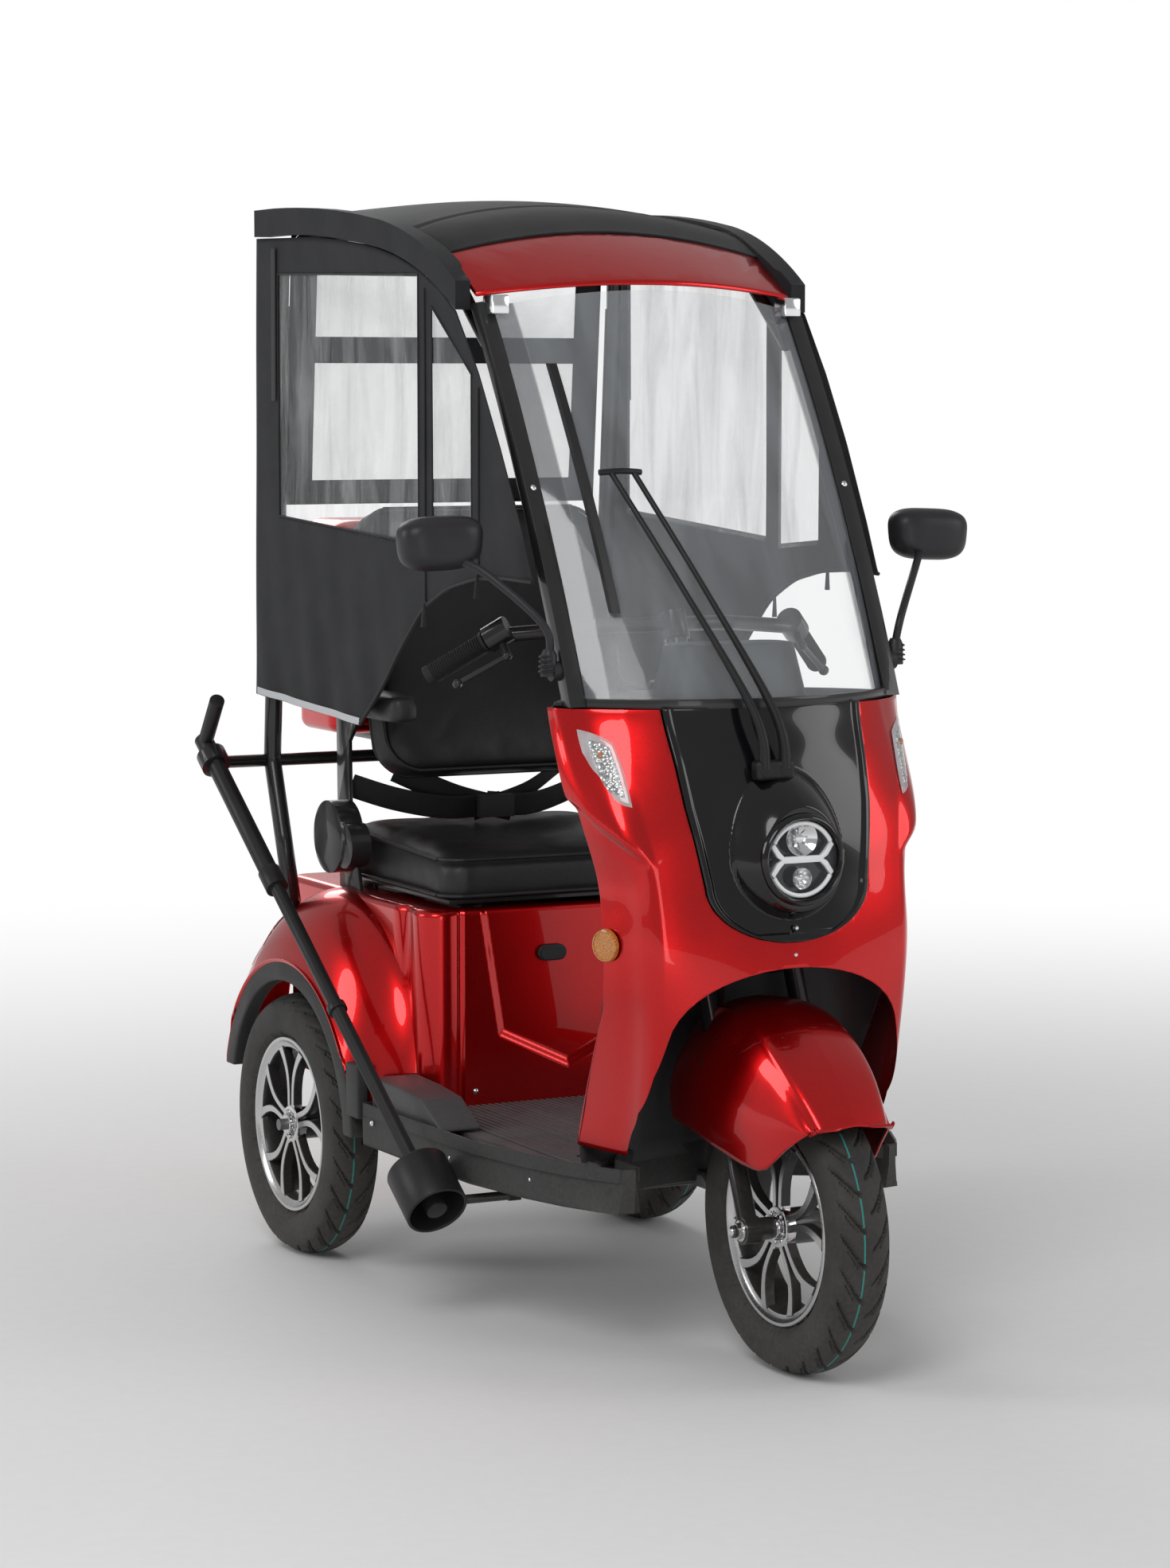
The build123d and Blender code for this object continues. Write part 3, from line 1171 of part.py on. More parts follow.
# Support pole on the right: clamp at the bar, pin bracket under the floor, the pole and its cup
POLE_TOP = Vector(-399, BAR_Y, 784)
POLE_LOW = Vector(-366, -150, 212)
POLE_GRIP = Vector(-418, 532, 885)
POLE_RADIUS = 11.0
SLEEVE_RADIUS = 15.0
CLAMP_HALF_LENGTH = 14.0
CUP_RADIUS = 47.0
CUP_LENGTH = 84.0
pole_line = (POLE_LOW - POLE_TOP).normalized()
cup_top = POLE_LOW - pole_line * (CUP_LENGTH / 2)
pin_end = POLE_LOW + pole_line * 25
with BuildPart() as pole_brackets:
    rod(POLE_TOP - pole_line * CLAMP_HALF_LENGTH, POLE_TOP + pole_line * CLAMP_HALF_LENGTH, SLEEVE_RADIUS + 9)
    rod((-POST_X - POST_RADIUS - SEAM, BAR_Y, BAR_Z), (POLE_TOP.X + SLEEVE_RADIUS + 2, BAR_Y, BAR_Z), 10)
    rod(POLE_TOP - pole_line * 40, POLE_TOP + pole_line * 40, SLEEVE_RADIUS + SEAM, mode=Mode.SUBTRACT)
    block((-246, -226), (pin_end.Y - 8, pin_end.Y + 8), (pin_end.Z - 7, FRAME_Z - SEAM))
    rod((-240, pin_end.Y, pin_end.Z), (pin_end.X + CUP_RADIUS + SEAM, pin_end.Y, pin_end.Z), 7)
write(pole_brackets.part, "pole_brackets")
with BuildPart() as support_pole:
    rod(POLE_TOP - pole_line * 50, POLE_TOP + pole_line * 260, SLEEVE_RADIUS)
    rod(POLE_TOP + pole_line * 250, cup_top - pole_line * SEAM, POLE_RADIUS)
    rod(POLE_TOP + pole_line * 262, POLE_TOP + pole_line * 300, SLEEVE_RADIUS + 3)
    rod(POLE_TOP + pole_line * 560, POLE_TOP + pole_line * 572, POLE_RADIUS + 4)
    rod(POLE_TOP - pole_line * 42, POLE_GRIP, 12)
write(support_pole.part, "support_pole")
with BuildPart() as pole_cup:
    with BuildSketch(Plane(origin=cup_top, z_dir=pole_line)):
        Circle(CUP_RADIUS)
    extrude(amount=CUP_LENGTH)
    with BuildSketch(Plane(origin=cup_top + pole_line * 10, z_dir=pole_line)):
        Circle(CUP_RADIUS - 5)
        Circle(16, mode=Mode.SUBTRACT)
    extrude(amount=CUP_LENGTH, mode=Mode.SUBTRACT)
write(pole_cup.part, "pole_cup")

# Tail lamps: sheets that follow the rear of the fenders
LAMP_THICKNESS = 6.0
lamp_outer = fender_form(-LAMP_THICKNESS, SEAT_BOX_HALF_WIDTH - 10, body_bottom_z)
with BuildPart() as lamp_left:
    add(lamp_outer)
    add(fender_outer, mode=Mode.SUBTRACT)
    block((262, 318), (592, 740), (440, 530), mode=Mode.INTERSECT)
with BuildPart() as tail_lamps:
    add(lamp_left.part)
    add(mirror(lamp_left.part, about=Plane.YZ))
write(tail_lamps.part, "tail_lamps")
with BuildPart() as charging_cap:
    with BuildSketch(Plane.XZ.offset(-SEAT_BOX_FRONT_Y + SEAM)):
        with Locations((-27, 508)):
            SlotOverall(48, 24)
    extrude(amount=6)
write(charging_cap.part, "charging_cap")

# Steering: fork with its stem, fender, handlebar, grips and levers
steer_up = Vector(0, sin(radians(RAKE)), cos(radians(RAKE)))
yoke_plane = Plane(origin=(0, axis_y(YOKE_Z), YOKE_Z), x_dir=(1, 0, 0), z_dir=steer_up)
BAR_CENTRE_Z = 1030.0
FENDER_HALF_WIDTH = 108.0
with BuildPart() as front_fork:
    with BuildSketch(yoke_plane):
        with Locations((0, -FORK_OFFSET * cos(radians(RAKE)) / 2)):
            RectangleRounded(2 * (FORK_LEG_X + FORK_LEG_RADIUS + 4), 64, 18)
    extrude(amount=20)
    rod((0, axis_y(YOKE_Z), YOKE_Z), (0, axis_y(BAR_CENTRE_Z - 16), BAR_CENTRE_Z - 16), STEM_RADIUS)
    for side in (-1, 1):
        x = side * FORK_LEG_X
        rod((x, leg_y(YOKE_Z + 20), YOKE_Z + 20), (x, FRONT_AXLE_Y, AXLE_Z), FORK_LEG_RADIUS)
        rod((x - 12, FRONT_AXLE_Y, AXLE_Z), (x + 12, FRONT_AXLE_Y, AXLE_Z), 20)
        rod((x, FRONT_AXLE_Y, AXLE_Z), (side * (HUB_HALF_WIDTH + 1.5), FRONT_AXLE_Y, AXLE_Z), 16)
        rod((x, leg_y(430), 430), (side * (FENDER_HALF_WIDTH - WALL - 1.6), leg_y(430), 430), 7)
    rod((-FORK_LEG_X - 26, FRONT_AXLE_Y, AXLE_Z), (FORK_LEG_X + 26, FRONT_AXLE_Y, AXLE_Z), AXLE_RADIUS)
write(front_fork.part, "front_fork")

FENDER_TIP = (-760.0, 376.0)
FENDER_TOP = (-503.0, 523.0)
FENDER_REAR = (-420.0, 346.0)


def fender_plan(shrink):
    """The plan of the front fender, narrower at its tip."""
    half = FENDER_HALF_WIDTH - shrink
    with BuildSketch(Plane.XY.offset(200)) as plan:
        Polygon(
            (-half, -410), (-half, -500), (-half + 16, -640), (-half + 50, -762 + shrink),
            (half - 50, -762 + shrink), (half - 16, -640), (half, -500), (half, -410),
            align=None,
        )
    return plan.sketch


def fender_side(inset, low):
    """The side view of the front fender, or of the space under it."""
    with BuildSketch(Plane.YZ.offset(-200)) as view:
        with BuildLine():
            tip = (FENDER_TIP[0] + inset, FENDER_TIP[1] - 1.5 * inset)
            top = (FENDER_TOP[0], FENDER_TOP[1] - inset)
            shoulder = (-438 - inset, 500 - inset)
            rear = (FENDER_REAR[0] - inset, FENDER_REAR[1])
            ThreePointArc(tip, (-655 + inset / 2, 474 - inset), top)
            Polyline(top, shoulder, rear)
            if low:
                Polyline(rear, (rear[0], 200), (tip[0], 200), tip)
            else:
                Polyline(rear, (-650, 302), (-718, 353), tip)
        make_face()
    return view.sketch


with BuildPart() as fender_solid:
    extrude(fender_side(0, False), amount=400)
    extrude(fender_plan(0), amount=400, mode=Mode.INTERSECT)
with BuildPart() as fender_core:
    extrude(fender_side(WALL, True), amount=400)
    extrude(fender_plan(WALL), amount=400, mode=Mode.INTERSECT)
with BuildPart() as front_fender:
    add(fender_solid.part)
    add(fender_core.part, mode=Mode.SUBTRACT)
    for side in (-1, 1):
        x = side * FORK_LEG_X
        rod((x, leg_y(440), 440), (x, leg_y(560), 560), FORK_LEG_RADIUS + 1.5, mode=Mode.SUBTRACT)
write(front_fender.part, "front_fender")

BAR_POINTS = (
    (-330.0, -78.0, 959.0),
    (-250.0, -144.0, 1021.0),
    (-96.0, axis_y(BAR_CENTRE_Z) + 6, BAR_CENTRE_Z + 6),
    (96.0, axis_y(BAR_CENTRE_Z) + 6, BAR_CENTRE_Z + 6),
    (250.0, -144.0, 1021.0),
    (330.0, -78.0, 959.0),
)
GRIP_LENGTH = 104.0
grip_end = Vector(*BAR_POINTS[-1])
grip_line = (Vector(*BAR_POINTS[-2]) - grip_end).normalized()
bar_run = tube(BAR_POINTS, BAR_RADIUS, 36)
with BuildPart() as handlebar:
    add(bar_run)
    stem_top = (0, axis_y(BAR_CENTRE_Z - 15.7), BAR_CENTRE_Z - 15.7)
    rod(stem_top, (0, axis_y(BAR_CENTRE_Z + 22), BAR_CENTRE_Z + 22), 20)
    for side in (-1, 1):
        clamp_start = grip_end + grip_line * (GRIP_LENGTH + 3)
        clamp_end = grip_end + grip_line * (GRIP_LENGTH + 40)
        rod(
            (side * clamp_start.X, clamp_start.Y, clamp_start.Z),
            (side * clamp_end.X, clamp_end.Y, clamp_end.Z),
            20,
        )
write(handlebar.part, "handlebar")
with BuildPart() as grips:
    for side in (-1, 1):
        outer = grip_end - grip_line * 4
        inner = grip_end + grip_line * GRIP_LENGTH
        bore = grip_end - grip_line * SEAM
        outer, inner, bore = [(side * p.X, p.Y, p.Z) for p in (outer, inner, bore)]
        rod(outer, inner, GRIP_RADIUS)
        rod(bore, inner, BAR_RADIUS + SEAM, mode=Mode.SUBTRACT)
write(grips.part, "grips")
with BuildPart() as brake_levers:
    for side in (-1, 1):
        root = grip_end + grip_line * (GRIP_LENGTH + 22)
        perch = root + Vector(0, -30, -30)
        tip = grip_end + grip_line * 34 + Vector(0, -40, -24)
        start = root + Vector(0, -14.6, -14.6)
        start, perch, tip = [(side * p.X, p.Y, p.Z) for p in (start, perch, tip)]
        rod(start, perch, 6)
        rod(perch, tip, 4.5)
        with Locations(tip):
            Sphere(8)
        with Locations(perch):
            Sphere(7)
write(brake_levers.part, "brake_levers")
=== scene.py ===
"""Electric tricycle with a canopy: the looks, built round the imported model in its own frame.

Metres. +X is the rider's left, the vehicle faces -Y and the floor is Z = 0. Every piece is made in
place by an operator of this add-on, and main() calls them in order.
"""
from math import atan2, cos, hypot, pi, radians, sin, sqrt

import bmesh
import bpy
from mathutils import Matrix, Vector


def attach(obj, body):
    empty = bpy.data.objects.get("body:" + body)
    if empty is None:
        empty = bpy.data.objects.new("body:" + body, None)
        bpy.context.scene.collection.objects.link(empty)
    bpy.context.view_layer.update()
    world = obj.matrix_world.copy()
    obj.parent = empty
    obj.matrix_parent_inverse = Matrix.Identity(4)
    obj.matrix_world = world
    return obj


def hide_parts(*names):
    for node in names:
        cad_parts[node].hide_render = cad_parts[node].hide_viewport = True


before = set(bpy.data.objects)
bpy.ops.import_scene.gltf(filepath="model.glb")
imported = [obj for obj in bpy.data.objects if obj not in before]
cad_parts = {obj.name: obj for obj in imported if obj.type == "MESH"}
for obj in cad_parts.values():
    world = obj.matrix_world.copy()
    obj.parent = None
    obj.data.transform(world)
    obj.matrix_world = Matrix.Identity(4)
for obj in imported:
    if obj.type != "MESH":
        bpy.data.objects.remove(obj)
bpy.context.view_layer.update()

bl_info = {
    "name": "Electric tricycle with canopy",
    "version": (1, 0, 0),
    "blender": (4, 5, 0),
    "location": "View3D > Sidebar > Tricycle",
    "description": "Bodywork, canopy, seat, lamps and wheels of a covered electric tricycle",
    "category": "Add Mesh",
}

FRONT_HUB = Vector((0.0, -0.593, 0.208))
REAR_HUB_Y = 0.457
HUB_Z = 0.208


class TricycleSettings(bpy.types.PropertyGroup):
    """Sizes and colours that a user would change."""

    paint: bpy.props.FloatVectorProperty(
        name="Paint", description="Colour of the bodywork", subtype="COLOR", default=(0.54, 0.0010, 0.0030)
    )
    leather: bpy.props.FloatVectorProperty(
        name="Leather", description="Colour of the seat", subtype="COLOR", default=(0.008, 0.008, 0.009)
    )
    canopy: bpy.props.FloatVectorProperty(
        name="Canopy", description="Colour of the roof and the curtains", subtype="COLOR",
        default=(0.010, 0.0105, 0.012),
    )
    tread_depth: bpy.props.FloatProperty(
        name="Tread depth", description="Depth of the grooves in the tyres", default=0.0045, unit="LENGTH"
    )
    seam_depth: bpy.props.FloatProperty(
        name="Seam depth", description="Depth of the sewn lines on the seat", default=0.003, unit="LENGTH"
    )
    rivet_radius: bpy.props.FloatProperty(
        name="Rivet radius", description="Size of the push rivets on the skirts", default=0.0048, unit="LENGTH"
    )


def settings():
    """The add-on's settings in this scene."""
    return bpy.context.scene.tricycle


# Curves and steps that the shapes share
def ease(low, high, value):
    """A smooth step from 0 at low to 1 at high."""
    share = min(max((value - low) / (high - low), 0.0), 1.0)
    return share * share * (3 - 2 * share)


def along(points, share):
    """A smooth curve through the points, from 0 to 1."""
    place = min(max(share, 0.0), 1.0) * (len(points) - 1)
    start = min(int(place), len(points) - 2)
    t = place - start
    before, a = points[max(start - 1, 0)], points[start]
    b, after = points[start + 1], points[min(start + 2, len(points) - 1)]
    return tuple(
        0.5 * (2 * q + (r - p) * t + (2 * p - 5 * q + 4 * r - s) * t * t + (3 * q - p - 3 * r + s) * t**3)
        for p, q, r, s in zip(before, a, b, after)
    )


def at_level(rows, z):
    """The row of sizes at a height, smoothly between the rows that are given from low to high."""
    for number in range(len(rows) - 1):
        if z <= rows[number + 1][0] or number == len(rows) - 2:
            low, high = rows[number][0], rows[number + 1][0]
            return along(rows, (number + (z - low) / (high - low)) / (len(rows) - 1))


def arc(radius, angle):
    """A point on a circle, with the angle in radians."""
    return radius * cos(angle), radius * sin(angle)


# Meshes
def skin(mesh, columns, rows, place):
    """A grid whose corners are put by place(u, v), both from 0 to 1."""
    made = bmesh.ops.create_grid(mesh, x_segments=columns, y_segments=rows, size=0.5)["verts"]
    for vert in made:
        vert.co = place(vert.co.x + 0.5, vert.co.y + 0.5)
    return made


def plate(mesh, outline, depth):
    """A flat outline extruded along depth."""
    face = mesh.faces.new([mesh.verts.new(point) for point in outline])
    grown = bmesh.ops.extrude_face_region(mesh, geom=[face])["geom"]
    moved = [g for g in grown if isinstance(g, bmesh.types.BMVert)]
    bmesh.ops.translate(mesh, vec=Vector(depth), verts=moved)
    return moved


def brick(mesh, low, high):
    """A block between two corners."""
    low, high = Vector(low), Vector(high)
    size = high - low
    made = bmesh.ops.create_cube(mesh, size=1.0, matrix=Matrix.Translation((low + high) / 2) @ Matrix.Diagonal((*size, 1.0)))
    return made["verts"]


def turned(mesh, profile, origin, axis, steps=48):
    """A body turned about an axis from a profile of radius and distance along the axis."""
    origin, axis = Vector(origin), Vector(axis).normalized()
    side = axis.orthogonal().normalized()
    verts = [mesh.verts.new(origin + axis * height + side * max(radius, 0.00002)) for radius, height in profile]
    edges = [mesh.edges.new(pair) for pair in zip(verts, verts[1:])]
    bmesh.ops.spin(mesh, geom=verts + edges, cent=origin, axis=axis, angle=2 * pi, steps=steps, use_merge=True)


def pipe(mesh, points, radius, sides=14, steps=8, smooth=True):
    """A round bar along a smooth line through the points. The radius may change along it."""
    count = steps * (len(points) - 1)
    path = [Vector(along(points, n / count) if smooth else points[n]) for n in range(count + 1 if smooth else len(points))]
    rings = []
    side = (path[1] - path[0]).orthogonal().normalized()
    for number, point in enumerate(path):
        run = (path[min(number + 1, len(path) - 1)] - path[max(number - 1, 0)]).normalized()
        side = (side - run * side.dot(run)).normalized()
        up = run.cross(side)
        size = radius(number / (len(path) - 1)) if callable(radius) else radius
        ring = [
            mesh.verts.new(point + side * size * cos(2 * pi * n / sides) + up * size * sin(2 * pi * n / sides))
            for n in range(sides)
        ]
        rings.append([mesh.edges.new((ring[n], ring[(n + 1) % sides])) for n in range(sides)])
        if number in (0, len(path) - 1):
            mesh.faces.new(ring)
    for low, high in zip(rings, rings[1:]):
        bmesh.ops.bridge_loops(mesh, edges=low + high)


def strap(mesh, points, width, thickness, across, steps=10):
    """A flat band along a smooth line, lying across a direction."""
    across = Vector(across).normalized()
    count = steps * (len(points) - 1)
    path = [Vector(along(points, n / count)) for n in range(count + 1)]

    def place(u, v):
        number = round(v * count)
        run = (path[min(number + 1, count)] - path[max(number - 1, 0)]).normalized()
        wide = (across - run * across.dot(run)).normalized()
        normal = run.cross(wide)
        angle = 2 * pi * u
        return path[number] + wide * (width / 2) * max(-1, min(1, 1.35 * cos(angle))) + normal * (thickness / 2) * max(
            -1, min(1, 1.35 * sin(angle))
        )

    skin(mesh, 12, count, place)


def merged(mesh, distance=0.00005):
    """Closes seams and poles and points every face outwards."""
    bmesh.ops.remove_doubles(mesh, verts=mesh.verts[:], dist=distance)
    bmesh.ops.recalc_face_normals(mesh, faces=mesh.faces[:])


def both_sides(mesh):
    """Adds the mirrored copy on the other side of the vehicle."""
    bmesh.ops.mirror(mesh, geom=mesh.verts[:] + mesh.edges[:] + mesh.faces[:], axis="X", merge_dist=0.00001)


def softened(mesh, width, angle=35.0, segments=2):
    """Rounds the sharp edges."""
    sharp = [e for e in mesh.edges if e.is_manifold and e.calc_face_angle(0) > radians(angle)]
    bmesh.ops.bevel(
        mesh, geom=sharp, offset=width, offset_type="OFFSET", affect="EDGES", segments=segments, profile=0.5,
        material=-1, clamp_overlap=True,
    )


def finished(mesh, name, body, finish, replaces=(), smooth=40.0, closed=True):
    """Makes the object from its mesh, with its finish, the body that carries it and what it stands for."""
    if closed:
        merged(mesh)
    data = bpy.data.meshes.new(name)
    for material in finish if isinstance(finish, (list, tuple)) else [finish]:
        data.materials.append(material)
    mesh.to_mesh(data)
    mesh.free()
    piece = bpy.data.objects.new(name, data)
    bpy.context.scene.collection.objects.link(piece)
    data.shade_smooth()
    if smooth < 180:
        data.set_sharp_from_angle(angle=radians(smooth))
    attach(piece, body)
    if replaces:
        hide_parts(*replaces)
    return piece


def shaped(piece, kind, name, **values):
    """Gives a piece a modifier and applies it."""
    modifier = piece.modifiers.new(name, kind)
    for key, value in values.items():
        setattr(modifier, key, value)
    if kind == "SUBSURF":
        modifier.render_levels = modifier.levels
    graph = bpy.context.evaluated_depsgraph_get()
    made = bpy.data.meshes.new_from_object(piece.evaluated_get(graph), depsgraph=graph)
    piece.modifiers.clear()
    old, piece.data = piece.data, made
    made.name = old.name
    bpy.data.meshes.remove(old)
    return piece


def cut(piece, mesh):
    """Takes a closed form out of a piece."""
    merged(mesh)
    data = bpy.data.meshes.new("opening")
    mesh.to_mesh(data)
    mesh.free()
    cutter = bpy.data.objects.new("opening", data)
    bpy.context.scene.collection.objects.link(cutter)
    shaped(piece, "BOOLEAN", "Opening", operation="DIFFERENCE", solver="EXACT", object=cutter)
    bpy.data.objects.remove(cutter)
    bpy.data.meshes.remove(data)


def cad_copy(*nodes):
    """A merged copy of the meshes of CAD nodes."""
    mesh = bmesh.new()
    for name in nodes:
        mesh.from_mesh(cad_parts[name].data)
    for face in mesh.faces:
        face.material_index = 0
    bmesh.ops.remove_doubles(mesh, verts=mesh.verts[:], dist=0.00002)
    bmesh.ops.dissolve_limit(
        mesh, angle_limit=radians(1.0), use_dissolve_boundaries=False, verts=mesh.verts[:], edges=mesh.edges[:],
        delimit={"NORMAL"},
    )
    return mesh


def dressed(node, name, body, finish, width, segments=2, smooth=40):
    """A piece with the form of its CAD node, its edges rounded."""
    mesh = cad_copy(node)
    if width:
        softened(mesh, width, 40, segments)
    finished(mesh, name, body, FINISH[finish], [node], smooth=smooth)


# Finishes: effects that several materials share, as node groups, then the materials
def effect(name, inputs, outputs):
    """An empty node group with its sockets."""
    tree = bpy.data.node_groups.new(name, "ShaderNodeTree")
    for label, kind, value in inputs:
        tree.interface.new_socket(name=label, in_out="INPUT", socket_type=kind).default_value = value
    for label, kind in outputs:
        tree.interface.new_socket(name=label, in_out="OUTPUT", socket_type=kind)
    return tree, tree.nodes.new("NodeGroupInput").outputs, tree.nodes.new("NodeGroupOutput").inputs


def fed(tree, made, values):
    """Sets or links the inputs of a node."""
    for socket, value in dict(values).items():
        if isinstance(value, bpy.types.NodeSocket):
            tree.links.new(value, made.inputs[socket])
        else:
            made.inputs[socket].default_value = value
    return made


def add_node(tree, kind, values=(), **options):
    """A node with its options, and its inputs set or linked."""
    made = tree.nodes.new("ShaderNode" + kind)
    for key, value in options.items():
        setattr(made, key, value)
    return fed(tree, made, values)


def own_place(tree):
    """The place on the piece, in metres."""
    return add_node(tree, "TexCoord").outputs["Object"]


FLOAT, COLOUR = "NodeSocketFloat", "NodeSocketColor"


def grain_effect():
    """Fine moulded grain: a height and a mask of slow unevenness."""
    tree, given, put = effect(
        "Moulded grain", [("Scale", FLOAT, 900.0), ("Coarseness", FLOAT, 0.5)], [("Height", FLOAT), ("Mottle", FLOAT)]
    )
    place = own_place(tree)
    fine = add_node(tree, "TexVoronoi", {"Vector": place, "Scale": given["Scale"]}, feature="F1")
    soft = add_node(tree, "TexNoise", {"Vector": place, "Scale": given["Scale"], "Detail": 3.0})
    height = add_node(
        tree, "Mix", {0: given["Coarseness"], 2: fine.outputs["Distance"], 3: soft.outputs["Fac"]}, data_type="FLOAT"
    )
    slow = add_node(tree, "TexNoise", {"Vector": place, "Scale": 9.0, "Detail": 5.0, "Roughness": 0.6})
    tree.links.new(height.outputs[0], put["Height"])
    tree.links.new(slow.outputs["Fac"], put["Mottle"])
    return tree


def dust_effect():
    """A colour with slow unevenness and road dust that gathers low down."""
    tree, given, put = effect(
        "Road dust",
        [
            ("Colour", COLOUR, (0.1, 0.1, 0.1, 1)), ("Dust colour", COLOUR, (0.32, 0.29, 0.25, 1)),
            ("Unevenness", FLOAT, 0.2), ("Dust", FLOAT, 0.1),
        ],
        [("Colour", COLOUR), ("Dust mask", FLOAT)],
    )
    place = own_place(tree)
    slow = add_node(tree, "TexNoise", {"Vector": place, "Scale": 14.0, "Detail": 6.0, "Roughness": 0.65})
    shade = add_node(
        tree, "MapRange", {0: slow.outputs["Fac"], 1: 0.3, 2: 0.7, 3: 0.0, 4: 1.0}, interpolation_type="SMOOTHSTEP"
    )
    strength = add_node(tree, "Math", {0: shade.outputs[0], 1: given["Unevenness"]}, operation="MULTIPLY")
    lighter = add_node(
        tree, "Mix", {0: strength.outputs[0], 6: given["Colour"], 7: given["Dust colour"]}, data_type="RGBA"
    )
    height = add_node(tree, "SeparateXYZ", {0: place}).outputs["Z"]
    low = add_node(tree, "MapRange", {0: height, 1: 0.5, 2: 0.0, 3: 0.0, 4: 1.0})
    speck = add_node(tree, "TexNoise", {"Vector": place, "Scale": 160.0, "Detail": 4.0})
    patch = add_node(tree, "Math", {0: low.outputs[0], 1: speck.outputs["Fac"]}, operation="MULTIPLY")
    dust = add_node(tree, "Math", {0: patch.outputs[0], 1: given["Dust"]}, operation="MULTIPLY")
    dusted = add_node(
        tree, "Mix", {0: dust.outputs[0], 6: lighter.outputs[2], 7: given["Dust colour"]}, data_type="RGBA"
    )
    tree.links.new(dusted.outputs[2], put["Colour"])
    tree.links.new(dust.outputs[0], put["Dust mask"])
    return tree


def flake_effect():
    """Metallic flakes in a coat of paint, and the faint waviness of its surface."""
    tree, given, put = effect(
        "Paint flakes",
        [("Paint", COLOUR, (0.5, 0, 0, 1)), ("Flake", COLOUR, (1, 0.2, 0.2, 1)), ("Amount", FLOAT, 0.3)],
        [("Colour", COLOUR), ("Waviness", FLOAT)],
    )
    place = own_place(tree)
    cells = add_node(tree, "TexVoronoi", {"Vector": place, "Scale": 1500.0})
    bright = add_node(tree, "SeparateColor", {0: cells.outputs["Color"]}).outputs[0]
    lit = add_node(tree, "MapRange", {0: bright, 1: 0.55, 2: 1.0, 3: 0.0, 4: 1.0})
    share = add_node(tree, "Math", {0: lit.outputs[0], 1: given["Amount"]}, operation="MULTIPLY")
    mixed = add_node(tree, "Mix", {0: share.outputs[0], 6: given["Paint"], 7: given["Flake"]}, data_type="RGBA")
    wave = add_node(tree, "TexNoise", {"Vector": place, "Scale": 5.0, "Detail": 1.0})
    tree.links.new(mixed.outputs[2], put["Colour"])
    tree.links.new(wave.outputs["Fac"], put["Waviness"])
    return tree


def weave_effect():
    """Crossing threads of a woven cloth: a height and a thread mask."""
    tree, given, put = effect(
        "Woven threads", [("Scale", FLOAT, 700.0), ("Creases", FLOAT, 0.5)], [("Height", FLOAT), ("Threads", FLOAT)]
    )
    place = own_place(tree)
    warp = add_node(tree, "TexWave", {"Vector": place, "Scale": given["Scale"]}, bands_direction="Y")
    weft = add_node(tree, "TexWave", {"Vector": place, "Scale": given["Scale"]}, bands_direction="Z")
    cross = add_node(tree, "Math", {0: warp.outputs["Fac"], 1: weft.outputs["Fac"]}, operation="MULTIPLY")
    crease = add_node(tree, "TexNoise", {"Vector": place, "Scale": 6.0, "Detail": 4.0, "Distortion": 1.2})
    soft = add_node(tree, "Math", {0: crease.outputs["Fac"], 1: given["Creases"]}, operation="MULTIPLY")
    threads = add_node(tree, "Math", {0: cross.outputs[0], 1: 0.06}, operation="MULTIPLY")
    total = add_node(tree, "Math", {0: threads.outputs[0], 1: soft.outputs[0]}, operation="ADD")
    tree.links.new(total.outputs[0], put["Height"])
    tree.links.new(cross.outputs[0], put["Threads"])
    return tree


EFFECTS = {
    "grain": grain_effect(), "dust": dust_effect(), "flakes": flake_effect(), "weave": weave_effect(),
}


def placed(tree, effect_name, values=()):
    """One of the shared effects, placed in a material with its own values."""
    made = tree.nodes.new("ShaderNodeGroup")
    made.node_tree = EFFECTS[effect_name]
    return fed(tree, made, values).outputs


def shader(name, values):
    """A new material, its node tree and its shader, with the shader's plain values set."""
    made = bpy.data.materials.new(name)
    made.use_nodes = True
    tree = made.node_tree
    skin_shader = tree.nodes["Principled BSDF"]
    for socket, value in values.items():
        skin_shader.inputs[socket].default_value = value
    return made, tree, skin_shader.inputs


def raised(tree, ports, height, distance, strength=1.0):
    """A bump that feeds the shader's normal."""
    bump = add_node(tree, "Bump", {"Height": height, "Distance": distance, "Strength": strength})
    tree.links.new(bump.outputs[0], ports["Normal"])


def roughened(tree, ports, share, given, rough):
    """Spreads the roughness between two values, where a share runs through a given range."""
    spread = add_node(tree, "MapRange", {0: share, 1: given[0], 2: given[1], 3: rough[0], 4: rough[1]})
    tree.links.new(spread.outputs[0], ports["Roughness"])


def toned(tree, ports, colour, uneven, dust, **more):
    """Feeds the shader's colour through the shared road dust."""
    tone = placed(tree, "dust", {"Colour": colour, "Unevenness": uneven, "Dust": dust, **more})
    tree.links.new(tone["Colour"], ports["Base Color"])


def moulded(name, colour, rough, scale=900.0, depth=0.00012, dust=0.15, uneven=0.12, metallic=0.0, coat=0.0):
    """Moulded, cast or coated stuff: an even colour with dust, and a grain in its surface."""
    made, tree, ports = shader(
        name, {"Metallic": metallic, "Specular IOR Level": 0.3, "Coat Weight": coat, "Coat Roughness": 0.06}
    )
    toned(tree, ports, (*colour, 1), uneven * 0.12, dust)
    grain = placed(tree, "grain", {"Scale": scale})
    roughened(tree, ports, grain["Mottle"], (0.3, 0.7), (rough * 0.88, rough * 1.12))
    raised(tree, ports, grain["Height"], depth, 0.5)
    return made


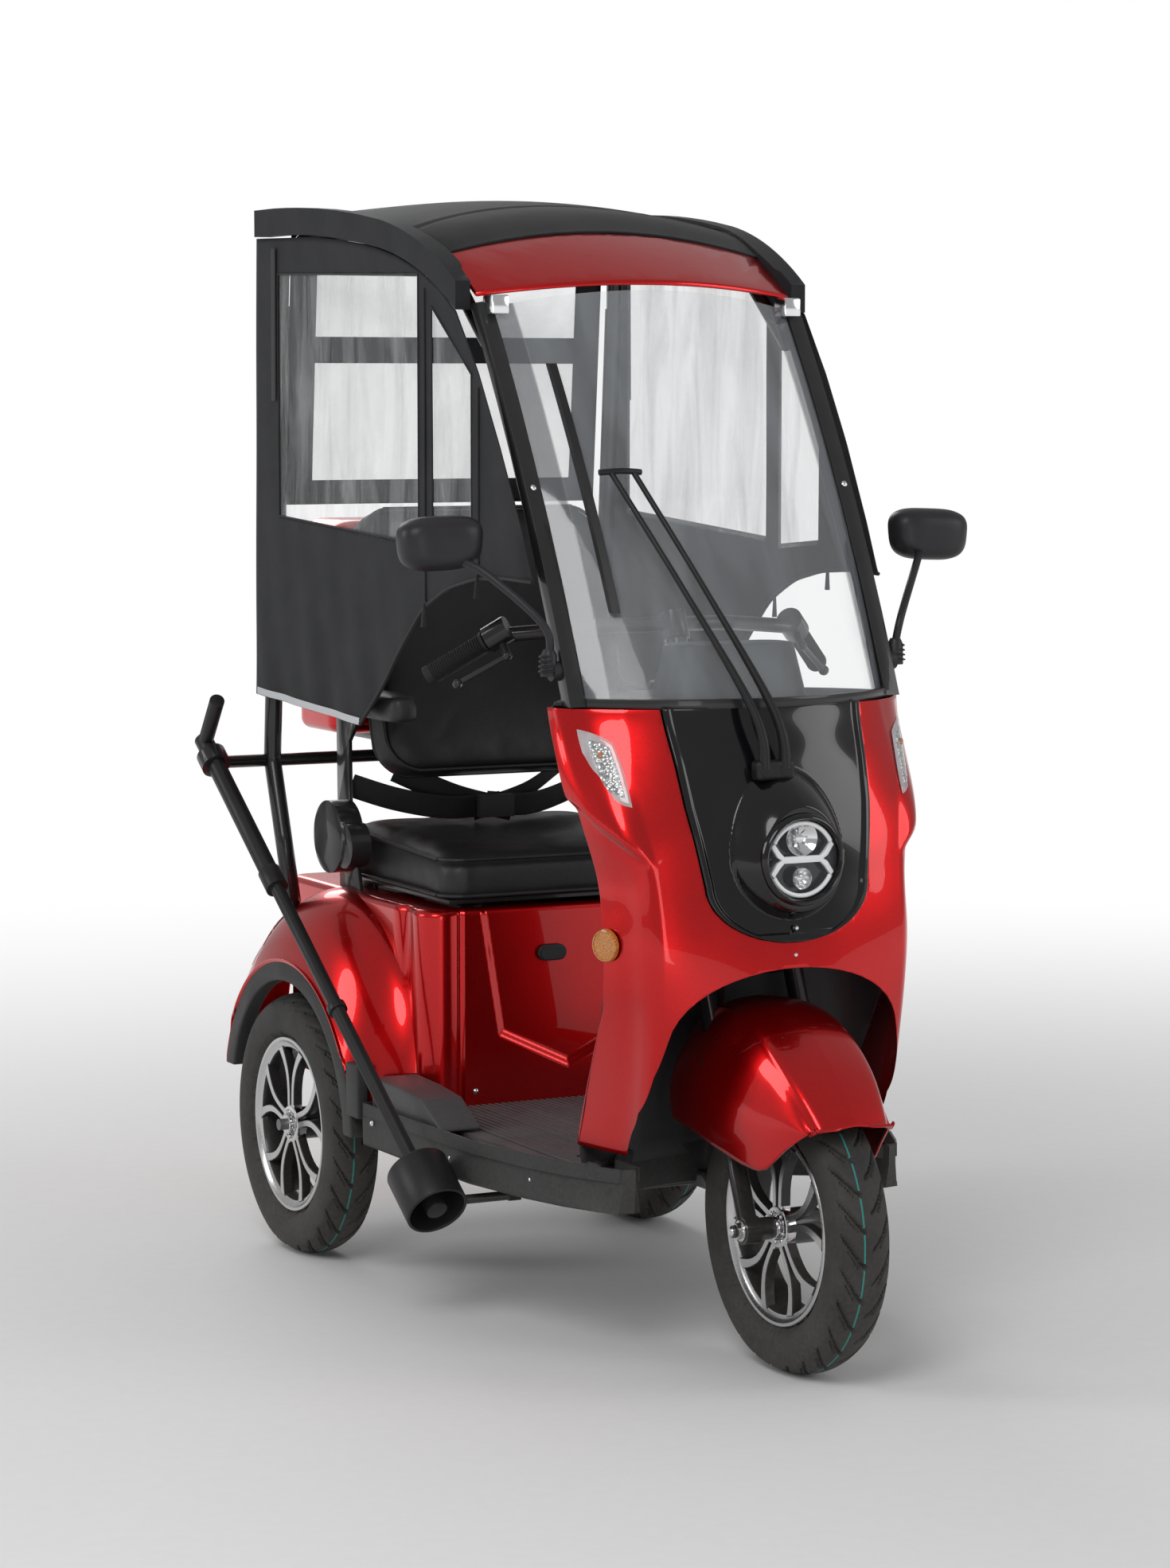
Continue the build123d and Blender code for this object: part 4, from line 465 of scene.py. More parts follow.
def painted():
    """The red metallic paint of the bodywork."""
    colour = settings().paint
    made, tree, ports = shader(
        "red_paint", {"Metallic": 0.88, "Specular IOR Level": 0.3, "Coat Weight": 0.6, "Coat Roughness": 0.02, "Coat IOR": 1.5}
    )
    flakes = placed(
        tree, "flakes",
        {"Paint": (*colour, 1), "Flake": (min(1, colour[0] * 1.9), colour[1] * 9 + 0.03, colour[2] * 8, 1), "Amount": 0.16},
    )
    toned(tree, ports, flakes["Colour"], 0.0, 0.0)
    grain = placed(tree, "grain", {"Scale": 500.0})
    roughened(tree, ports, grain["Mottle"], (0.3, 0.7), (0.26, 0.32))
    raised(tree, ports, flakes["Waviness"], 0.004, 0.12)
    return made


def piano():
    """Deep gloss black."""
    made, tree, ports = shader("gloss_panel", {"Specular IOR Level": 0.25, "Coat Weight": 0.45, "Coat Roughness": 0.015})
    toned(tree, ports, (0.004, 0.004, 0.005, 1), 0.004, 0.02)
    grain = placed(tree, "grain", {"Scale": 300.0})
    roughened(tree, ports, grain["Mottle"], (0.3, 0.7), (0.10, 0.16))
    flakes = placed(tree, "flakes")
    raised(tree, ports, flakes["Waviness"], 0.004, 0.15)
    return made


def leathered(name, colour, scale=420.0):
    """Upholstery leather with pebbled grain and slow wear."""
    made, tree, ports = shader(name, {"Specular IOR Level": 0.45})
    place = own_place(tree)
    pebble = add_node(tree, "TexVoronoi", {"Vector": place, "Scale": scale}, feature="SMOOTH_F1")
    crease = add_node(tree, "TexNoise", {"Vector": place, "Scale": 34.0, "Detail": 6.0, "Roughness": 0.7})
    height = add_node(
        tree, "Mix", {0: 0.3, 2: pebble.outputs["Distance"], 3: crease.outputs["Fac"]}, data_type="FLOAT"
    )
    toned(tree, ports, (*colour, 1), 0.05, 0.0, **{"Dust colour": (0.10, 0.10, 0.105, 1)})
    roughened(tree, ports, crease.outputs["Fac"], (0.3, 0.7), (0.42, 0.52))
    raised(tree, ports, height.outputs[0], 0.0006, 0.35)
    return made


def woven(name, colour, rough=0.75, scale=700.0, creases=0.5, sheen=0.25):
    """Coated cloth with its threads."""
    made, tree, ports = shader(name, {"Sheen Weight": sheen * 0.3, "Sheen Roughness": 0.4, "Specular IOR Level": 0.25})
    threads = placed(tree, "weave", {"Scale": scale, "Creases": creases})
    tone = placed(
        tree, "dust", {"Colour": (*colour, 1), "Dust colour": (0.14, 0.14, 0.15, 1), "Unevenness": 0.08, "Dust": 0.1}
    )
    shade = add_node(
        tree, "Mix", {0: threads["Threads"], 6: tone["Colour"], 7: (*[c * 1.6 for c in colour], 1)}, data_type="RGBA"
    )
    tree.links.new(shade.outputs[2], ports["Base Color"])
    roughened(tree, ports, threads["Threads"], (0.0, 1.0), (rough, rough * 0.85))
    raised(tree, ports, threads["Height"], 0.004, 0.35)
    return made


def hazy(name, colour, clear, haze_and_painted_sky, streaks, rough, band=None, wavy=0.0):
    """See-through plastic: a pale colour in streaks at low alpha, partly real haze and partly a painted reflection of
    the sky, and darker bands near the sides of a pane.
    """
    made, tree, ports = shader(name, {"IOR": 1.45, "Specular IOR Level": 0.8, "Coat Weight": 1.0, "Coat Roughness": 0.02})
    place = own_place(tree)
    stretch = add_node(tree, "Mapping", {"Vector": place, "Scale": streaks})
    streak = add_node(tree, "TexNoise", {"Vector": stretch.outputs[0], "Scale": 3.0, "Detail": 5.0, "Distortion": 0.8})
    # the pale colour shows through this alpha: partly real haze, partly a painted reflection of the sky
    alpha = add_node(tree, "MapRange", {0: streak.outputs["Fac"], 1: 0.42, 2: 0.72, 3: clear, 4: haze_and_painted_sky}).outputs[0]
    tone = placed(tree, "dust", {"Colour": (*colour, 1), "Unevenness": 0.02, "Dust": 0.0})["Colour"]
    if band:
        across = add_node(tree, "SeparateXYZ", {0: place}).outputs["X"]
        side = add_node(tree, "Math", {0: across}, operation="ABSOLUTE")
        mask = add_node(tree, "MapRange", {0: side.outputs[0], 1: band[0], 2: band[0] + 0.003, 3: 0.0, 4: 1.0})
        mixed = add_node(tree, "Mix", {0: mask.outputs[0], 2: alpha, 3: band[1]}, data_type="FLOAT")
        alpha = mixed.outputs[0]
        shade = add_node(tree, "Mix", {0: mask.outputs[0], 6: tone, 7: (0.16, 0.17, 0.19, 1)}, data_type="RGBA")
        tone = shade.outputs[2]
    tree.links.new(tone, ports["Base Color"])
    tree.links.new(alpha, ports["Alpha"])
    roughened(tree, ports, streak.outputs["Fac"], (0.4, 0.7), (rough, rough * 2.5))
    if wavy:
        folds = add_node(tree, "TexNoise", {"Vector": stretch.outputs[0], "Scale": 5.0, "Detail": 2.0, "Distortion": 1.5})
        raised(tree, ports, folds.outputs["Fac"], wavy)
    return made


def glassy(name, colour, rough, ribs):
    """A clear or tinted lens with fluting on its surface."""
    made, tree, ports = shader(name, {"Transmission Weight": 1.0, "IOR": 1.46, "Metallic": 0.0})
    place = own_place(tree)
    flute = add_node(tree, "TexVoronoi", {"Vector": place, "Scale": ribs}, feature="SMOOTH_F1")
    tone = add_node(
        tree, "Mix", {0: flute.outputs["Distance"], 6: (*colour, 1), 7: (*[c * 0.8 for c in colour], 1)}, data_type="RGBA"
    )
    tree.links.new(tone.outputs[2], ports["Base Color"])
    roughened(tree, ports, flute.outputs["Distance"], (0.0, 1.0), (rough, rough * 1.6))
    raised(tree, ports, flute.outputs["Distance"], 0.0006, 0.25)
    return made


def prismed(name, colour, cells, metallic=0.0, rough=0.25):
    """A reflector: small prisms behind a glossy face."""
    made, tree, ports = shader(name, {"Metallic": metallic, "Coat Weight": 1.0, "Coat Roughness": 0.02})
    place = own_place(tree)
    facet = add_node(tree, "TexVoronoi", {"Vector": place, "Scale": cells}, feature="F1")
    edge = add_node(tree, "MapRange", {0: facet.outputs["Distance"], 1: 0.1, 2: 0.7, 3: 1.0, 4: 0.0})
    tone = add_node(
        tree, "Mix", {0: edge.outputs[0], 6: (*[c * 0.35 for c in colour], 1), 7: (*colour, 1)}, data_type="RGBA"
    )
    tree.links.new(tone.outputs[2], ports["Base Color"])
    roughened(tree, ports, edge.outputs[0], (0.0, 1.0), (rough, rough * 0.5))
    raised(tree, ports, facet.outputs["Distance"], 0.002, 0.6)
    return made


def ringed(name, colour, rough):
    """Bright metal with fine turning marks."""
    made, tree, ports = shader(name, {"Metallic": 1.0})
    place = own_place(tree)
    lines = add_node(tree, "TexNoise", {"Vector": place, "Scale": 1100.0, "Detail": 2.0})
    toned(tree, ports, (*colour, 1), 0.1, 0.12)
    roughened(tree, ports, lines.outputs["Fac"], (0.3, 0.7), (rough * 0.8, rough * 1.3))
    raised(tree, ports, lines.outputs["Fac"], 0.0001, 0.3)
    return made


def matted():
    """The floor mat: purple-grey rubber whose ribs run from the nose to the seat."""
    made, tree, ports = shader("mat_rubber", {})
    place = own_place(tree)
    toned(tree, ports, (0.075, 0.068, 0.080, 1), 0.12, 0.35)
    grain = placed(tree, "grain", {"Scale": 600.0})
    roughened(tree, ports, grain["Mottle"], (0.3, 0.7), (0.55, 0.75))
    lines = add_node(tree, "TexWave", {"Vector": place, "Scale": 45.0}, bands_direction="X")
    height = add_node(tree, "Mix", {0: 0.25, 2: lines.outputs["Fac"], 3: grain["Height"]}, data_type="FLOAT")
    raised(tree, ports, height.outputs[0], 0.0012, 0.6)
    return made


FINISH = {}


def mix_finishes():
    """Makes every material and keeps it by its name."""
    FINISH.update(
        paint=painted(),
        gloss=piano(),
        trim=moulded("trim_plastic", (0.022, 0.023, 0.025), 0.52, depth=0.0002, dust=0.25),
        crest=moulded("crest_plastic", (0.060, 0.062, 0.068), 0.5, depth=0.0002, dust=0.3),
        shield=moulded("shield_plastic", (0.035, 0.036, 0.040), 0.5, dust=0.12),
        coated=moulded("powder_coat", (0.012, 0.012, 0.013), 0.34, scale=450, depth=0.0001, coat=0.4),
        pole=moulded("pole_plastic", (0.011, 0.011, 0.012), 0.42, depth=0.0002, dust=0.05),
        cast=moulded("cast_alloy", (0.20, 0.20, 0.21), 0.5, scale=300, depth=0.0004, metallic=0.8, dust=0.4),
        spring=moulded("spring_steel", (0.30, 0.30, 0.31), 0.35, metallic=0.9, dust=0.3),
        battery=moulded("battery_case", (0.05, 0.052, 0.056), 0.6, dust=0.1),
        rubber=moulded("tyre_rubber", (0.017, 0.017, 0.018), 0.62, scale=700, depth=0.0003, dust=0.18, uneven=0.5),
        stripe=moulded("tyre_stripe", (0.02, 0.22, 0.20), 0.6, dust=0.1),
        grip=moulded("grip_rubber", (0.014, 0.014, 0.015), 0.58, scale=1200, depth=0.0003, dust=0.0),
        blade=moulded("wiper_plastic", (0.010, 0.010, 0.011), 0.4, dust=0.0),
        lever=moulded("lever_coat", (0.016, 0.016, 0.018), 0.33, dust=0.0, coat=0.3),
        mirror_case=moulded("mirror_case", (0.020, 0.020, 0.023), 0.40, scale=1300, depth=0.00012, dust=0.0),
        bright=ringed("bright_metal", (0.72, 0.72, 0.73), 0.16),
        machined=ringed("machined_alloy", (0.62, 0.62, 0.63), 0.24),
        looking=ringed("mirror_glass", (0.85, 0.86, 0.88), 0.02),
        pocket=moulded("rim_pocket", (0.012, 0.012, 0.013), 0.38, scale=400, coat=0.4, dust=0.15),
        leather=leathered("seat_leather", settings().leather),
        pad=leathered("arm_pad", (0.014, 0.014, 0.015), 900.0),
        roof=woven("roof_cloth", settings().canopy, 0.72, 850, 0.15),
        curtain=woven("curtain_cloth", [c * 1.15 for c in settings().canopy], 0.70, 700, 0.8),
        hem=woven("reflective_hem", (0.50, 0.51, 0.53), 0.35, 900, 0.3),
        piping=woven("piping", (0.014, 0.014, 0.016), 0.5, 1200, 0.1),
        webbing=woven("belt_webbing", (0.013, 0.013, 0.014), 0.62, 1100, 0.1),
        # the pale colour of the screen and the window films at low alpha is partly real haze, partly a painted
        # reflection of the sky
        screen=hazy("screen_plastic", (0.70, 0.74, 0.78), 0.10, 0.20, (3.0, 0.6, 0.5), 0.05, band=(0.212, 0.55)),
        vinyl=hazy("vinyl_film", (0.60, 0.62, 0.63), 0.10, 0.30, (1.0, 5.0, 1.0), 0.06, wavy=0.01),
        lens=glassy("lamp_lens", (0.95, 0.96, 0.97), 0.02, 12.0),
        signal=prismed("signal_optics", (0.80, 0.81, 0.82), 230.0, metallic=0.6, rough=0.18),
        silver=ringed("lamp_silver", (0.78, 0.79, 0.80), 0.12),
        white=moulded("lamp_white", (0.85, 0.86, 0.87), 0.25, dust=0.0, coat=0.6),
        cover=hazy("lamp_cover_film", (0.5, 0.52, 0.54), 0.03, 0.06, (1.0, 1.0, 1.0), 0.02),
        clear_rim=hazy("signal_cover", (0.60, 0.61, 0.63), 0.60, 0.80, (9.0, 9.0, 9.0), 0.05),
        amber_bulb=prismed("signal_bulb", (0.80, 0.30, 0.12), 400.0),
        amber=prismed("amber_reflector", (0.95, 0.32, 0.01), 700.0),
        red_lens=prismed("tail_red", (0.62, 0.01, 0.015), 240.0),
    )


NODE_FINISH = {
    # material of each CAD node that shows as it is, or behind its detailed pieces
    "paint": ("front_cowl", "rear_body", "front_fender", "roof_visor", "storage_box", "storage_lid"),
    "gloss": ("nose_panel",),
    "trim": ("floor_tub", "arch_trims", "dashboard", "windscreen_frame", "roof_lips", "charging_cap", "recliner_brackets"),
    "shield": ("inner_shield",),
    "coated": ("chassis_frame", "canopy_frame", "storage_rack", "front_fork", "seat_base", "handlebar"),
    "pole": ("support_pole", "pole_cup", "pole_brackets"),
    "cast": ("rear_axle",),
    "spring": ("rear_shocks",),
    "battery": ("battery_pack",),
    "rubber": ("tyre_front", "tyre_left", "tyre_right"),
    "pocket": ("rim_front", "rim_left", "rim_right"),
    "grip": ("grips",),
    "blade": ("wiper_arms", "wiper_blade"),
    "lever": ("brake_levers",),
    "mirror_case": ("mirror_left", "mirror_right"),
    "leather": ("seat_cushion", "seat_back"),
    "pad": ("armrest_left", "armrest_right"),
    "roof": ("roof_cover",),
    "curtain": ("curtain_left", "curtain_right", "rear_curtain"),
    "webbing": ("seat_belt",),
    "screen": ("windscreen",),
    "vinyl": ("clear_windows",),
    "lens": ("headlamp_lens",),
    "signal": ("front_signals",),
    "silver": ("headlamp",),
    "amber": ("side_reflectors",),
    "red_lens": ("tail_lamps",),
}


def dress_nodes():
    """Gives each CAD node its material."""
    FINISH["mat"] = matted()
    for kind, nodes in {**NODE_FINISH, "mat": ("floor_mat",)}.items():
        for name in nodes:
            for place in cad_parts[name].material_slots:
                place.material = FINISH[kind]


class MakeStage(bpy.types.Operator):
    """Makes the materials, the camera, the lamps and the pale floor"""

    bl_idname = "tricycle.stage"
    bl_label = "Stage"

    def execute(self, context):
        mix_finishes()
        dress_nodes()
        scene = context.scene
        scene.view_settings.view_transform = "Standard"
        camera = bpy.data.objects.new("camera", bpy.data.cameras.new("camera"))
        scene.collection.objects.link(camera)
        camera.data.sensor_fit = "VERTICAL"
        camera.data.sensor_height = 36.0
        camera.data.lens = 93.1
        camera.data.clip_end = 200.0
        camera.location = (-2.799, -5.475, 1.385)
        camera.rotation_euler = (radians(90.0 - 5.62), 0.0, radians(-26.82))
        scene.camera = camera
        for name, place, aim, size, power in (
            ("key", (-3.2, -3.6, 4.2), (0, -0.2, 0.8), 2.6, 95.0),
            ("side", (-4.6, 1.6, 2.4), (0, 0.2, 0.7), 2.0, 45.0),
            ("fill", (4.2, -3.6, 2.6), (0, 0, 0.8), 2.6, 45.0),
            ("back", (0.6, 4.6, 3.2), (0, 0.2, 1.0), 2.4, 60.0),
            ("strip", (-1.0, -5.2, 0.9), (0, -0.5, 0.6), 0.9, 16.0),
        ):
            lamp = bpy.data.lights.new(name, "AREA")
            lamp.shape = "DISK" if name != "strip" else "RECTANGLE"
            lamp.size = size
            if name == "strip":
                lamp.size_y = 2.2
            lamp.energy = power
            holder = bpy.data.objects.new(name, lamp)
            holder.location = place
            holder.rotation_euler = (Vector(aim) - Vector(place)).to_track_quat("-Z", "Y").to_euler()
            scene.collection.objects.link(holder)

        world = bpy.data.worlds.new("studio")
        scene.world = world
        world.use_nodes = True
        tree = world.node_tree
        ground = tree.nodes["Background"]
        path = add_node(tree, "LightPath").outputs
        seen = add_node(tree, "Math", {0: path["Is Camera Ray"], 1: path["Is Transmission Ray"]}, operation="MAXIMUM")
        strength = add_node(tree, "Mix", {0: seen.outputs[0], 2: 0.42, 3: 1.0}, data_type="FLOAT")
        ground.inputs["Color"].default_value = (1.0, 1.0, 1.0, 1.0)
        tree.links.new(strength.outputs[0], ground.inputs["Strength"])

        mesh = bmesh.new()
        bmesh.ops.create_grid(mesh, x_segments=8, y_segments=8, size=30.0)
        data = bpy.data.meshes.new("floor")
        mesh.to_mesh(data)
        mesh.free()
        floor = bpy.data.objects.new("floor", data)
        scene.collection.objects.link(floor)
        made, tree, ports = shader("pale_floor", {"Roughness": 0.9, "Specular IOR Level": 0.1})
        place = own_place(tree)
        speck = add_node(tree, "TexNoise", {"Vector": place, "Scale": 40.0, "Detail": 4.0})
        tone = add_node(
            tree, "Mix", {0: speck.outputs["Fac"], 6: (0.80, 0.80, 0.80, 1), 7: (0.84, 0.84, 0.84, 1)}, data_type="RGBA"
        )
        tree.links.new(tone.outputs[2], ports["Base Color"])
        away = add_node(tree, "VectorMath", {0: place}, operation="LENGTH")
        edge = add_node(tree, "MapRange", {0: away.outputs["Value"], 1: 1.3, 2: 5.0}, interpolation_type="SMOOTHSTEP")
        glow = add_node(tree, "Emission", {"Color": (1, 1, 1, 1), "Strength": 1.0})
        path = add_node(tree, "LightPath").outputs
        shown = add_node(tree, "Math", {0: path["Is Camera Ray"], 1: path["Is Glossy Ray"]}, operation="MAXIMUM")
        both = add_node(tree, "Math", {0: shown.outputs[0], 1: path["Is Transmission Ray"]}, operation="MAXIMUM")
        share = add_node(tree, "Math", {0: edge.outputs[0], 1: both.outputs[0]}, operation="MULTIPLY")
        plain_look = tree.nodes["Principled BSDF"].outputs[0]
        mix = add_node(tree, "MixShader", {0: share.outputs[0], 1: plain_look, 2: glow.outputs[0]})
        tree.links.new(mix.outputs[0], tree.nodes["Material Output"].inputs["Surface"])
        data.materials.append(made)
        return {"FINISHED"}


# Wheels
TYRE_PROFILE = (
    # distance from the middle, radius, from one bead to the other
    (-0.0270, 0.1275), (-0.0285, 0.1405), (-0.0310, 0.1440), (-0.0375, 0.1490), (-0.0385, 0.1515), (-0.0400, 0.1560),
    (-0.0417, 0.1680), (-0.0420, 0.1760), (-0.0414, 0.1840), (-0.0402, 0.1900), (-0.0385, 0.1935),
)
TREAD_EDGE = 0.0372
TREAD_STEPS = 30
TREAD_COLUMNS = 560
GROOVES = 26
STRIPE_X = 0.008


def crown_radius(x):
    """The radius of the tread at a distance from its middle."""
    return 0.2085 - 0.0125 * (abs(x) / TREAD_EDGE) ** 2.2


def groove(turn, x):
    """How deep the tread is cut, from 0 to 1: bent slashes from near the middle to both shoulders."""
    side = 1 if x > 0 else -1
    reach = abs(x) / TREAD_EDGE
    phase = turn * GROOVES + (0.5 if side > 0 else 0.0) + 0.85 * reach**1.5 * 1.2
    near = abs(phase - round(phase))
    long_cut = (1 - ease(0.045, 0.075, near)) * ease(0.10, 0.16, reach) * (1 - ease(0.96, 1.0, reach) * 0.3)
    phase = turn * GROOVES + (0.0 if side > 0 else 0.5) + 1.3 * reach
    near = abs(phase - round(phase))
    short_cut = (1 - ease(0.030, 0.055, near)) * ease(0.42, 0.48, reach) * (1 - ease(0.80, 0.86, reach))
    return max(long_cut, 0.8 * short_cut)


SPOKE_INNER = ((0.020, 6.0), (0.045, 3.5), (0.075, 4.5), (0.100, 9.5), (0.126, 15.5))
SPOKE_OUTER = ((0.020, 35.0), (0.034, 22.0), (0.055, 14.0), (0.080, 13.5), (0.104, 18.0), (0.126, 23.5))


def spoke_outline(side, middle):
    """One spoke of a split pair, as points in the wheel's plane."""
    edge = [along(SPOKE_INNER, n / 10) for n in range(11)] + [along(SPOKE_OUTER, 1 - n / 10) for n in range(11)]
    return [arc(r, radians(middle + side * angle)) for r, angle in edge]


def make_tyre(name, body, node, spot, out):
    """A tyre with a cut tread and a thin coloured line round it."""
    mesh = bmesh.new()
    edge = [(x, crown_radius(x)) for x in (TREAD_EDGE * (2 * n / TREAD_STEPS - 1) for n in range(TREAD_STEPS + 1))]
    profile = list(TYRE_PROFILE) + edge + [(-x, r) for x, r in reversed(TYRE_PROFILE)]
    depth = settings().tread_depth

    def place(u, v):
        x, radius = profile[round(v * (len(profile) - 1))]
        if abs(x) < TREAD_EDGE + 0.0001:
            radius -= depth * groove(u, x)
        y, z = arc(radius, 2 * pi * u)
        return spot + Vector((out * x, y, z))

    skin(mesh, TREAD_COLUMNS, len(profile) - 1, place)
    for face in mesh.faces:
        middle = face.calc_center_median() - spot
        if abs(out * middle.x - STRIPE_X) < 0.0009 and hypot(middle.y, middle.z) > crown_radius(STRIPE_X) - 0.0012:
            face.material_index = 1
    return finished(mesh, name, body, [FINISH["rubber"], FINISH["stripe"]], [node], smooth=50)


def make_rim(name, body, node, spot, out):
    """An alloy rim: black barrel, bright lip, split spokes with turned faces, hub and bolts."""
    mesh = bmesh.new()
    barrel = [
        (0.1265, -0.031), (0.130, -0.0335), (0.1385, -0.0335), (0.1400, -0.0320), (0.1400, -0.0290), (0.1268, -0.0265),
        (0.1268, 0.0265), (0.1400, 0.0290), (0.1400, 0.0322), (0.1388, 0.0335), (0.1345, 0.0332), (0.1312, 0.0300),
        (0.1290, 0.0285), (0.1235, 0.0270), (0.1215, 0.0240), (0.1200, 0.0), (0.1215, -0.0270), (0.1265, -0.031),
    ]
    turned(mesh, barrel, (0, 0, 0), (1, 0, 0), 96)
    hub = [
        (0.0, -0.036), (0.022, -0.036), (0.026, -0.030), (0.026, 0.012), (0.030, 0.020), (0.030, 0.0285), (0.0285, 0.030),
        (0.0235, 0.0305), (0.0230, 0.027), (0.017, 0.027), (0.0165, 0.036), (0.0150, 0.0378), (0.0, 0.0378),
    ]
    turned(mesh, hub, (0, 0, 0), (1, 0, 0), 48)
    for number in range(5):
        for side in (-1, 1):
            outline = spoke_outline(side, 72 * number + 90)
            spoke = bmesh.new()
            plate(spoke, [(0.0145, y, z) for y, z in outline], (0.0145, 0, 0))
            bmesh.ops.recalc_face_normals(spoke, faces=spoke.faces[:])
            rim = [e for e in spoke.edges if all(v.co.x > 0.028 for v in e.verts)]
            bmesh.ops.bevel(
                spoke, geom=rim, offset=0.0011, affect="EDGES", segments=1, profile=0.5, material=-1, clamp_overlap=True
            )
            data = bpy.data.meshes.new("spoke")
            spoke.to_mesh(data)
            spoke.free()
            mesh.from_mesh(data)
            bpy.data.meshes.remove(data)
        y, z = arc(0.0205, radians(72 * number + 54))
        turned(mesh, [(0.0, 0.0325), (0.0030, 0.0325), (0.0036, 0.031), (0.0036, 0.026)], (0, y, z), (1, 0, 0), 6)
    merged(mesh)
    for face in mesh.faces:
        middle, normal = face.calc_center_median(), face.normal
        radius = hypot(middle.y, middle.z)
        if (normal.x > 0.75 and middle.x > 0.026 and radius > 0.031) or (radius > 0.1285 and abs(middle.x) > 0.0285):
            face.material_index = 1
        elif radius < 0.031 and middle.x > 0.0:
            face.material_index = 2
    turn = Matrix.Identity(4) if out > 0 else Matrix.Rotation(pi, 4, "Z")
    bmesh.ops.transform(mesh, matrix=Matrix.Translation(spot) @ turn, verts=mesh.verts[:])
    finishes = [FINISH["pocket"], FINISH["machined"], FINISH["bright"]]
    return finished(mesh, name, body, finishes, [node], smooth=35, closed=False)


class MakeWheels(bpy.types.Operator):
    """Makes the three tyres and alloy rims"""

    bl_idname = "tricycle.wheels"
    bl_label = "Wheels"

    def execute(self, context):
        for end, spot, out in (
            ("front", FRONT_HUB, -1),
            ("left", Vector((0.299, REAR_HUB_Y, HUB_Z)), 1),
            ("right", Vector((-0.299, REAR_HUB_Y, HUB_Z)), -1),
        ):
            make_tyre(f"tread_{end}", f"{end}_wheel", f"tyre_{end}", spot, out)
            make_rim(f"alloy_{end}", f"{end}_wheel", f"rim_{end}", spot, out)
        mesh = bmesh.new()
        for side in (-1, 1):
            turned(
                mesh,
                [(0.0, 0.104), (0.005, 0.104), (0.0065, 0.102), (0.0065, 0.096), (0.0115, 0.0955), (0.0115, 0.0885),
                 (0.015, 0.088), (0.015, 0.0865), (0.0, 0.0865)],
                FRONT_HUB, (side, 0, 0), 24,
            )
            turned(
                mesh, [(0.0, 0.0595), (0.0135, 0.0595), (0.0140, 0.058), (0.0140, 0.041), (0.0200, 0.0400), (0.0, 0.0395)],
                FRONT_HUB, (side, 0, 0), 32,
            )
        finished(mesh, "axle_nuts", "steering", FINISH["bright"], smooth=30)
        return {"FINISHED"}


# Front bodywork
COWL_ROWS = (
    # z, nose y, corner x and y, side x and y, rear x and y
    (0.304, -0.575, 0.195, -0.518, 0.208, -0.468, 0.230, -0.362),
    (0.375, -0.592, 0.193, -0.534, 0.209, -0.482, 0.228, -0.382),
    (0.450, -0.600, 0.193, -0.550, 0.212, -0.497, 0.231, -0.418),
    (0.530, -0.597, 0.195, -0.560, 0.218, -0.510, 0.236, -0.460),
    (0.609, -0.590, 0.197, -0.562, 0.222, -0.514, 0.239, -0.468),
    (0.690, -0.577, 0.200, -0.550, 0.222, -0.500, 0.236, -0.446),
    (0.768, -0.566, 0.212, -0.528, 0.246, -0.480, 0.256, -0.438),
    (0.850, -0.548, 0.220, -0.492, 0.263, -0.440, 0.271, -0.410),
    (0.934, -0.520, 0.215, -0.462, 0.276, -0.402, 0.281, -0.377),
)
COWL_FOOT, COWL_HEIGHT = 0.304, 0.630
NOSE_FOOT, NOSE_ROUND = 0.609, 0.690
PANEL_FOOT, PANEL_HEIGHT = 0.6105, 0.3255
LAMP_Z = 0.728
LAMP = Vector((0.0, -0.612, LAMP_Z))
NOSE_SIDE = ((0.609, 0.000), (0.614, 0.050), (0.632, 0.095), (0.660, 0.120), (0.690, 0.131), (0.800, 0.149), (0.940, 0.161))


def cowl_plan(u, z):
    """A point on the cowl's outer form: u goes from -1 at the right rear edge over the nose to 1 at the left."""
    _, nose, cx, cy, sx, sy, rx, ry = at_level(COWL_ROWS, z)
    drop = cy - nose
    half = (
        (0.0, nose), (0.35 * cx, nose + 0.11 * drop), (0.70 * cx, nose + 0.48 * drop), (0.92 * cx, cy - 0.17 * drop),
        (cx + 0.003, cy + 0.003), ((cx + sx) / 2 + 0.003, (cy + sy) / 2 - 0.003), (sx, sy),
        ((sx + rx) / 2 + 0.001, (sy + ry) / 2), (rx, ry),
    )
    x, y = along(half, abs(u))
    return x, y


def cowl_point(u, z, lift=0.0):
    """The same with the shoulder ridge under the signals, and lifted off the surface."""
    x, y = cowl_plan(u, z)
    xa, ya = cowl_plan(min(abs(u) + 0.01, 1.0), z)
    xb, yb = cowl_plan(max(abs(u) - 0.01, 0.0), z)
    run = hypot(xa - xb, ya - yb) or 1.0
    out_x, out_y = -(yb - ya) / run, (xb - xa) / run
    place = ease(0.40, 0.62, abs(u))
    crest = 0.738 + 0.075 * ease(0.42, 1.0, abs(u))
    swell = ease(crest + 0.13, crest, z) if z > crest else 1 - ease(0.0, 0.022, crest - z)
    lip = 0.004 * ease(0.55, 0.50, z) * ease(0.5, 0.8, abs(u))
    push = lift + 0.013 * place * swell - lip
    side = 1 if u >= 0 else -1
    return Vector((side * (x + out_x * push), y + out_y * push, z))


def cowl_share(x, z):
    """Where on the cowl's plan a distance from the middle is."""
    low, high = 0.0, 0.86
    for _ in range(24):
        middle = (low + high) / 2
        if cowl_plan(middle, z)[0] < abs(x):
            low = middle
        else:
            high = middle
    return low if x >= 0 else -low


def cowl_front(x, z, lift=0.0):
    """The point on the cowl's front that is seen at x and z."""
    point = cowl_point(cowl_share(x, z), z, lift)
    return Vector((x, point.y, z))


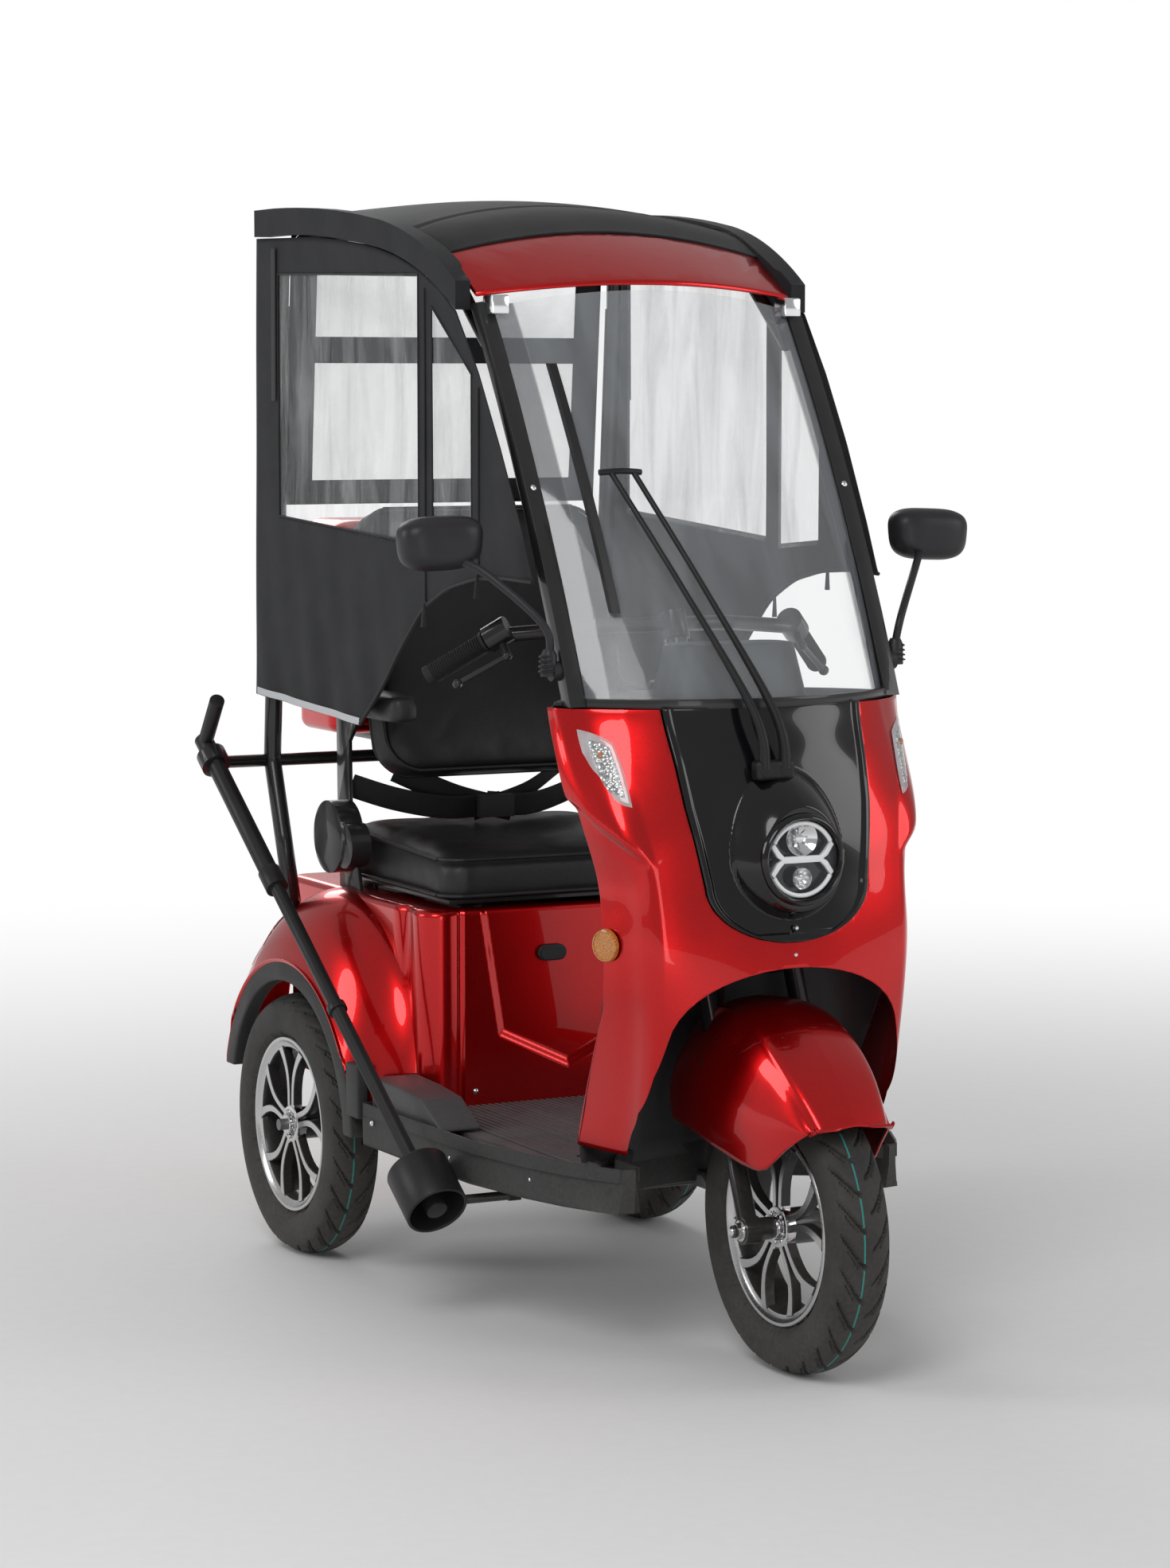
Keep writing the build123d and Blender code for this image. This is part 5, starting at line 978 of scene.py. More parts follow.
def nose_half(z):
    """Half the width of the nose opening at a height."""
    for (low, a), (high, b) in zip(NOSE_SIDE, NOSE_SIDE[1:]):
        if z <= high:
            share = (z - low) / (high - low)
            return a + (b - a) * (sqrt(max(share, 0.0)) if low < 0.61 else share)
    return NOSE_SIDE[-1][1]


def nose_outline(grow):
    """The front view of the nose opening, grown by a little."""
    bottom = [(0.131 + grow, NOSE_ROUND)]
    for n in range(1, 12):
        angle = -pi / 2 * n / 12
        bottom.append(((0.131 + grow) * cos(angle), NOSE_ROUND + (0.081 + grow) * sin(angle)))
    bottom.append((0.0, NOSE_FOOT - grow))
    right = [(0.163 + grow, 0.960), (0.149 + grow, 0.800)] + bottom
    return right + [(-x, z) for x, z in reversed(right[:-1])]


class MakeCowl(bpy.types.Operator):
    """Makes the front cowl with its wheel arch and shoulder ridges, and the black nose panel"""

    bl_idname = "tricycle.cowl"
    bl_label = "Front cowl"

    def execute(self, context):
        mesh = bmesh.new()
        skin(mesh, 150, 110, lambda u, v: cowl_point(2 * u - 1, COWL_FOOT + COWL_HEIGHT * v))
        merged(mesh)
        cowl = finished(mesh, "cowl", "vehicle", FINISH["paint"], ["front_cowl"], smooth=60, closed=False)
        point_out(cowl, Vector((0, -0.35, 0.62)))
        shaped(cowl, "SOLIDIFY", "Wall", thickness=0.0035, offset=-1.0)
        cutter = bmesh.new()
        plate(cutter, [(x, -0.80, z) for x, z in nose_outline(0.0)], (0, 0.33, 0))
        cut(cowl, cutter)
        cutter = bmesh.new()
        arch = [(-0.204, 0.280), (-0.203, 0.370), (-0.197, 0.425)]
        arch += [(-0.186 * cos(pi * n / 24), 0.455 + 0.119 * sin(pi * n / 24) ** 0.85) for n in range(1, 24)]
        arch += [(0.197, 0.425), (0.203, 0.370), (0.204, 0.280)]
        plate(cutter, [(x, -0.90, z) for x, z in arch], (0, 0.60, 0))
        cut(cowl, cutter)
        shaped(cowl, "BEVEL", "Edges", width=0.0012, segments=2, limit_method="ANGLE", angle_limit=radians(50))
        cowl.data.shade_smooth()
        cowl.data.set_sharp_from_angle(angle=radians(38))

        mesh = bmesh.new()

        def panel(u, v):
            z = PANEL_FOOT + PANEL_HEIGHT * v
            if z < NOSE_ROUND:
                half = 0.1298 * sqrt(max(1 - ((NOSE_ROUND - z) / 0.0800) ** 2, 0.0004))
            else:
                half = nose_half(z) - 0.0012
            x = (2 * u - 1) * half
            y = cowl_front(x, z).y
            border = min(half - abs(x), (z - PANEL_FOOT) * 0.9)
            y -= 0.0035 * (1 - ease(0.008, 0.013, border))
            up = (z - LAMP_Z) / (0.125 if z > LAMP_Z else 0.086)
            far = hypot(x / 0.0895, up)
            if far < 1:
                y = min(y, max(y - 0.062 * (1 - far**3.2), -0.6095))
            if hypot(x, z - LAMP_Z) < 0.0615:
                y = -0.590
            return Vector((x, y, z))

        skin(mesh, 110, 170, panel)
        panel_piece = finished(
            mesh, "nose_cover", "vehicle", FINISH["gloss"], ["nose_panel"], smooth=55
        )
        point_out(panel_piece, Vector((0, -0.35, 0.75)))
        shaped(panel_piece, "SOLIDIFY", "Wall", thickness=0.0025, offset=-1.0)
        return {"FINISHED"}


def point_out(piece, middle, sides=(0,)):
    """Turns open skins away from a point inside: the whole piece, or each side about its own mirrored point."""
    mesh = bmesh.new()
    mesh.from_mesh(piece.data)
    for side in sides:
        inner = Vector((side * middle.x, middle.y, middle.z)) if side else middle
        faces = [f for f in mesh.faces if not side or f.calc_center_median().x * side > 0]
        total = sum((f.calc_center_median() - inner).dot(f.normal) * f.calc_area() for f in faces)
        if total < 0:
            bmesh.ops.reverse_faces(mesh, faces=faces)
    mesh.to_mesh(piece.data)
    mesh.free()


class MakeLamps(bpy.types.Operator):
    """Makes the headlamp, the front signals and the side reflectors"""

    bl_idname = "tricycle.lamps"
    bl_label = "Lamps"

    def execute(self, context):
        mesh = bmesh.new()
        turned(
            mesh,
            [(0.0560, 0.010), (0.0565, -0.004), (0.0590, -0.0065), (0.0625, -0.0055), (0.0650, -0.0010), (0.0662, 0.006),
             (0.0670, 0.014)],
            LAMP, (0, 1, 0), 72,
        )
        finished(mesh, "lamp_bezel", "vehicle", FINISH["gloss"], smooth=50, closed=False)
        mesh = bmesh.new()
        turned(mesh, [(0.0562, 0.006), (0.0562, 0.016), (0.0, 0.018)], LAMP, (0, 1, 0), 72)
        finished(mesh, "lamp_base", "vehicle", FINISH["gloss"], smooth=40)
        mesh = bmesh.new()
        for height, size in ((0.029, 0.0235), (-0.027, 0.0150)):
            centre = LAMP + Vector((0, 0, height))
            bowl = [(size, 0.002), (size * 1.06, 0.004), (size * 0.96, 0.006), (size * 0.70, 0.0125), (size * 0.30, 0.0165),
                    (0.0, 0.0172)]
            turned(mesh, bowl, centre, (0, 1, 0), 40)
            turned(mesh, [(0.0, 0.008), (size * 0.28, 0.0095), (size * 0.30, 0.0165)], centre, (0, 1, 0), 24)
        finished(mesh, "lamp_bowls", "vehicle", FINISH["silver"], ["headlamp"], smooth=40)
        mesh = bmesh.new()
        brick(mesh, LAMP + Vector((-0.031, 0.001, -0.0048)), LAMP + Vector((0.031, 0.008, 0.0048)))
        for side in (-1, 1):
            for up in (-1, 1):
                outline = [
                    (0.029, 0.0048), (0.030, -0.002), (0.040, 0.004), (0.0500, 0.0190), (0.0455, 0.0245), (0.036, 0.0115)
                ]
                plate(mesh, [LAMP + Vector((side * x, 0.001, up * z)) for x, z in outline], (0, 0.007, 0))
        merged(mesh)
        softened(mesh, 0.0012)
        finished(mesh, "lamp_bars", "vehicle", FINISH["white"], smooth=40)
        mesh = bmesh.new()
        for start, end in ((28, 152), (208, 332)):
            points = []
            for n in range(21):
                x, z = arc(0.0508, radians(start + (end - start) * n / 20))
                points.append(LAMP + Vector((x, 0.0035, z)))
            pipe(mesh, points, 0.0034, sides=10, steps=2)
        finished(mesh, "lamp_arcs", "vehicle", FINISH["white"], smooth=60)
        mesh = bmesh.new()
        turned(
            mesh, [(0.0, -0.0035), (0.025, -0.0032), (0.044, -0.0020), (0.054, 0.0005), (0.0565, 0.003), (0.0565, 0.0042),
                   (0.044, -0.0005), (0.0, -0.0020)], LAMP, (0, 1, 0), 72,
        )
        finished(mesh, "lamp_cover", "vehicle", FINISH["cover"], ["headlamp_lens"], smooth=60)

        corners = ((0.2160, 0.798), (0.2520, 0.816), (0.2640, 0.910), (0.2240, 0.890))
        for name, inset, lift, finish, slot in (
            ("signal_frames", 0.0, 0.0045, "clear_rim", "signal_clear"),
            ("signal_optics", 0.17, 0.0062, "signal", "signal_clear"),
        ):
            mesh = bmesh.new()
            for side in (-1, 1):

                def place(u, v, side=side):
                    across, up = 2 * u - 1, 2 * v - 1
                    a = 0.5 + (0.5 - inset) * across * sqrt(1 - 0.22 * up**2)
                    b = 0.5 + (0.5 - 0.55 * inset) * up * sqrt(1 - 0.12 * across**2)
                    low = [p + (q - p) * a for p, q in zip(corners[0], corners[1])]
                    high = [p + (q - p) * a for p, q in zip(corners[3], corners[2])]
                    x, z = (p + (q - p) * b for p, q in zip(low, high))
                    rim = min(u, 1 - u, v * 2.4, (1 - v) * 2.4)
                    rise = lift * ease(0.0, 0.10, rim)
                    return cowl_front(side * x, z, rise + 0.0030)

                skin(mesh, 28, 44, place)
            finished(mesh, name, "vehicle", FINISH[finish], ["front_signals"], smooth=60)
        mesh = bmesh.new()
        for side in (-1, 1):
            spot = cowl_front(side * 0.243, 0.872, 0.008)
            bmesh.ops.create_icosphere(
                mesh, subdivisions=3, radius=0.005, matrix=Matrix.Translation(spot) @ Matrix.Diagonal((1.0, 0.6, 1.1, 1))
            )
        finished(mesh, "signal_bulbs", "vehicle", FINISH["amber_bulb"], smooth=180)

        mesh = bmesh.new()
        for side in (-1, 1):
            spot = Vector((side * 0.2385, -0.478, 0.606))
            turned(
                mesh, [(0.0235, 0.0), (0.0235, 0.004), (0.0222, 0.0065), (0.0200, 0.0070), (0.0195, 0.0058), (0.0, 0.0072)],
                spot, (side, -0.35, 0), 40,
            )
        finished(mesh, "reflectors", "vehicle", FINISH["amber"], ["side_reflectors"], smooth=30)
        return {"FINISHED"}


# Rear bodywork and floor
SEAT_BOX = {"front": 0.118, "half": 0.2445, "rear": 0.660, "low": 0.2705, "top": 0.5850}
BOX_MIDDLE = 0.39
RELIEF = ((0.150, 0.600), (0.116, 0.387), (0.0, 0.332))


def seat_box_plan():
    """Half of the seat box's outline in plan, from the middle of the front round to the middle of the rear."""
    front, half = SEAT_BOX["front"], SEAT_BOX["half"]
    points = [(0.178 * n / 56, front) for n in range(57)]
    points += [(0.1815, front + 0.0045), (0.1850, front + 0.0060), (0.1885, front + 0.0045), (0.1925, front)]
    points += [(0.2065 + 0.038 * sin(pi * n / 20), front + 0.038 - 0.038 * cos(pi * n / 20)) for n in range(0, 11)]
    points += [(half, front + 0.052)]
    points += [(half - 0.0075 * sin(pi * n / 8) ** 0.8, front + 0.056 + 0.040 * n / 8) for n in range(1, 9)]
    points += [(half, y) for y in (0.24, 0.30, 0.40, 0.50, 0.60)]
    points += [(half - 0.02 + 0.02 * cos(pi * n / 12), 0.640 + 0.02 * sin(pi * n / 12)) for n in range(0, 7)]
    points += [(0.12, SEAT_BOX["rear"]), (0.0, SEAT_BOX["rear"])]
    return points


def three_point(a, b, c, share):
    """A point on the arc from a through b to c."""
    (ax, ay), (bx, by), (cx, cy) = a, b, c
    d = 2 * (ax * (by - cy) + bx * (cy - ay) + cx * (ay - by))
    ux = ((ax**2 + ay**2) * (by - cy) + (bx**2 + by**2) * (cy - ay) + (cx**2 + cy**2) * (ay - by)) / d
    uy = ((ax**2 + ay**2) * (cx - bx) + (bx**2 + by**2) * (ax - cx) + (cx**2 + cy**2) * (bx - ax)) / d
    start, end = atan2(ay - uy, ax - ux), atan2(cy - uy, cx - ux)
    if start < end:
        start += 2 * pi
    angle = start + (end - start) * share
    radius = hypot(ax - ux, ay - uy)
    return ux + radius * cos(angle), uy + radius * sin(angle)


FENDER_ROWS = (
    # x, front y, top z, rear y
    (0.232, 0.150, 0.585, 0.700), (0.262, 0.160, 0.578, 0.706), (0.298, 0.180, 0.548, 0.711), (0.322, 0.194, 0.510, 0.712),
    (0.334, 0.201, 0.474, 0.713), (0.335, 0.203, 0.4735, 0.7115),
)


def fender_point(u, v):
    """A point on the left rear fender: u from its front foot over the wheel to its rear foot, v outwards."""
    x, front, top, rear = along(FENDER_ROWS, v)
    spring = 0.282
    if u < 0.04:
        y, z = front, 0.2705 + (spring - 0.2705) * u / 0.04
    elif u > 0.96:
        y, z = rear, spring - (spring - 0.2705) * (u - 0.96) / 0.04
    else:
        y, z = three_point((front, spring), (REAR_HUB_Y, top), (rear, spring), (u - 0.04) / 0.92)
    return Vector((x, y, z))


class MakeRearBody(bpy.types.Operator):
    """Makes the seat box with its relief and flutes, both rear fenders, the arch trims and the floor"""

    bl_idname = "tricycle.rear_body"
    bl_label = "Rear body"

    def execute(self, context):
        plan = seat_box_plan()
        plan = plan + [(-x, y) for x, y in reversed(plan[:-1])]
        low, top = SEAT_BOX["low"], SEAT_BOX["top"]
        rows = 92

        def wall(u, v):
            x, y = plan[round(u * (len(plan) - 1))]
            row = round(v * rows)
            z = low + (top - 0.012 - low) * min(row / 80, 1.0)
            pull = 0.0
            if row > 80:
                angle = pi / 2 * (row - 80) / 12
                z, pull = top - 0.012 + 0.012 * sin(angle), 0.012 * (1 - cos(angle))
            if y < SEAT_BOX["front"] + 0.001 and abs(x) < 0.17:
                inside = relief_inside(x, z)
                y += 0.0068 * ease(-0.004, 0.007, inside)
            away = y - BOX_MIDDLE
            x, y = x - (pull if x > 0 else -pull) * (abs(x) > 0.19), y + pull * (away < -0.2) - pull * (away > 0.2)
            return Vector((x, y, z))

        mesh = bmesh.new()
        skin(mesh, len(plan) - 1, rows, wall)
        merged(mesh)
        rim = [e for e in mesh.edges if e.is_boundary and all(v.co.z > top - 0.0005 for v in e.verts)]
        bmesh.ops.edgeloop_fill(mesh, edges=rim)
        finished(mesh, "seat_box", "vehicle", FINISH["paint"], ["rear_body"], smooth=50)

        mesh = bmesh.new()
        skin(mesh, 90, 40, fender_point)
        merged(mesh)
        both_sides(mesh)
        fenders = finished(mesh, "rear_fenders", "vehicle", FINISH["paint"], smooth=60, closed=False)
        point_out(fenders, Vector((0.20, REAR_HUB_Y, 0.25)), (-1, 1))
        shaped(fenders, "SOLIDIFY", "Wall", thickness=0.0035, offset=-1.0)

        mesh = cad_copy("arch_trims")
        for side in (-1, 1):
            brick(mesh, (side * 0.328 - 0.0095, 0.168, 0.262), (side * 0.328 + 0.0095, 0.214, 0.346))
        softened(mesh, 0.0035, 40, 3)
        finished(mesh, "arch_lips", "vehicle", FINISH["trim"], ["arch_trims"], smooth=40)

        half = [(0.330, 0.166), (0.318, -0.040), (0.310, -0.200), (0.286, -0.330), (0.262, -0.412), (0.236, -0.470)]
        half += [(0.222, -0.498), (0.207, -0.506), (0.200, -0.494), (0.196, -0.430)]
        half += [(0.196 * cos(pi * n / 24), -0.430 + 0.092 * sin(pi * n / 24)) for n in range(1, 13)]
        outline = half + [(-x, y) for x, y in reversed(half[:-1])]
        mesh = bmesh.new()
        loops = []
        for z, inset in (
            (0.2255, 0.010), (0.2275, 0.007), (0.2600, 0.001), (0.2850, 0.0), (0.2890, 0.0015), (0.2900, 0.0045),
            (0.2890, 0.0065), (0.2700, 0.0070),
        ):
            loop = []
            for (ax, ay), (bx, by), (cx, cy) in zip(outline[-1:] + outline[:-1], outline, outline[1:] + outline[:1]):
                way = Vector((cx - ax, cy - ay)).normalized()
                loop.append(mesh.verts.new((bx - way.y * inset, by - way.x * inset, z)))
            loops.append(loop)
        for lower, upper in zip(loops, loops[1:]):
            for a, b, c, d in zip(lower, lower[1:] + lower[:1], upper[1:] + upper[:1], upper):
                mesh.faces.new((a, b, c, d))
        mesh.faces.new(list(reversed(loops[0])))
        mesh.faces.new(loops[-1])
        bmesh.ops.recalc_face_normals(mesh, faces=mesh.faces[:])
        finished(mesh, "skirts", "vehicle", FINISH["trim"], ["floor_tub"], smooth=35)

        mesh = bmesh.new()
        for side in (-1, 1):
            outline = [
                (0.148, 0.2800), (0.148, 0.3300), (0.060, 0.3270), (-0.015, 0.3200), (-0.080, 0.2860), (-0.080, 0.2800)
            ]
            plate(mesh, [(side * 0.2460, y, z) for y, z in outline], (side * 0.0760, 0, 0))
        for vert in mesh.verts:
            if abs(vert.co.x) > 0.30:
                vert.co.x -= (0.010 if vert.co.x > 0 else -0.010) * ease(0.148, -0.08, vert.co.y)
        merged(mesh)
        softened(mesh, 0.006, 20, 3)
        finished(mesh, "step_crests", "vehicle", FINISH["crest"], smooth=45)

        mesh = cad_copy("floor_mat")
        for vert in mesh.verts:
            edge = 0.262 + 0.030 * ease(-0.42, -0.20, vert.co.y)
            vert.co.x = max(-edge + 0.012, min(edge - 0.012, vert.co.x))
        merged(mesh)
        for number in range(44):
            x = -0.236 + 0.011 * number
            front = -0.405 if abs(x) > 0.205 else -0.320
            brick(mesh, (x - 0.0032, front, 0.2770), (x + 0.0032, 0.118, 0.2790))
        finished(mesh, "mat_ribs", "vehicle", FINISH["mat"], ["floor_mat"], smooth=30)

        mesh = bmesh.new()
        rivet = settings().rivet_radius
        for side in (-1, 1):
            for x, y, z in ((0.331, 0.130, 0.262), (0.3150, -0.120, 0.250), (0.2860, -0.330, 0.252)):
                profile = [(0.0, 0.0026), (rivet * 0.625, 0.0020), (rivet, -0.0010)]
                turned(mesh, profile, (side * x, y, z), (side, 0, 0), 14)
        finished(mesh, "push_rivets", "vehicle", FINISH["silver"], smooth=50)
        mesh = bmesh.new()
        for x, z in ((-0.160, 0.300), (0.160, 0.300)):
            turned(mesh, [(0.0, 0.0024), (0.0030, 0.0019), (0.0050, -0.0010)], (x, 0.1175, z), (0, -1, 0), 14)
        for x, z, y in ((0.0, 0.592, -0.5905), (0.0, 0.630, -0.5925)):
            turned(mesh, [(0.0, 0.0034), (0.0026, 0.0028), (0.0042, -0.0020)], (x, y, z), (0, -1, 0), 14)
        finished(mesh, "panel_screws", "vehicle", FINISH["bright"], smooth=50)

        mesh = cad_copy("tail_lamps")
        for face in mesh.faces:
            face.material_index = 1 if face.calc_center_median().z > 0.494 else 0
        merged(mesh)
        finished(
            mesh, "tail_lenses", "vehicle", [FINISH["red_lens"], FINISH["signal"]], ["tail_lamps"], smooth=40,
            closed=False,
        )
        mesh = bmesh.new()
        outline = []
        for x, first in ((-0.015, 0), (-0.039, 8)):
            for n in range(first, first + 9):
                outline.append((x + 0.0125 * sin(pi * n / 8), 0.508 + 0.0125 * cos(pi * n / 8)))
        plate(mesh, [(x, 0.1247, z) for x, z in outline], (0, -0.0070, 0))
        merged(mesh)
        softened(mesh, 0.002, 40, 3)
        plate(mesh, [(x * 0.86 - 0.0038, 0.1180, 0.508 + (z - 0.508) * 0.80) for x, z in outline], (0, -0.0018, 0))
        finished(mesh, "charging_flap", "vehicle", FINISH["trim"], ["charging_cap"], smooth=40)
        return {"FINISHED"}


def relief_inside(x, z):
    """The distance inside the five-sided relief, negative outside it."""
    far = 1.0
    for (ax, az), (bx, bz) in zip(RELIEF, RELIEF[1:]):
        dx, dz = bx - ax, bz - az
        far = min(far, (dz * (abs(x) - ax) - dx * (z - az)) / hypot(dx, dz))
    return far


FENDER_LINE = (
    # y, crown z, cheek foot z, half width, ridge share, from the rear to the tip
    (-0.4195, 0.470, 0.346, 0.1065, 0.62), (-0.4300, 0.498, 0.342, 0.1080, 0.62), (-0.4700, 0.518, 0.336, 0.1080, 0.64),
    (-0.5150, 0.522, 0.328, 0.1070, 0.66), (-0.5700, 0.514, 0.316, 0.1030, 0.70), (-0.6200, 0.496, 0.306, 0.0975, 0.76),
    (-0.6600, 0.473, 0.306, 0.0900, 0.82), (-0.7000, 0.443, 0.338, 0.0800, 0.87), (-0.7350, 0.408, 0.362, 0.0690, 0.90),
    (-0.7600, 0.377, 0.3755, 0.0600, 0.92),
)


def front_fender_point(u, v):
    """A point on the front fender: u across it from the right cheek's foot to the left, v from its rear to its tip."""
    y, crown, foot, half, ridge = along(FENDER_LINE, v)
    side, share = (1 if u > 0.5 else -1), abs(2 * u - 1)
    shoulder = crown - 0.020 - 0.010 * ease(-0.52, -0.66, y)
    section = (
        (0.0, crown), (0.45 * ridge, crown - 0.0030), (0.88 * ridge, crown - 0.011), (ridge, shoulder + 0.002),
        (ridge + 0.55 * (1 - ridge), shoulder - 0.20 * (shoulder - foot)), (1.0, shoulder - 0.55 * (shoulder - foot)),
        (0.985, foot),
    )
    wide, z = along(section, share)
    return Vector((side * wide * half, y, max(z, foot)))


class MakeFrontFender(bpy.types.Operator):
    """Makes the front fender with its shoulder ridges"""

    bl_idname = "tricycle.front_fender"
    bl_label = "Front fender"

    def execute(self, context):
        mesh = bmesh.new()
        skin(mesh, 84, 90, front_fender_point)
        merged(mesh)
        fender = finished(
            mesh, "wheel_fender", "steering", FINISH["paint"], ["front_fender"], smooth=70, closed=False
        )
        point_out(fender, Vector((0, -0.60, 0.36)))
        shaped(fender, "SOLIDIFY", "Wall", thickness=0.0035, offset=-1.0)
        dressed("front_fork", "fork", "steering", "coated", 0.0015)
        return {"FINISHED"}


# Canopy
LIP_TOP = ((-0.338, 1.106), (-0.300, 1.185), (-0.236, 1.300), (-0.170, 1.404), (-0.100, 1.4937), (-0.040, 1.530),
           (0.022, 1.5557), (0.095, 1.578), (0.170, 1.5937), (0.275, 1.607), (0.380, 1.6157), (0.592, 1.6197))
CURTAIN_LOW = ((-0.338, 1.106), (-0.240, 1.108), (-0.150, 1.102), (-0.060, 1.083), (0.010, 1.050), (0.080, 0.994),
               (0.150, 0.925), (0.228, 0.864), (0.420, 0.876), (0.614, 0.888))
SIDE_PANES = (
    ((0.520, 1.560), (0.520, 1.178), (0.022, 1.150), (0.022, 1.548)),
    ((-0.022, 1.500), (-0.022, 1.140), (-0.150, 1.150), (-0.150, 1.400)),
)


def curtain_x(y):
    """How far out the side curtain hangs at a length."""
    return 0.282 + 0.034 * (y + 0.366) / 0.988


def curtain_fold(y, z):
    """The small folds of a hanging curtain."""
    low = ease(1.16, 0.90, z)
    return 0.0016 * sin(38 * y + 5 * z) * low + 0.0009 * sin(71 * y - 16 * z + 1.0) * (0.3 + 0.7 * low)


def inside(outline, a, b):
    """Whether a point lies inside a convex outline."""
    turns = [
        (bx - ax) * (b - ab) - (bb - ab) * (a - ax)
        for (ax, ab), (bx, bb) in zip(outline, outline[1:] + outline[:1])
    ]
    return all(t > 0 for t in turns) or all(t < 0 for t in turns)


def opened(mesh, outline, axes):
    """Cuts a window with straight edges into a sheet."""
    first, second = axes
    for (a, b), (c, d) in zip(outline, outline[1:] + outline[:1]):
        spot, normal = [0.0, 0.0, 0.0], [0.0, 0.0, 0.0]
        spot[first], spot[second] = a, b
        normal[first], normal[second] = d - b, a - c
        bmesh.ops.bisect_plane(
            mesh, geom=mesh.verts[:] + mesh.edges[:] + mesh.faces[:], plane_co=spot, plane_no=normal, dist=0.00001
        )
    gone = [f for f in mesh.faces if inside(outline, f.calc_center_median()[first], f.calc_center_median()[second])]
    bmesh.ops.delete(mesh, geom=gone, context="FACES")


def level(line, y):
    """The height of a line of points at a length."""
    for (ay, az), (by, bz) in zip(line, line[1:]):
        if y <= by:
            return az + (bz - az) * max(0.0, (y - ay) / (by - ay))
    return line[-1][1]


def cloth(mesh, name, finish, node, thick=0.0016):
    """A sheet of coated cloth with its thickness."""
    piece = finished(mesh, name, "vehicle", finish, node, smooth=60, closed=True)
    shaped(piece, "SOLIDIFY", "Cloth", thickness=thick, offset=0.0)
    return piece


BACK_FOOT, BACK_HEIGHT = 1.193, 0.472
BACK_Y, BACK_LEAN = 0.583, 0.038


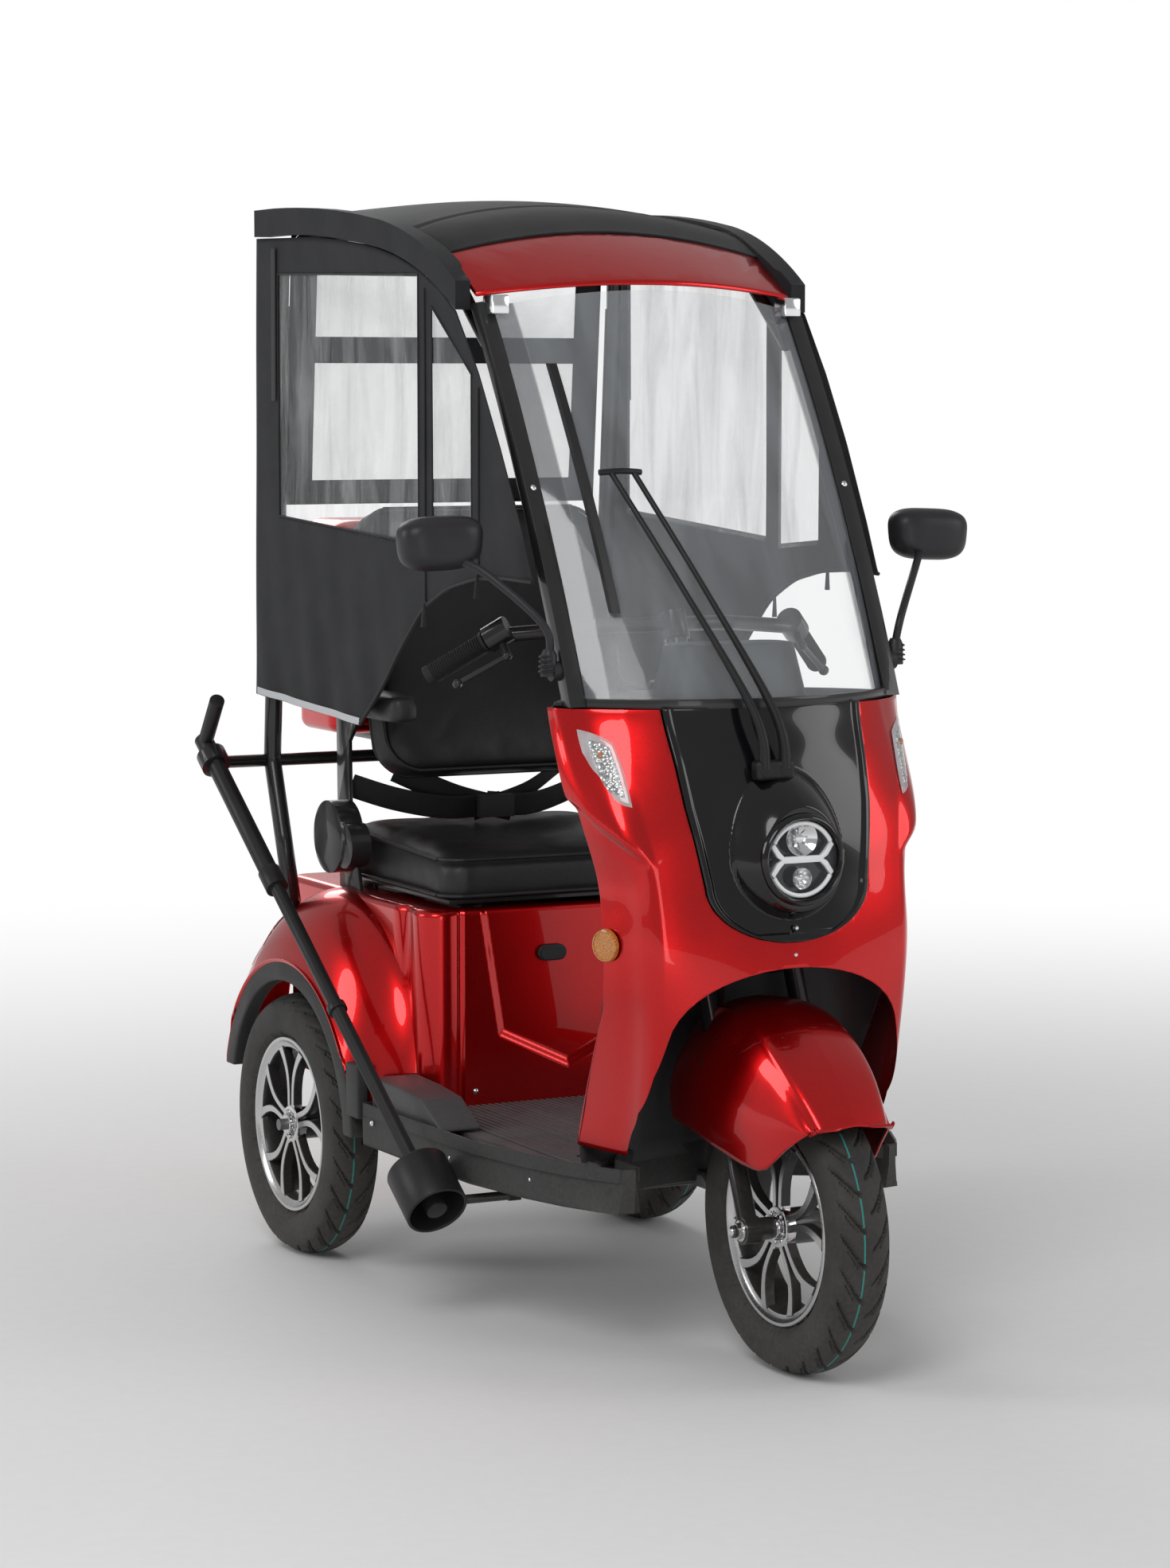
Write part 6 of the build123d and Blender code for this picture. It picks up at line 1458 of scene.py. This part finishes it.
class MakeCanopy(bpy.types.Operator):
    """Makes the roof, its side lips, the curtains with their windows, and the windscreen's frame"""

    bl_idname = "tricycle.canopy"
    bl_label = "Canopy"

    def execute(self, context):
        roof_rows = ((-0.0057, 0.262, 1.580, 1.615), (0.106, 0.274, 1.618, 1.651), (0.324, 0.284, 1.642, 1.673),
                     (0.592, 0.295, 1.648, 1.668))

        def roof(u, v):
            y, half, edge, crown = along(roof_rows, v)
            across = 2 * u - 1
            z = edge + (crown - edge) * (1 - across**2) - 0.002
            seam = 0.150 - 0.055 * across**2
            z -= 0.0022 * max(0.0, 1 - abs(y - seam) / 0.007) - 0.0010 * max(0.0, 1 - abs(y - seam - 0.012) / 0.008)
            z -= 0.0010 * max(0.0, 1 - abs(y - 0.47) / 0.006)
            return Vector((across * half, y, z))

        mesh = bmesh.new()
        skin(mesh, 50, 110, roof)
        cloth(mesh, "roof_sheet", FINISH["roof"], ["roof_cover"], 0.004)

        dressed("roof_visor", "visor", "vehicle", "paint", 0.003, 3, 50)
        mesh = bmesh.new()
        for side in (-1, 1):
            brick(mesh, (side * 0.243 - 0.014, -0.150, 1.487), (side * 0.243 + 0.014, -0.116, 1.515))
        softened(mesh, 0.003, 40, 2)
        finished(mesh, "visor_brackets", "vehicle", FINISH["silver"], smooth=40)

        dressed("roof_lips", "lips", "vehicle", "curtain", 0.0016)

        for side, name in ((1, "left"), (-1, "right")):
            def hang(u, v):
                y = -0.338 + 0.940 * u
                low, top = level(CURTAIN_LOW, y), max(level(LIP_TOP, y) - 0.002, level(CURTAIN_LOW, y) + 0.0008)
                z = low + (top - low) * v
                y += 0.014 * u**6 * (1.62 - z) / 0.73
                return Vector((side * (curtain_x(y) + curtain_fold(y, z)), y, z))

            mesh = bmesh.new()
            skin(mesh, 150, 84, hang)
            merged(mesh)
            for pane in SIDE_PANES:
                opened(mesh, pane, (1, 2))
            cloth(
                mesh, f"curtain_{name}_cloth", FINISH["curtain"], [f"curtain_{name}"]
            )

            mesh = bmesh.new()
            edge = [
                (side * (curtain_x(y) + curtain_fold(y, z) + 0.0016), y, z + 0.006)
                for y, z in [(y, level(CURTAIN_LOW, y)) for y in [0.228 + 0.0475 * n for n in range(9)]]
            ]
            strap(mesh, edge, 0.011, 0.0014, (0, 0, 1), steps=4)
            finished(mesh, f"hem_{name}", "vehicle", FINISH["hem"], smooth=60)
            mesh = bmesh.new()
            bow = [
                (side * (curtain_x(y) + 0.001), y, level(CURTAIN_LOW, y) + 0.002)
                for y in [-0.335 + 0.0433 * n for n in range(14)]
            ]
            pipe(mesh, bow, 0.0030, sides=8, steps=3)
            for y in (0.0, -0.172):
                heights = (level(CURTAIN_LOW, y) + 0.01, 1.30, level(LIP_TOP, y) - 0.02)
                pipe(mesh, [(side * (curtain_x(y) + 0.0022), y, z) for z in heights], 0.0022, sides=8)
            for y, z in ((0.0, 1.062), (-0.172, 1.112)):
                toggle = [(side * (curtain_x(y) + 0.004), y, z), (side * (curtain_x(y) + 0.0048), y + 0.002, z - 0.035)]
                pipe(mesh, toggle, lambda share: 0.0020 + 0.0022 * share, sides=8)
            y = 0.53
            tie = [(side * (curtain_x(y) + 0.004), y, 1.60), (side * (curtain_x(y) + 0.005), y, 1.36)]
            strap(mesh, tie, 0.016, 0.0016, (0, 1, 0), steps=3)
            for pane in SIDE_PANES:
                ring = [(side * (curtain_x(y) + 0.0012), y, z) for y, z in pane]
                for a, b in zip(ring, ring[1:] + ring[:1]):
                    pipe(mesh, [a, b], 0.0015, sides=6, steps=2)
            finished(mesh, f"curtain_{name}_edging", "vehicle", FINISH["piping"], smooth=60)

            for number, pane in enumerate(SIDE_PANES):
                (ya, za), (_, zb), (_, zc), (yd, zd) = pane

                def film(u, v):
                    y = ya + (yd - ya) * u
                    bottom, top = zb + (zc - zb) * u, za + (zd - za) * u
                    z = bottom - 0.006 + (top - bottom + 0.012) * v
                    bulge = 0.0022 * sin(pi * u) * sin(pi * v) * (sin(22 * y + 6 * z) + 0.6 * sin(47 * y - 19 * z))
                    return Vector((side * (curtain_x(y) - 0.0018 + bulge), y, z))

                mesh = bmesh.new()
                skin(mesh, 50, 40, film)
                film_piece = finished(
                    mesh, f"window_{name}_{number}", "vehicle", FINISH["vinyl"],
                    ["clear_windows"] if side == 1 and number == 0 else (), smooth=70,
                )
                shaped(film_piece, "SOLIDIFY", "Film", thickness=0.0007, offset=0.0)

        def back(u, v):
            x = 0.278 * (2 * u - 1)
            z = BACK_FOOT + BACK_HEIGHT * v - 0.012 * (2 * u - 1) ** 2 * v
            y = BACK_Y - BACK_LEAN * v + 0.0018 * sin(34 * x) * ease(1.30, 1.19, z)
            return Vector((x, y, z))

        back_panes = (
            ((-0.232, 1.232), (0.232, 1.232), (0.232, 1.420), (-0.232, 1.420)),
            ((-0.232, 1.462), (0.232, 1.462), (0.232, 1.560), (-0.232, 1.560)),
        )
        mesh = bmesh.new()
        skin(mesh, 80, 60, back)
        merged(mesh)
        for pane in back_panes:
            opened(mesh, pane, (0, 2))
        cloth(mesh, "rear_curtain_cloth", FINISH["curtain"], ["rear_curtain"])
        for number, pane in enumerate(back_panes):
            low, top = pane[0][1] - 0.006, pane[2][1] + 0.006

            def film(u, v):
                x, z = 0.238 * (2 * u - 1), low + (top - low) * v
                wave = 0.0015 * sin(pi * u) * sin(pi * v) * sin(30 * x + 21 * z)
                return Vector((x, BACK_Y - BACK_LEAN * (z - BACK_FOOT) / BACK_HEIGHT + 0.0017 + wave, z))

            mesh = bmesh.new()
            skin(mesh, 50, 20, film)
            film_piece = finished(mesh, f"rear_window_{number}", "vehicle", FINISH["vinyl"], smooth=70)
            shaped(film_piece, "SOLIDIFY", "Film", thickness=0.0007, offset=0.0)

        dressed("windscreen_frame", "screen_frame", "vehicle", "coated", 0.002)
        mesh = bmesh.new()
        for side in (-1, 1):
            for z in (1.02, 1.13, 1.24, 1.35, 1.46):
                y = (-0.421 + 0.142 * (z - 0.936) / 0.304) if z < 1.24 else (-0.279 + 0.197 * (z - 1.240) / 0.316)
                profile = [(0.0, 0.0022), (0.003, 0.0018), (0.0048, 0.0)]
                turned(mesh, profile, (side * 0.256, y - 0.004, z), (0, -0.85, 0.5), 12)
        finished(mesh, "pillar_rivets", "vehicle", FINISH["bright"], smooth=40)

        mesh = bmesh.new()
        for foot, tip in ((-0.036, -0.176), (-0.004, -0.140)):
            bend = (foot - 0.008, -0.5515, 0.928)
            end = (tip, -0.368, 1.262)
            middle = ((bend[0] + end[0]) / 2, -0.4680, 1.095)
            pipe(
                mesh, [(foot, -0.566, 0.851), bend, middle, end],
                lambda share: 0.0088 - 0.0046 * ease(0.0, 0.75, share), sides=12, steps=8,
            )
            turned(mesh, [(0.0, -0.0115), (0.0100, -0.0105), (0.0125, -0.006), (0.0125, 0.008), (0.0, 0.008)],
                   (foot, -0.562, 0.851), (0, 1, 0), 28)
        pipe(mesh, [(-0.194, -0.3665, 1.262), (-0.160, -0.370, 1.264), (-0.128, -0.3665, 1.262)], 0.0045, sides=10)
        finished(mesh, "wiper_linkage", "vehicle", FINISH["blade"], ["wiper_arms"], smooth=50)
        mesh = bmesh.new()
        brick(mesh, (-0.050, -0.572, 0.836), (0.010, -0.548, 0.8640))
        softened(mesh, 0.006, 40, 3)
        finished(mesh, "wiper_pivot", "vehicle", FINISH["blade"], smooth=50)
        dressed("canopy_frame", "canopy_tubes", "vehicle", "coated", 0.0)
        return {"FINISHED"}


# Seat and controls
def swollen(mesh, name, body, finish, node, cap=0.008, pressure=4.0, held=None):
    """A padded form: its sides are blown out a little by cloth pressure, and no point goes further than the cap."""
    piece = finished(mesh, name, body, finish, node, smooth=180)
    shaped(piece, "REMESH", "Voxels", mode="VOXEL", voxel_size=0.007, use_smooth_shade=True)
    rest = [v.co.copy() for v in piece.data.vertices]
    low = min(c.z for c in rest)
    puff = piece.modifiers.new("Pressure", "CLOTH")
    puff.settings.use_pressure = True
    puff.settings.uniform_pressure_force = pressure
    puff.settings.effector_weights.gravity = 0.0
    puff.settings.quality = 5
    puff.settings.tension_stiffness = 25.0
    puff.settings.compression_stiffness = 25.0
    puff.point_cache.frame_start, puff.point_cache.frame_end = 1, 20
    scene = bpy.context.scene
    for number in range(1, 21):
        scene.frame_set(number)
    graph = bpy.context.evaluated_depsgraph_get()
    blown = piece.evaluated_get(graph)
    spots = [v.co.copy() for v in blown.data.vertices]
    piece.modifiers.clear()
    for vert, start, end in zip(piece.data.vertices, rest, spots):
        move = end - start
        if held:
            move *= held(start, low)
        if move.length > cap:
            move = move.normalized() * cap
        vert.co = start + move
    scene.frame_set(1)
    shaped(piece, "SMOOTH", "Even", factor=0.5, iterations=3)
    shaped(piece, "SUBSURF", "Round", levels=1)
    piece.data.shade_smooth()
    return piece


def rounded_plan(half, front, rear, corner, pull, steps=10):
    """A rounded rectangle whose sides pull in between the corners."""
    points = []
    for cx, cy, start in (
        (half - corner, rear - corner, 0.0), (-half + corner, rear - corner, 0.5), (-half + corner, front + corner, 1.0),
        (half - corner, front + corner, 1.5),
    ):
        for n in range(steps + 1):
            angle = pi * (start + 0.5 * n / steps)
            points.append((cx + corner * cos(angle), cy + corner * sin(angle)))
    middle = (front + rear) / 2
    made = []
    for (ax, ay), (bx, by) in zip(points, points[1:] + points[:1]):
        for n in range(6):
            x, y = ax + (bx - ax) * n / 6, ay + (by - ay) * n / 6
            if abs(x) > half - corner:
                x -= pull * (1 if x > 0 else -1) * max(0.0, 1 - ((y - middle) / (rear - front) * 2) ** 2)
            made.append((x, y))
    return made


def rings(mesh, loops):
    """A closed form through loops of points, capped at both ends."""
    made = [[mesh.verts.new(p) for p in loop] for loop in loops]
    for lower, upper in zip(made, made[1:]):
        for a, b, c, d in zip(lower, lower[1:] + lower[:1], upper[1:] + upper[:1], upper):
            mesh.faces.new((a, b, c, d))
    for loop, turn in ((made[0], True), (made[-1], False)):
        centre = mesh.verts.new(sum((v.co for v in loop), Vector()) / len(loop))
        for a, b in zip(loop, loop[1:] + loop[:1]):
            mesh.faces.new((b, a, centre) if turn else (a, b, centre))


def lofted(mesh, outline, levels, place):
    """A closed form whose outline is put by place(x, y, level, share) at each level."""
    rings(mesh, [[place(x, y, level, share) for x, y in outline] for level, share in levels])


SEAT_MIDDLE = 0.31
BACK_MIDDLE = 0.219
ARM_PAD = (0.259, 0.2355)


class MakeSeat(bpy.types.Operator):
    """Makes the seat's cushion and back, the armrests, the recliner covers and the belts"""

    bl_idname = "tricycle.seat"
    bl_label = "Seat"

    def execute(self, context):
        sink = settings().seam_depth
        outer = rounded_plan(0.218, 0.103, 0.512, 0.045, 0.006)

        def crowned(x, y, z, share):
            px, py = x * share, SEAT_MIDDLE + (y - SEAT_MIDDLE) * share
            lift = (0.014 * ease(0.16, 0.50, py) - 0.006 * ease(0.22, 0.13, py)) * ease(0.615, 0.668, z)
            dip = 0.006 * max(0.0, 1 - (px / 0.16) ** 2) * max(0.0, 1 - ((py - 0.30) / 0.17) ** 2) * ease(0.66, 0.672, z)
            return px, py, z + lift - dip

        mesh = bmesh.new()
        lofted(mesh, outer, (
            (0.6005, 0.955), (0.604, 0.985), (0.615, 0.998), (0.630, 1.0), (0.645, 0.998), (0.656, 0.985), (0.664, 0.950),
            (0.668, 0.90), (0.6695, 0.80), (0.671, 0.60), (0.672, 0.35), (0.6725, 0.12),
        ), crowned)
        swollen(
            mesh, "cushion", "vehicle", FINISH["leather"], ["seat_cushion"], 0.006,
            held=lambda spot, low: ease(low + 0.001, low + 0.02, spot.z),
        )
        mesh = bmesh.new()
        for share, low, lift in ((0.992, 0.6615, 0.014), (1.003, 0.606, 0.0)):
            ring = [
                (x * share, SEAT_MIDDLE + (y - SEAT_MIDDLE) * share, low + lift * ease(0.16, 0.50, y)) for x, y in outer[::3]
            ]
            pipe(mesh, ring + ring[:2], 0.0032, sides=8, steps=2)
        finished(mesh, "cushion_piping", "vehicle", FINISH["leather"], smooth=60)

        lean = Matrix.Translation((0, 0.298, 0.778)) @ Matrix.Rotation(radians(-17.0), 4, "X")
        outline = rounded_plan(0.2195, 0.0, 0.438, 0.06, 0.0)

        def leaned(x, h, depth, share):
            px, ph = x * share, BACK_MIDDLE + (h - BACK_MIDDLE) * share
            channel = sink * 0.9 * max(0.0, 1 - abs(abs(px) - 0.118) / 0.010) * (depth < 0.02)
            return tuple(lean @ Vector((px, depth + channel, ph + 0.003)))

        mesh = bmesh.new()
        lofted(mesh, outline, (
            (0.084, 0.80), (0.0815, 0.93), (0.074, 0.985), (0.060, 1.0), (0.044, 1.0), (0.028, 0.996), (0.017, 0.975),
            (0.010, 0.93), (0.0075, 0.86), (0.0065, 0.70), (0.0060, 0.45), (0.0060, 0.15),
        ), leaned)
        swollen(mesh, "backrest", "vehicle", FINISH["leather"], ["seat_back"], 0.004)
        mesh = bmesh.new()
        for depth, share in ((0.018, 0.974), (0.070, 0.968)):
            ring = [
                tuple(lean @ Vector((x * share, depth, BACK_MIDDLE + (h - BACK_MIDDLE) * share + 0.003)))
                for x, h in outline[::3]
            ]
            pipe(mesh, ring + ring[:2], 0.0030, sides=8, steps=2)
        finished(mesh, "backrest_piping", "vehicle", FINISH["leather"], smooth=60)

        for side, name in ((1, "left"), (-1, "right")):
            body = f"{name}_armrest"

            def on_arm(x, y, z, share):
                return side * (ARM_PAD[0] + x * share), ARM_PAD[1] + (y - ARM_PAD[1]) * share, z

            mesh = bmesh.new()
            lofted(mesh, rounded_plan(0.0240, 0.149, 0.322, 0.019, 0.0015, 6), (
                (0.8715, 0.90), (0.876, 0.985), (0.885, 1.0), (0.898, 1.0), (0.908, 0.97), (0.9125, 0.88), (0.914, 0.6),
                (0.9145, 0.2),
            ), on_arm)
            swollen(mesh, f"arm_pad_{name}", body, FINISH["pad"], [f"armrest_{name}"], 0.003)
            mesh = bmesh.new()
            outline = [
                (0.300, 0.874), (0.300, 0.896), (0.395, 0.899), (0.412, 0.895), (0.419, 0.885), (0.412, 0.875), (0.395, 0.871)
            ]
            plate(mesh, [(side * 0.2325, y, z) for y, z in outline], (side * 0.007, 0, 0))
            softened(mesh, 0.0015, 40, 2)
            finished(mesh, f"arm_bracket_{name}", body, FINISH["coated"], smooth=40)

        dressed("recliner_brackets", "recliners", "vehicle", "coated", 0.0018, 3)
        dressed("seat_base", "seat_pan", "vehicle", "coated", 0.0015)

        mesh = bmesh.new()
        for side in (-1, 1):
            line = [(side * 0.2210, 0.454, 0.748), (side * 0.150, 0.430, 0.724), (side * 0.070, 0.404, 0.710),
                    (side * -0.010, 0.392 + side * 0.006, 0.716)]
            strap(mesh, line, 0.040, 0.0030, (0, -0.30, 0.95), steps=8)
            line = [(side * 0.150, 0.440, 0.770), (side * 0.060, 0.405, 0.728), (side * -0.030, 0.388 + side * 0.008, 0.704)]
            strap(mesh, line, 0.038, 0.0030, (0.35, -0.30, 0.90), steps=8)
        brick(mesh, (-0.030, 0.372, 0.694), (0.030, 0.386, 0.730))
        softened(mesh, 0.0010, 40, 2)
        finished(mesh, "belts", "vehicle", FINISH["webbing"], ["seat_belt"], smooth=40)
        return {"FINISHED"}


MIRROR = (0.402, -0.289, 1.163)
MIRROR_HALF = (0.0625, 0.0385)


def mirror_outline():
    """The rounded outline of a mirror round its own middle."""
    outline = []
    for n in range(64):
        angle = 2 * pi * n / 64
        wide, tall = abs(cos(angle)) ** 0.60, abs(sin(angle)) ** 0.62
        outline.append((
            (wide if cos(angle) > 0 else -wide) * MIRROR_HALF[0], (tall if sin(angle) > 0 else -tall) * MIRROR_HALF[1]
        ))
    return outline


class MakeControls(bpy.types.Operator):
    """Makes the dashboard, the handlebar with its grips and levers, and the mirrors"""

    bl_idname = "tricycle.controls"
    bl_label = "Controls"

    def execute(self, context):
        for node, name, body, finish, slot, width in (
            ("dashboard", "dash", "vehicle", "trim", "trim_black", 0.004),
            ("handlebar", "bars", "steering", "coated", "frame_black", 0.0015),
            ("brake_levers", "levers", "steering", "lever", "lever_black", 0.0014),
            ("storage_box", "box", "vehicle", "paint", "body_red", 0.004),
            ("storage_lid", "lid", "box_lid", "paint", "body_red", 0.004),
            ("storage_rack", "rack", "vehicle", "coated", "frame_black", 0.0015),
            ("pole_brackets", "brackets", "vehicle", "coated", "frame_black", 0.0012),
            ("support_pole", "pole", "vehicle", "pole", "pole_black", 0.0012),
            ("pole_cup", "cup", "vehicle", "pole", "pole_black", 0.002),
            ("chassis_frame", "chassis", "vehicle", "coated", "frame_black", 0.0015),
            ("rear_axle", "axle", "vehicle", "cast", "axle_grey", 0.0015),
            ("rear_shocks", "shocks", "vehicle", "spring", "spring_steel", 0.0),
        ):
            dressed(node, name, body, finish, width)

        edge_rows = (
            # z, half width, rear y of the solid shield's side edges
            (0.270, 0.262, -0.420), (0.304, 0.263, -0.435), (0.450, 0.271, -0.491), (0.609, 0.279, -0.511),
            (0.768, 0.287, -0.471), (0.850, 0.283, -0.428), (0.934, 0.278, -0.387),
        )
        mesh = cad_copy("inner_shield")
        bmesh.ops.triangulate(mesh, faces=mesh.faces[:])
        for level_z in [0.30 + 0.04 * n for n in range(16)]:
            bmesh.ops.bisect_plane(
                mesh, geom=mesh.verts[:] + mesh.edges[:] + mesh.faces[:], plane_co=(0, 0, level_z), plane_no=(0, 0, 1)
            )
        for vert in mesh.verts:
            x, y, z = vert.co
            _, half, old = at_level(edge_rows, z)
            new, rear = cowl_plan(1.0, max(z, COWL_FOOT))
            share = min(abs(x) / half, 1.0)
            vert.co.x = x * (new - 0.004) / half
            vert.co.y = y + (rear - 0.002 - old) * ease(0.5, 1.0, share)
        finished(mesh, "shield", "vehicle", FINISH["shield"], ["inner_shield"], smooth=50)

        for side, name in ((1, "left"), (-1, "right")):

            def on_mirror(across, up, depth, share):
                x, z = across * share, up * share
                return (
                    side * MIRROR[0] + x * (1 + 1.6 * z), MIRROR[1] + depth, MIRROR[2] + z - 0.04 * side * x
                )

            mesh = bmesh.new()
            lofted(mesh, mirror_outline(), (
                (-0.0225, 0.30), (-0.0220, 0.52), (-0.0195, 0.72), (-0.0140, 0.87), (-0.0060, 0.96), (0.0040, 1.0),
                (0.0170, 1.0), (0.0205, 0.985), (0.0205, 0.93), (0.0190, 0.90), (0.0190, 0.50),
            ), on_mirror)
            pipe(
                mesh, [(side * 0.282, -0.386, 1.004), (side * 0.292, -0.388, 1.050), (side * 0.352, -0.330, 1.120),
                       (side * 0.384, -0.290, 1.142)], 0.0058, sides=14, steps=8,
            )
            boot = [(0.0, 0.0), (0.0120, 0.0), (0.0115, 0.030), (0.0075, 0.038), (0.0, 0.038)]
            turned(mesh, boot, (side * 0.283, -0.386, 0.978), (0, 0, 1), 28)
            foot = [(0.0, 0.0), (0.0140, 0.0), (0.0140, 0.012), (0.0, 0.012)]
            turned(mesh, foot, (side * 0.2683, -0.386, 0.985), (side, 0, 0), 28)
            finished(
                mesh, f"mirror_{name}_case", "vehicle", FINISH["mirror_case"], [f"mirror_{name}"], smooth=45
            )
            mesh = bmesh.new()
            outline = []
            for n in range(40):
                across = cos(2 * pi * n / 40)
                outline.append((
                    side * MIRROR[0] + 0.054 * across * (1.0 if abs(across) < 0.7 else 0.98),
                    MIRROR[2] + 0.030 * sin(2 * pi * n / 40),
                ))
            plate(mesh, [(x, -0.2672, z) for x, z in outline], (0, 0.0014, 0))
            finished(mesh, f"mirror_{name}_glass", "vehicle", FINISH["looking"], smooth=40)
            mesh = bmesh.new()
            for number in range(4):
                rib = 0.0146 - 0.0012 * number
                turned(
                    mesh, [(0.007, 0.0), (rib, 0.0016), (rib, 0.0034), (0.007, 0.005)],
                    (side * (0.2835 + 0.0010 * number), -0.386, 0.984 + 0.0068 * number), (side * 0.15, 0, 1), 24,
                )
            finished(mesh, f"mirror_{name}_boot", "vehicle", FINISH["grip"], smooth=40)

        mesh = bmesh.new()
        a, b = Vector((0.250, -0.144, 1.021)), Vector((0.330, -0.078, 0.959))
        way = (b - a).normalized()
        for side in (-1, 1):
            axis = Vector((side * way.x, way.y, way.z))
            end = Vector((side * b.x, b.y, b.z))
            profile = [(0.0105, -0.104), (0.0160, -0.1035)]
            for number in range(24):
                place = -0.100 + 0.0038 * number
                profile += [(0.0158, place), (0.0142, place + 0.0012), (0.0142, place + 0.0026)]
            profile += [(0.0160, -0.005), (0.0150, -0.0005), (0.0100, 0.0)]
            turned(mesh, profile, end, axis, 28)
        finished(mesh, "grip_sleeves", "steering", FINISH["grip"], ["grips"], smooth=40)
        return {"FINISHED"}


PIECES = (
    MakeStage, MakeWheels, MakeCowl, MakeLamps, MakeRearBody, MakeFrontFender, MakeCanopy, MakeSeat, MakeControls,
)


class TRICYCLE_PT_pieces(bpy.types.Panel):
    """Lists the pieces in the sidebar"""

    bl_idname = "TRICYCLE_PT_pieces"
    bl_label = "Electric tricycle"
    bl_space_type = "VIEW_3D"
    bl_region_type = "UI"
    bl_category = "Tricycle"

    def draw(self, context):
        for key in TricycleSettings.__annotations__:
            self.layout.prop(context.scene.tricycle, key)
        for kind in PIECES:
            self.layout.operator(kind.bl_idname)


def register():
    """Makes the add-on's classes known to Blender."""
    for kind in (TricycleSettings, *PIECES, TRICYCLE_PT_pieces):
        bpy.utils.register_class(kind)
    bpy.types.Scene.tricycle = bpy.props.PointerProperty(type=TricycleSettings)


def unregister():
    """Takes the add-on's classes out of Blender again."""
    del bpy.types.Scene.tricycle
    for kind in (TRICYCLE_PT_pieces, *reversed(PIECES), TricycleSettings):
        bpy.utils.unregister_class(kind)


def main():
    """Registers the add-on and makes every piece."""
    register()
    for kind in PIECES:
        group, name = kind.bl_idname.split(".")
        getattr(getattr(bpy.ops, group), name)()


if __name__ == "__main__":
    main()
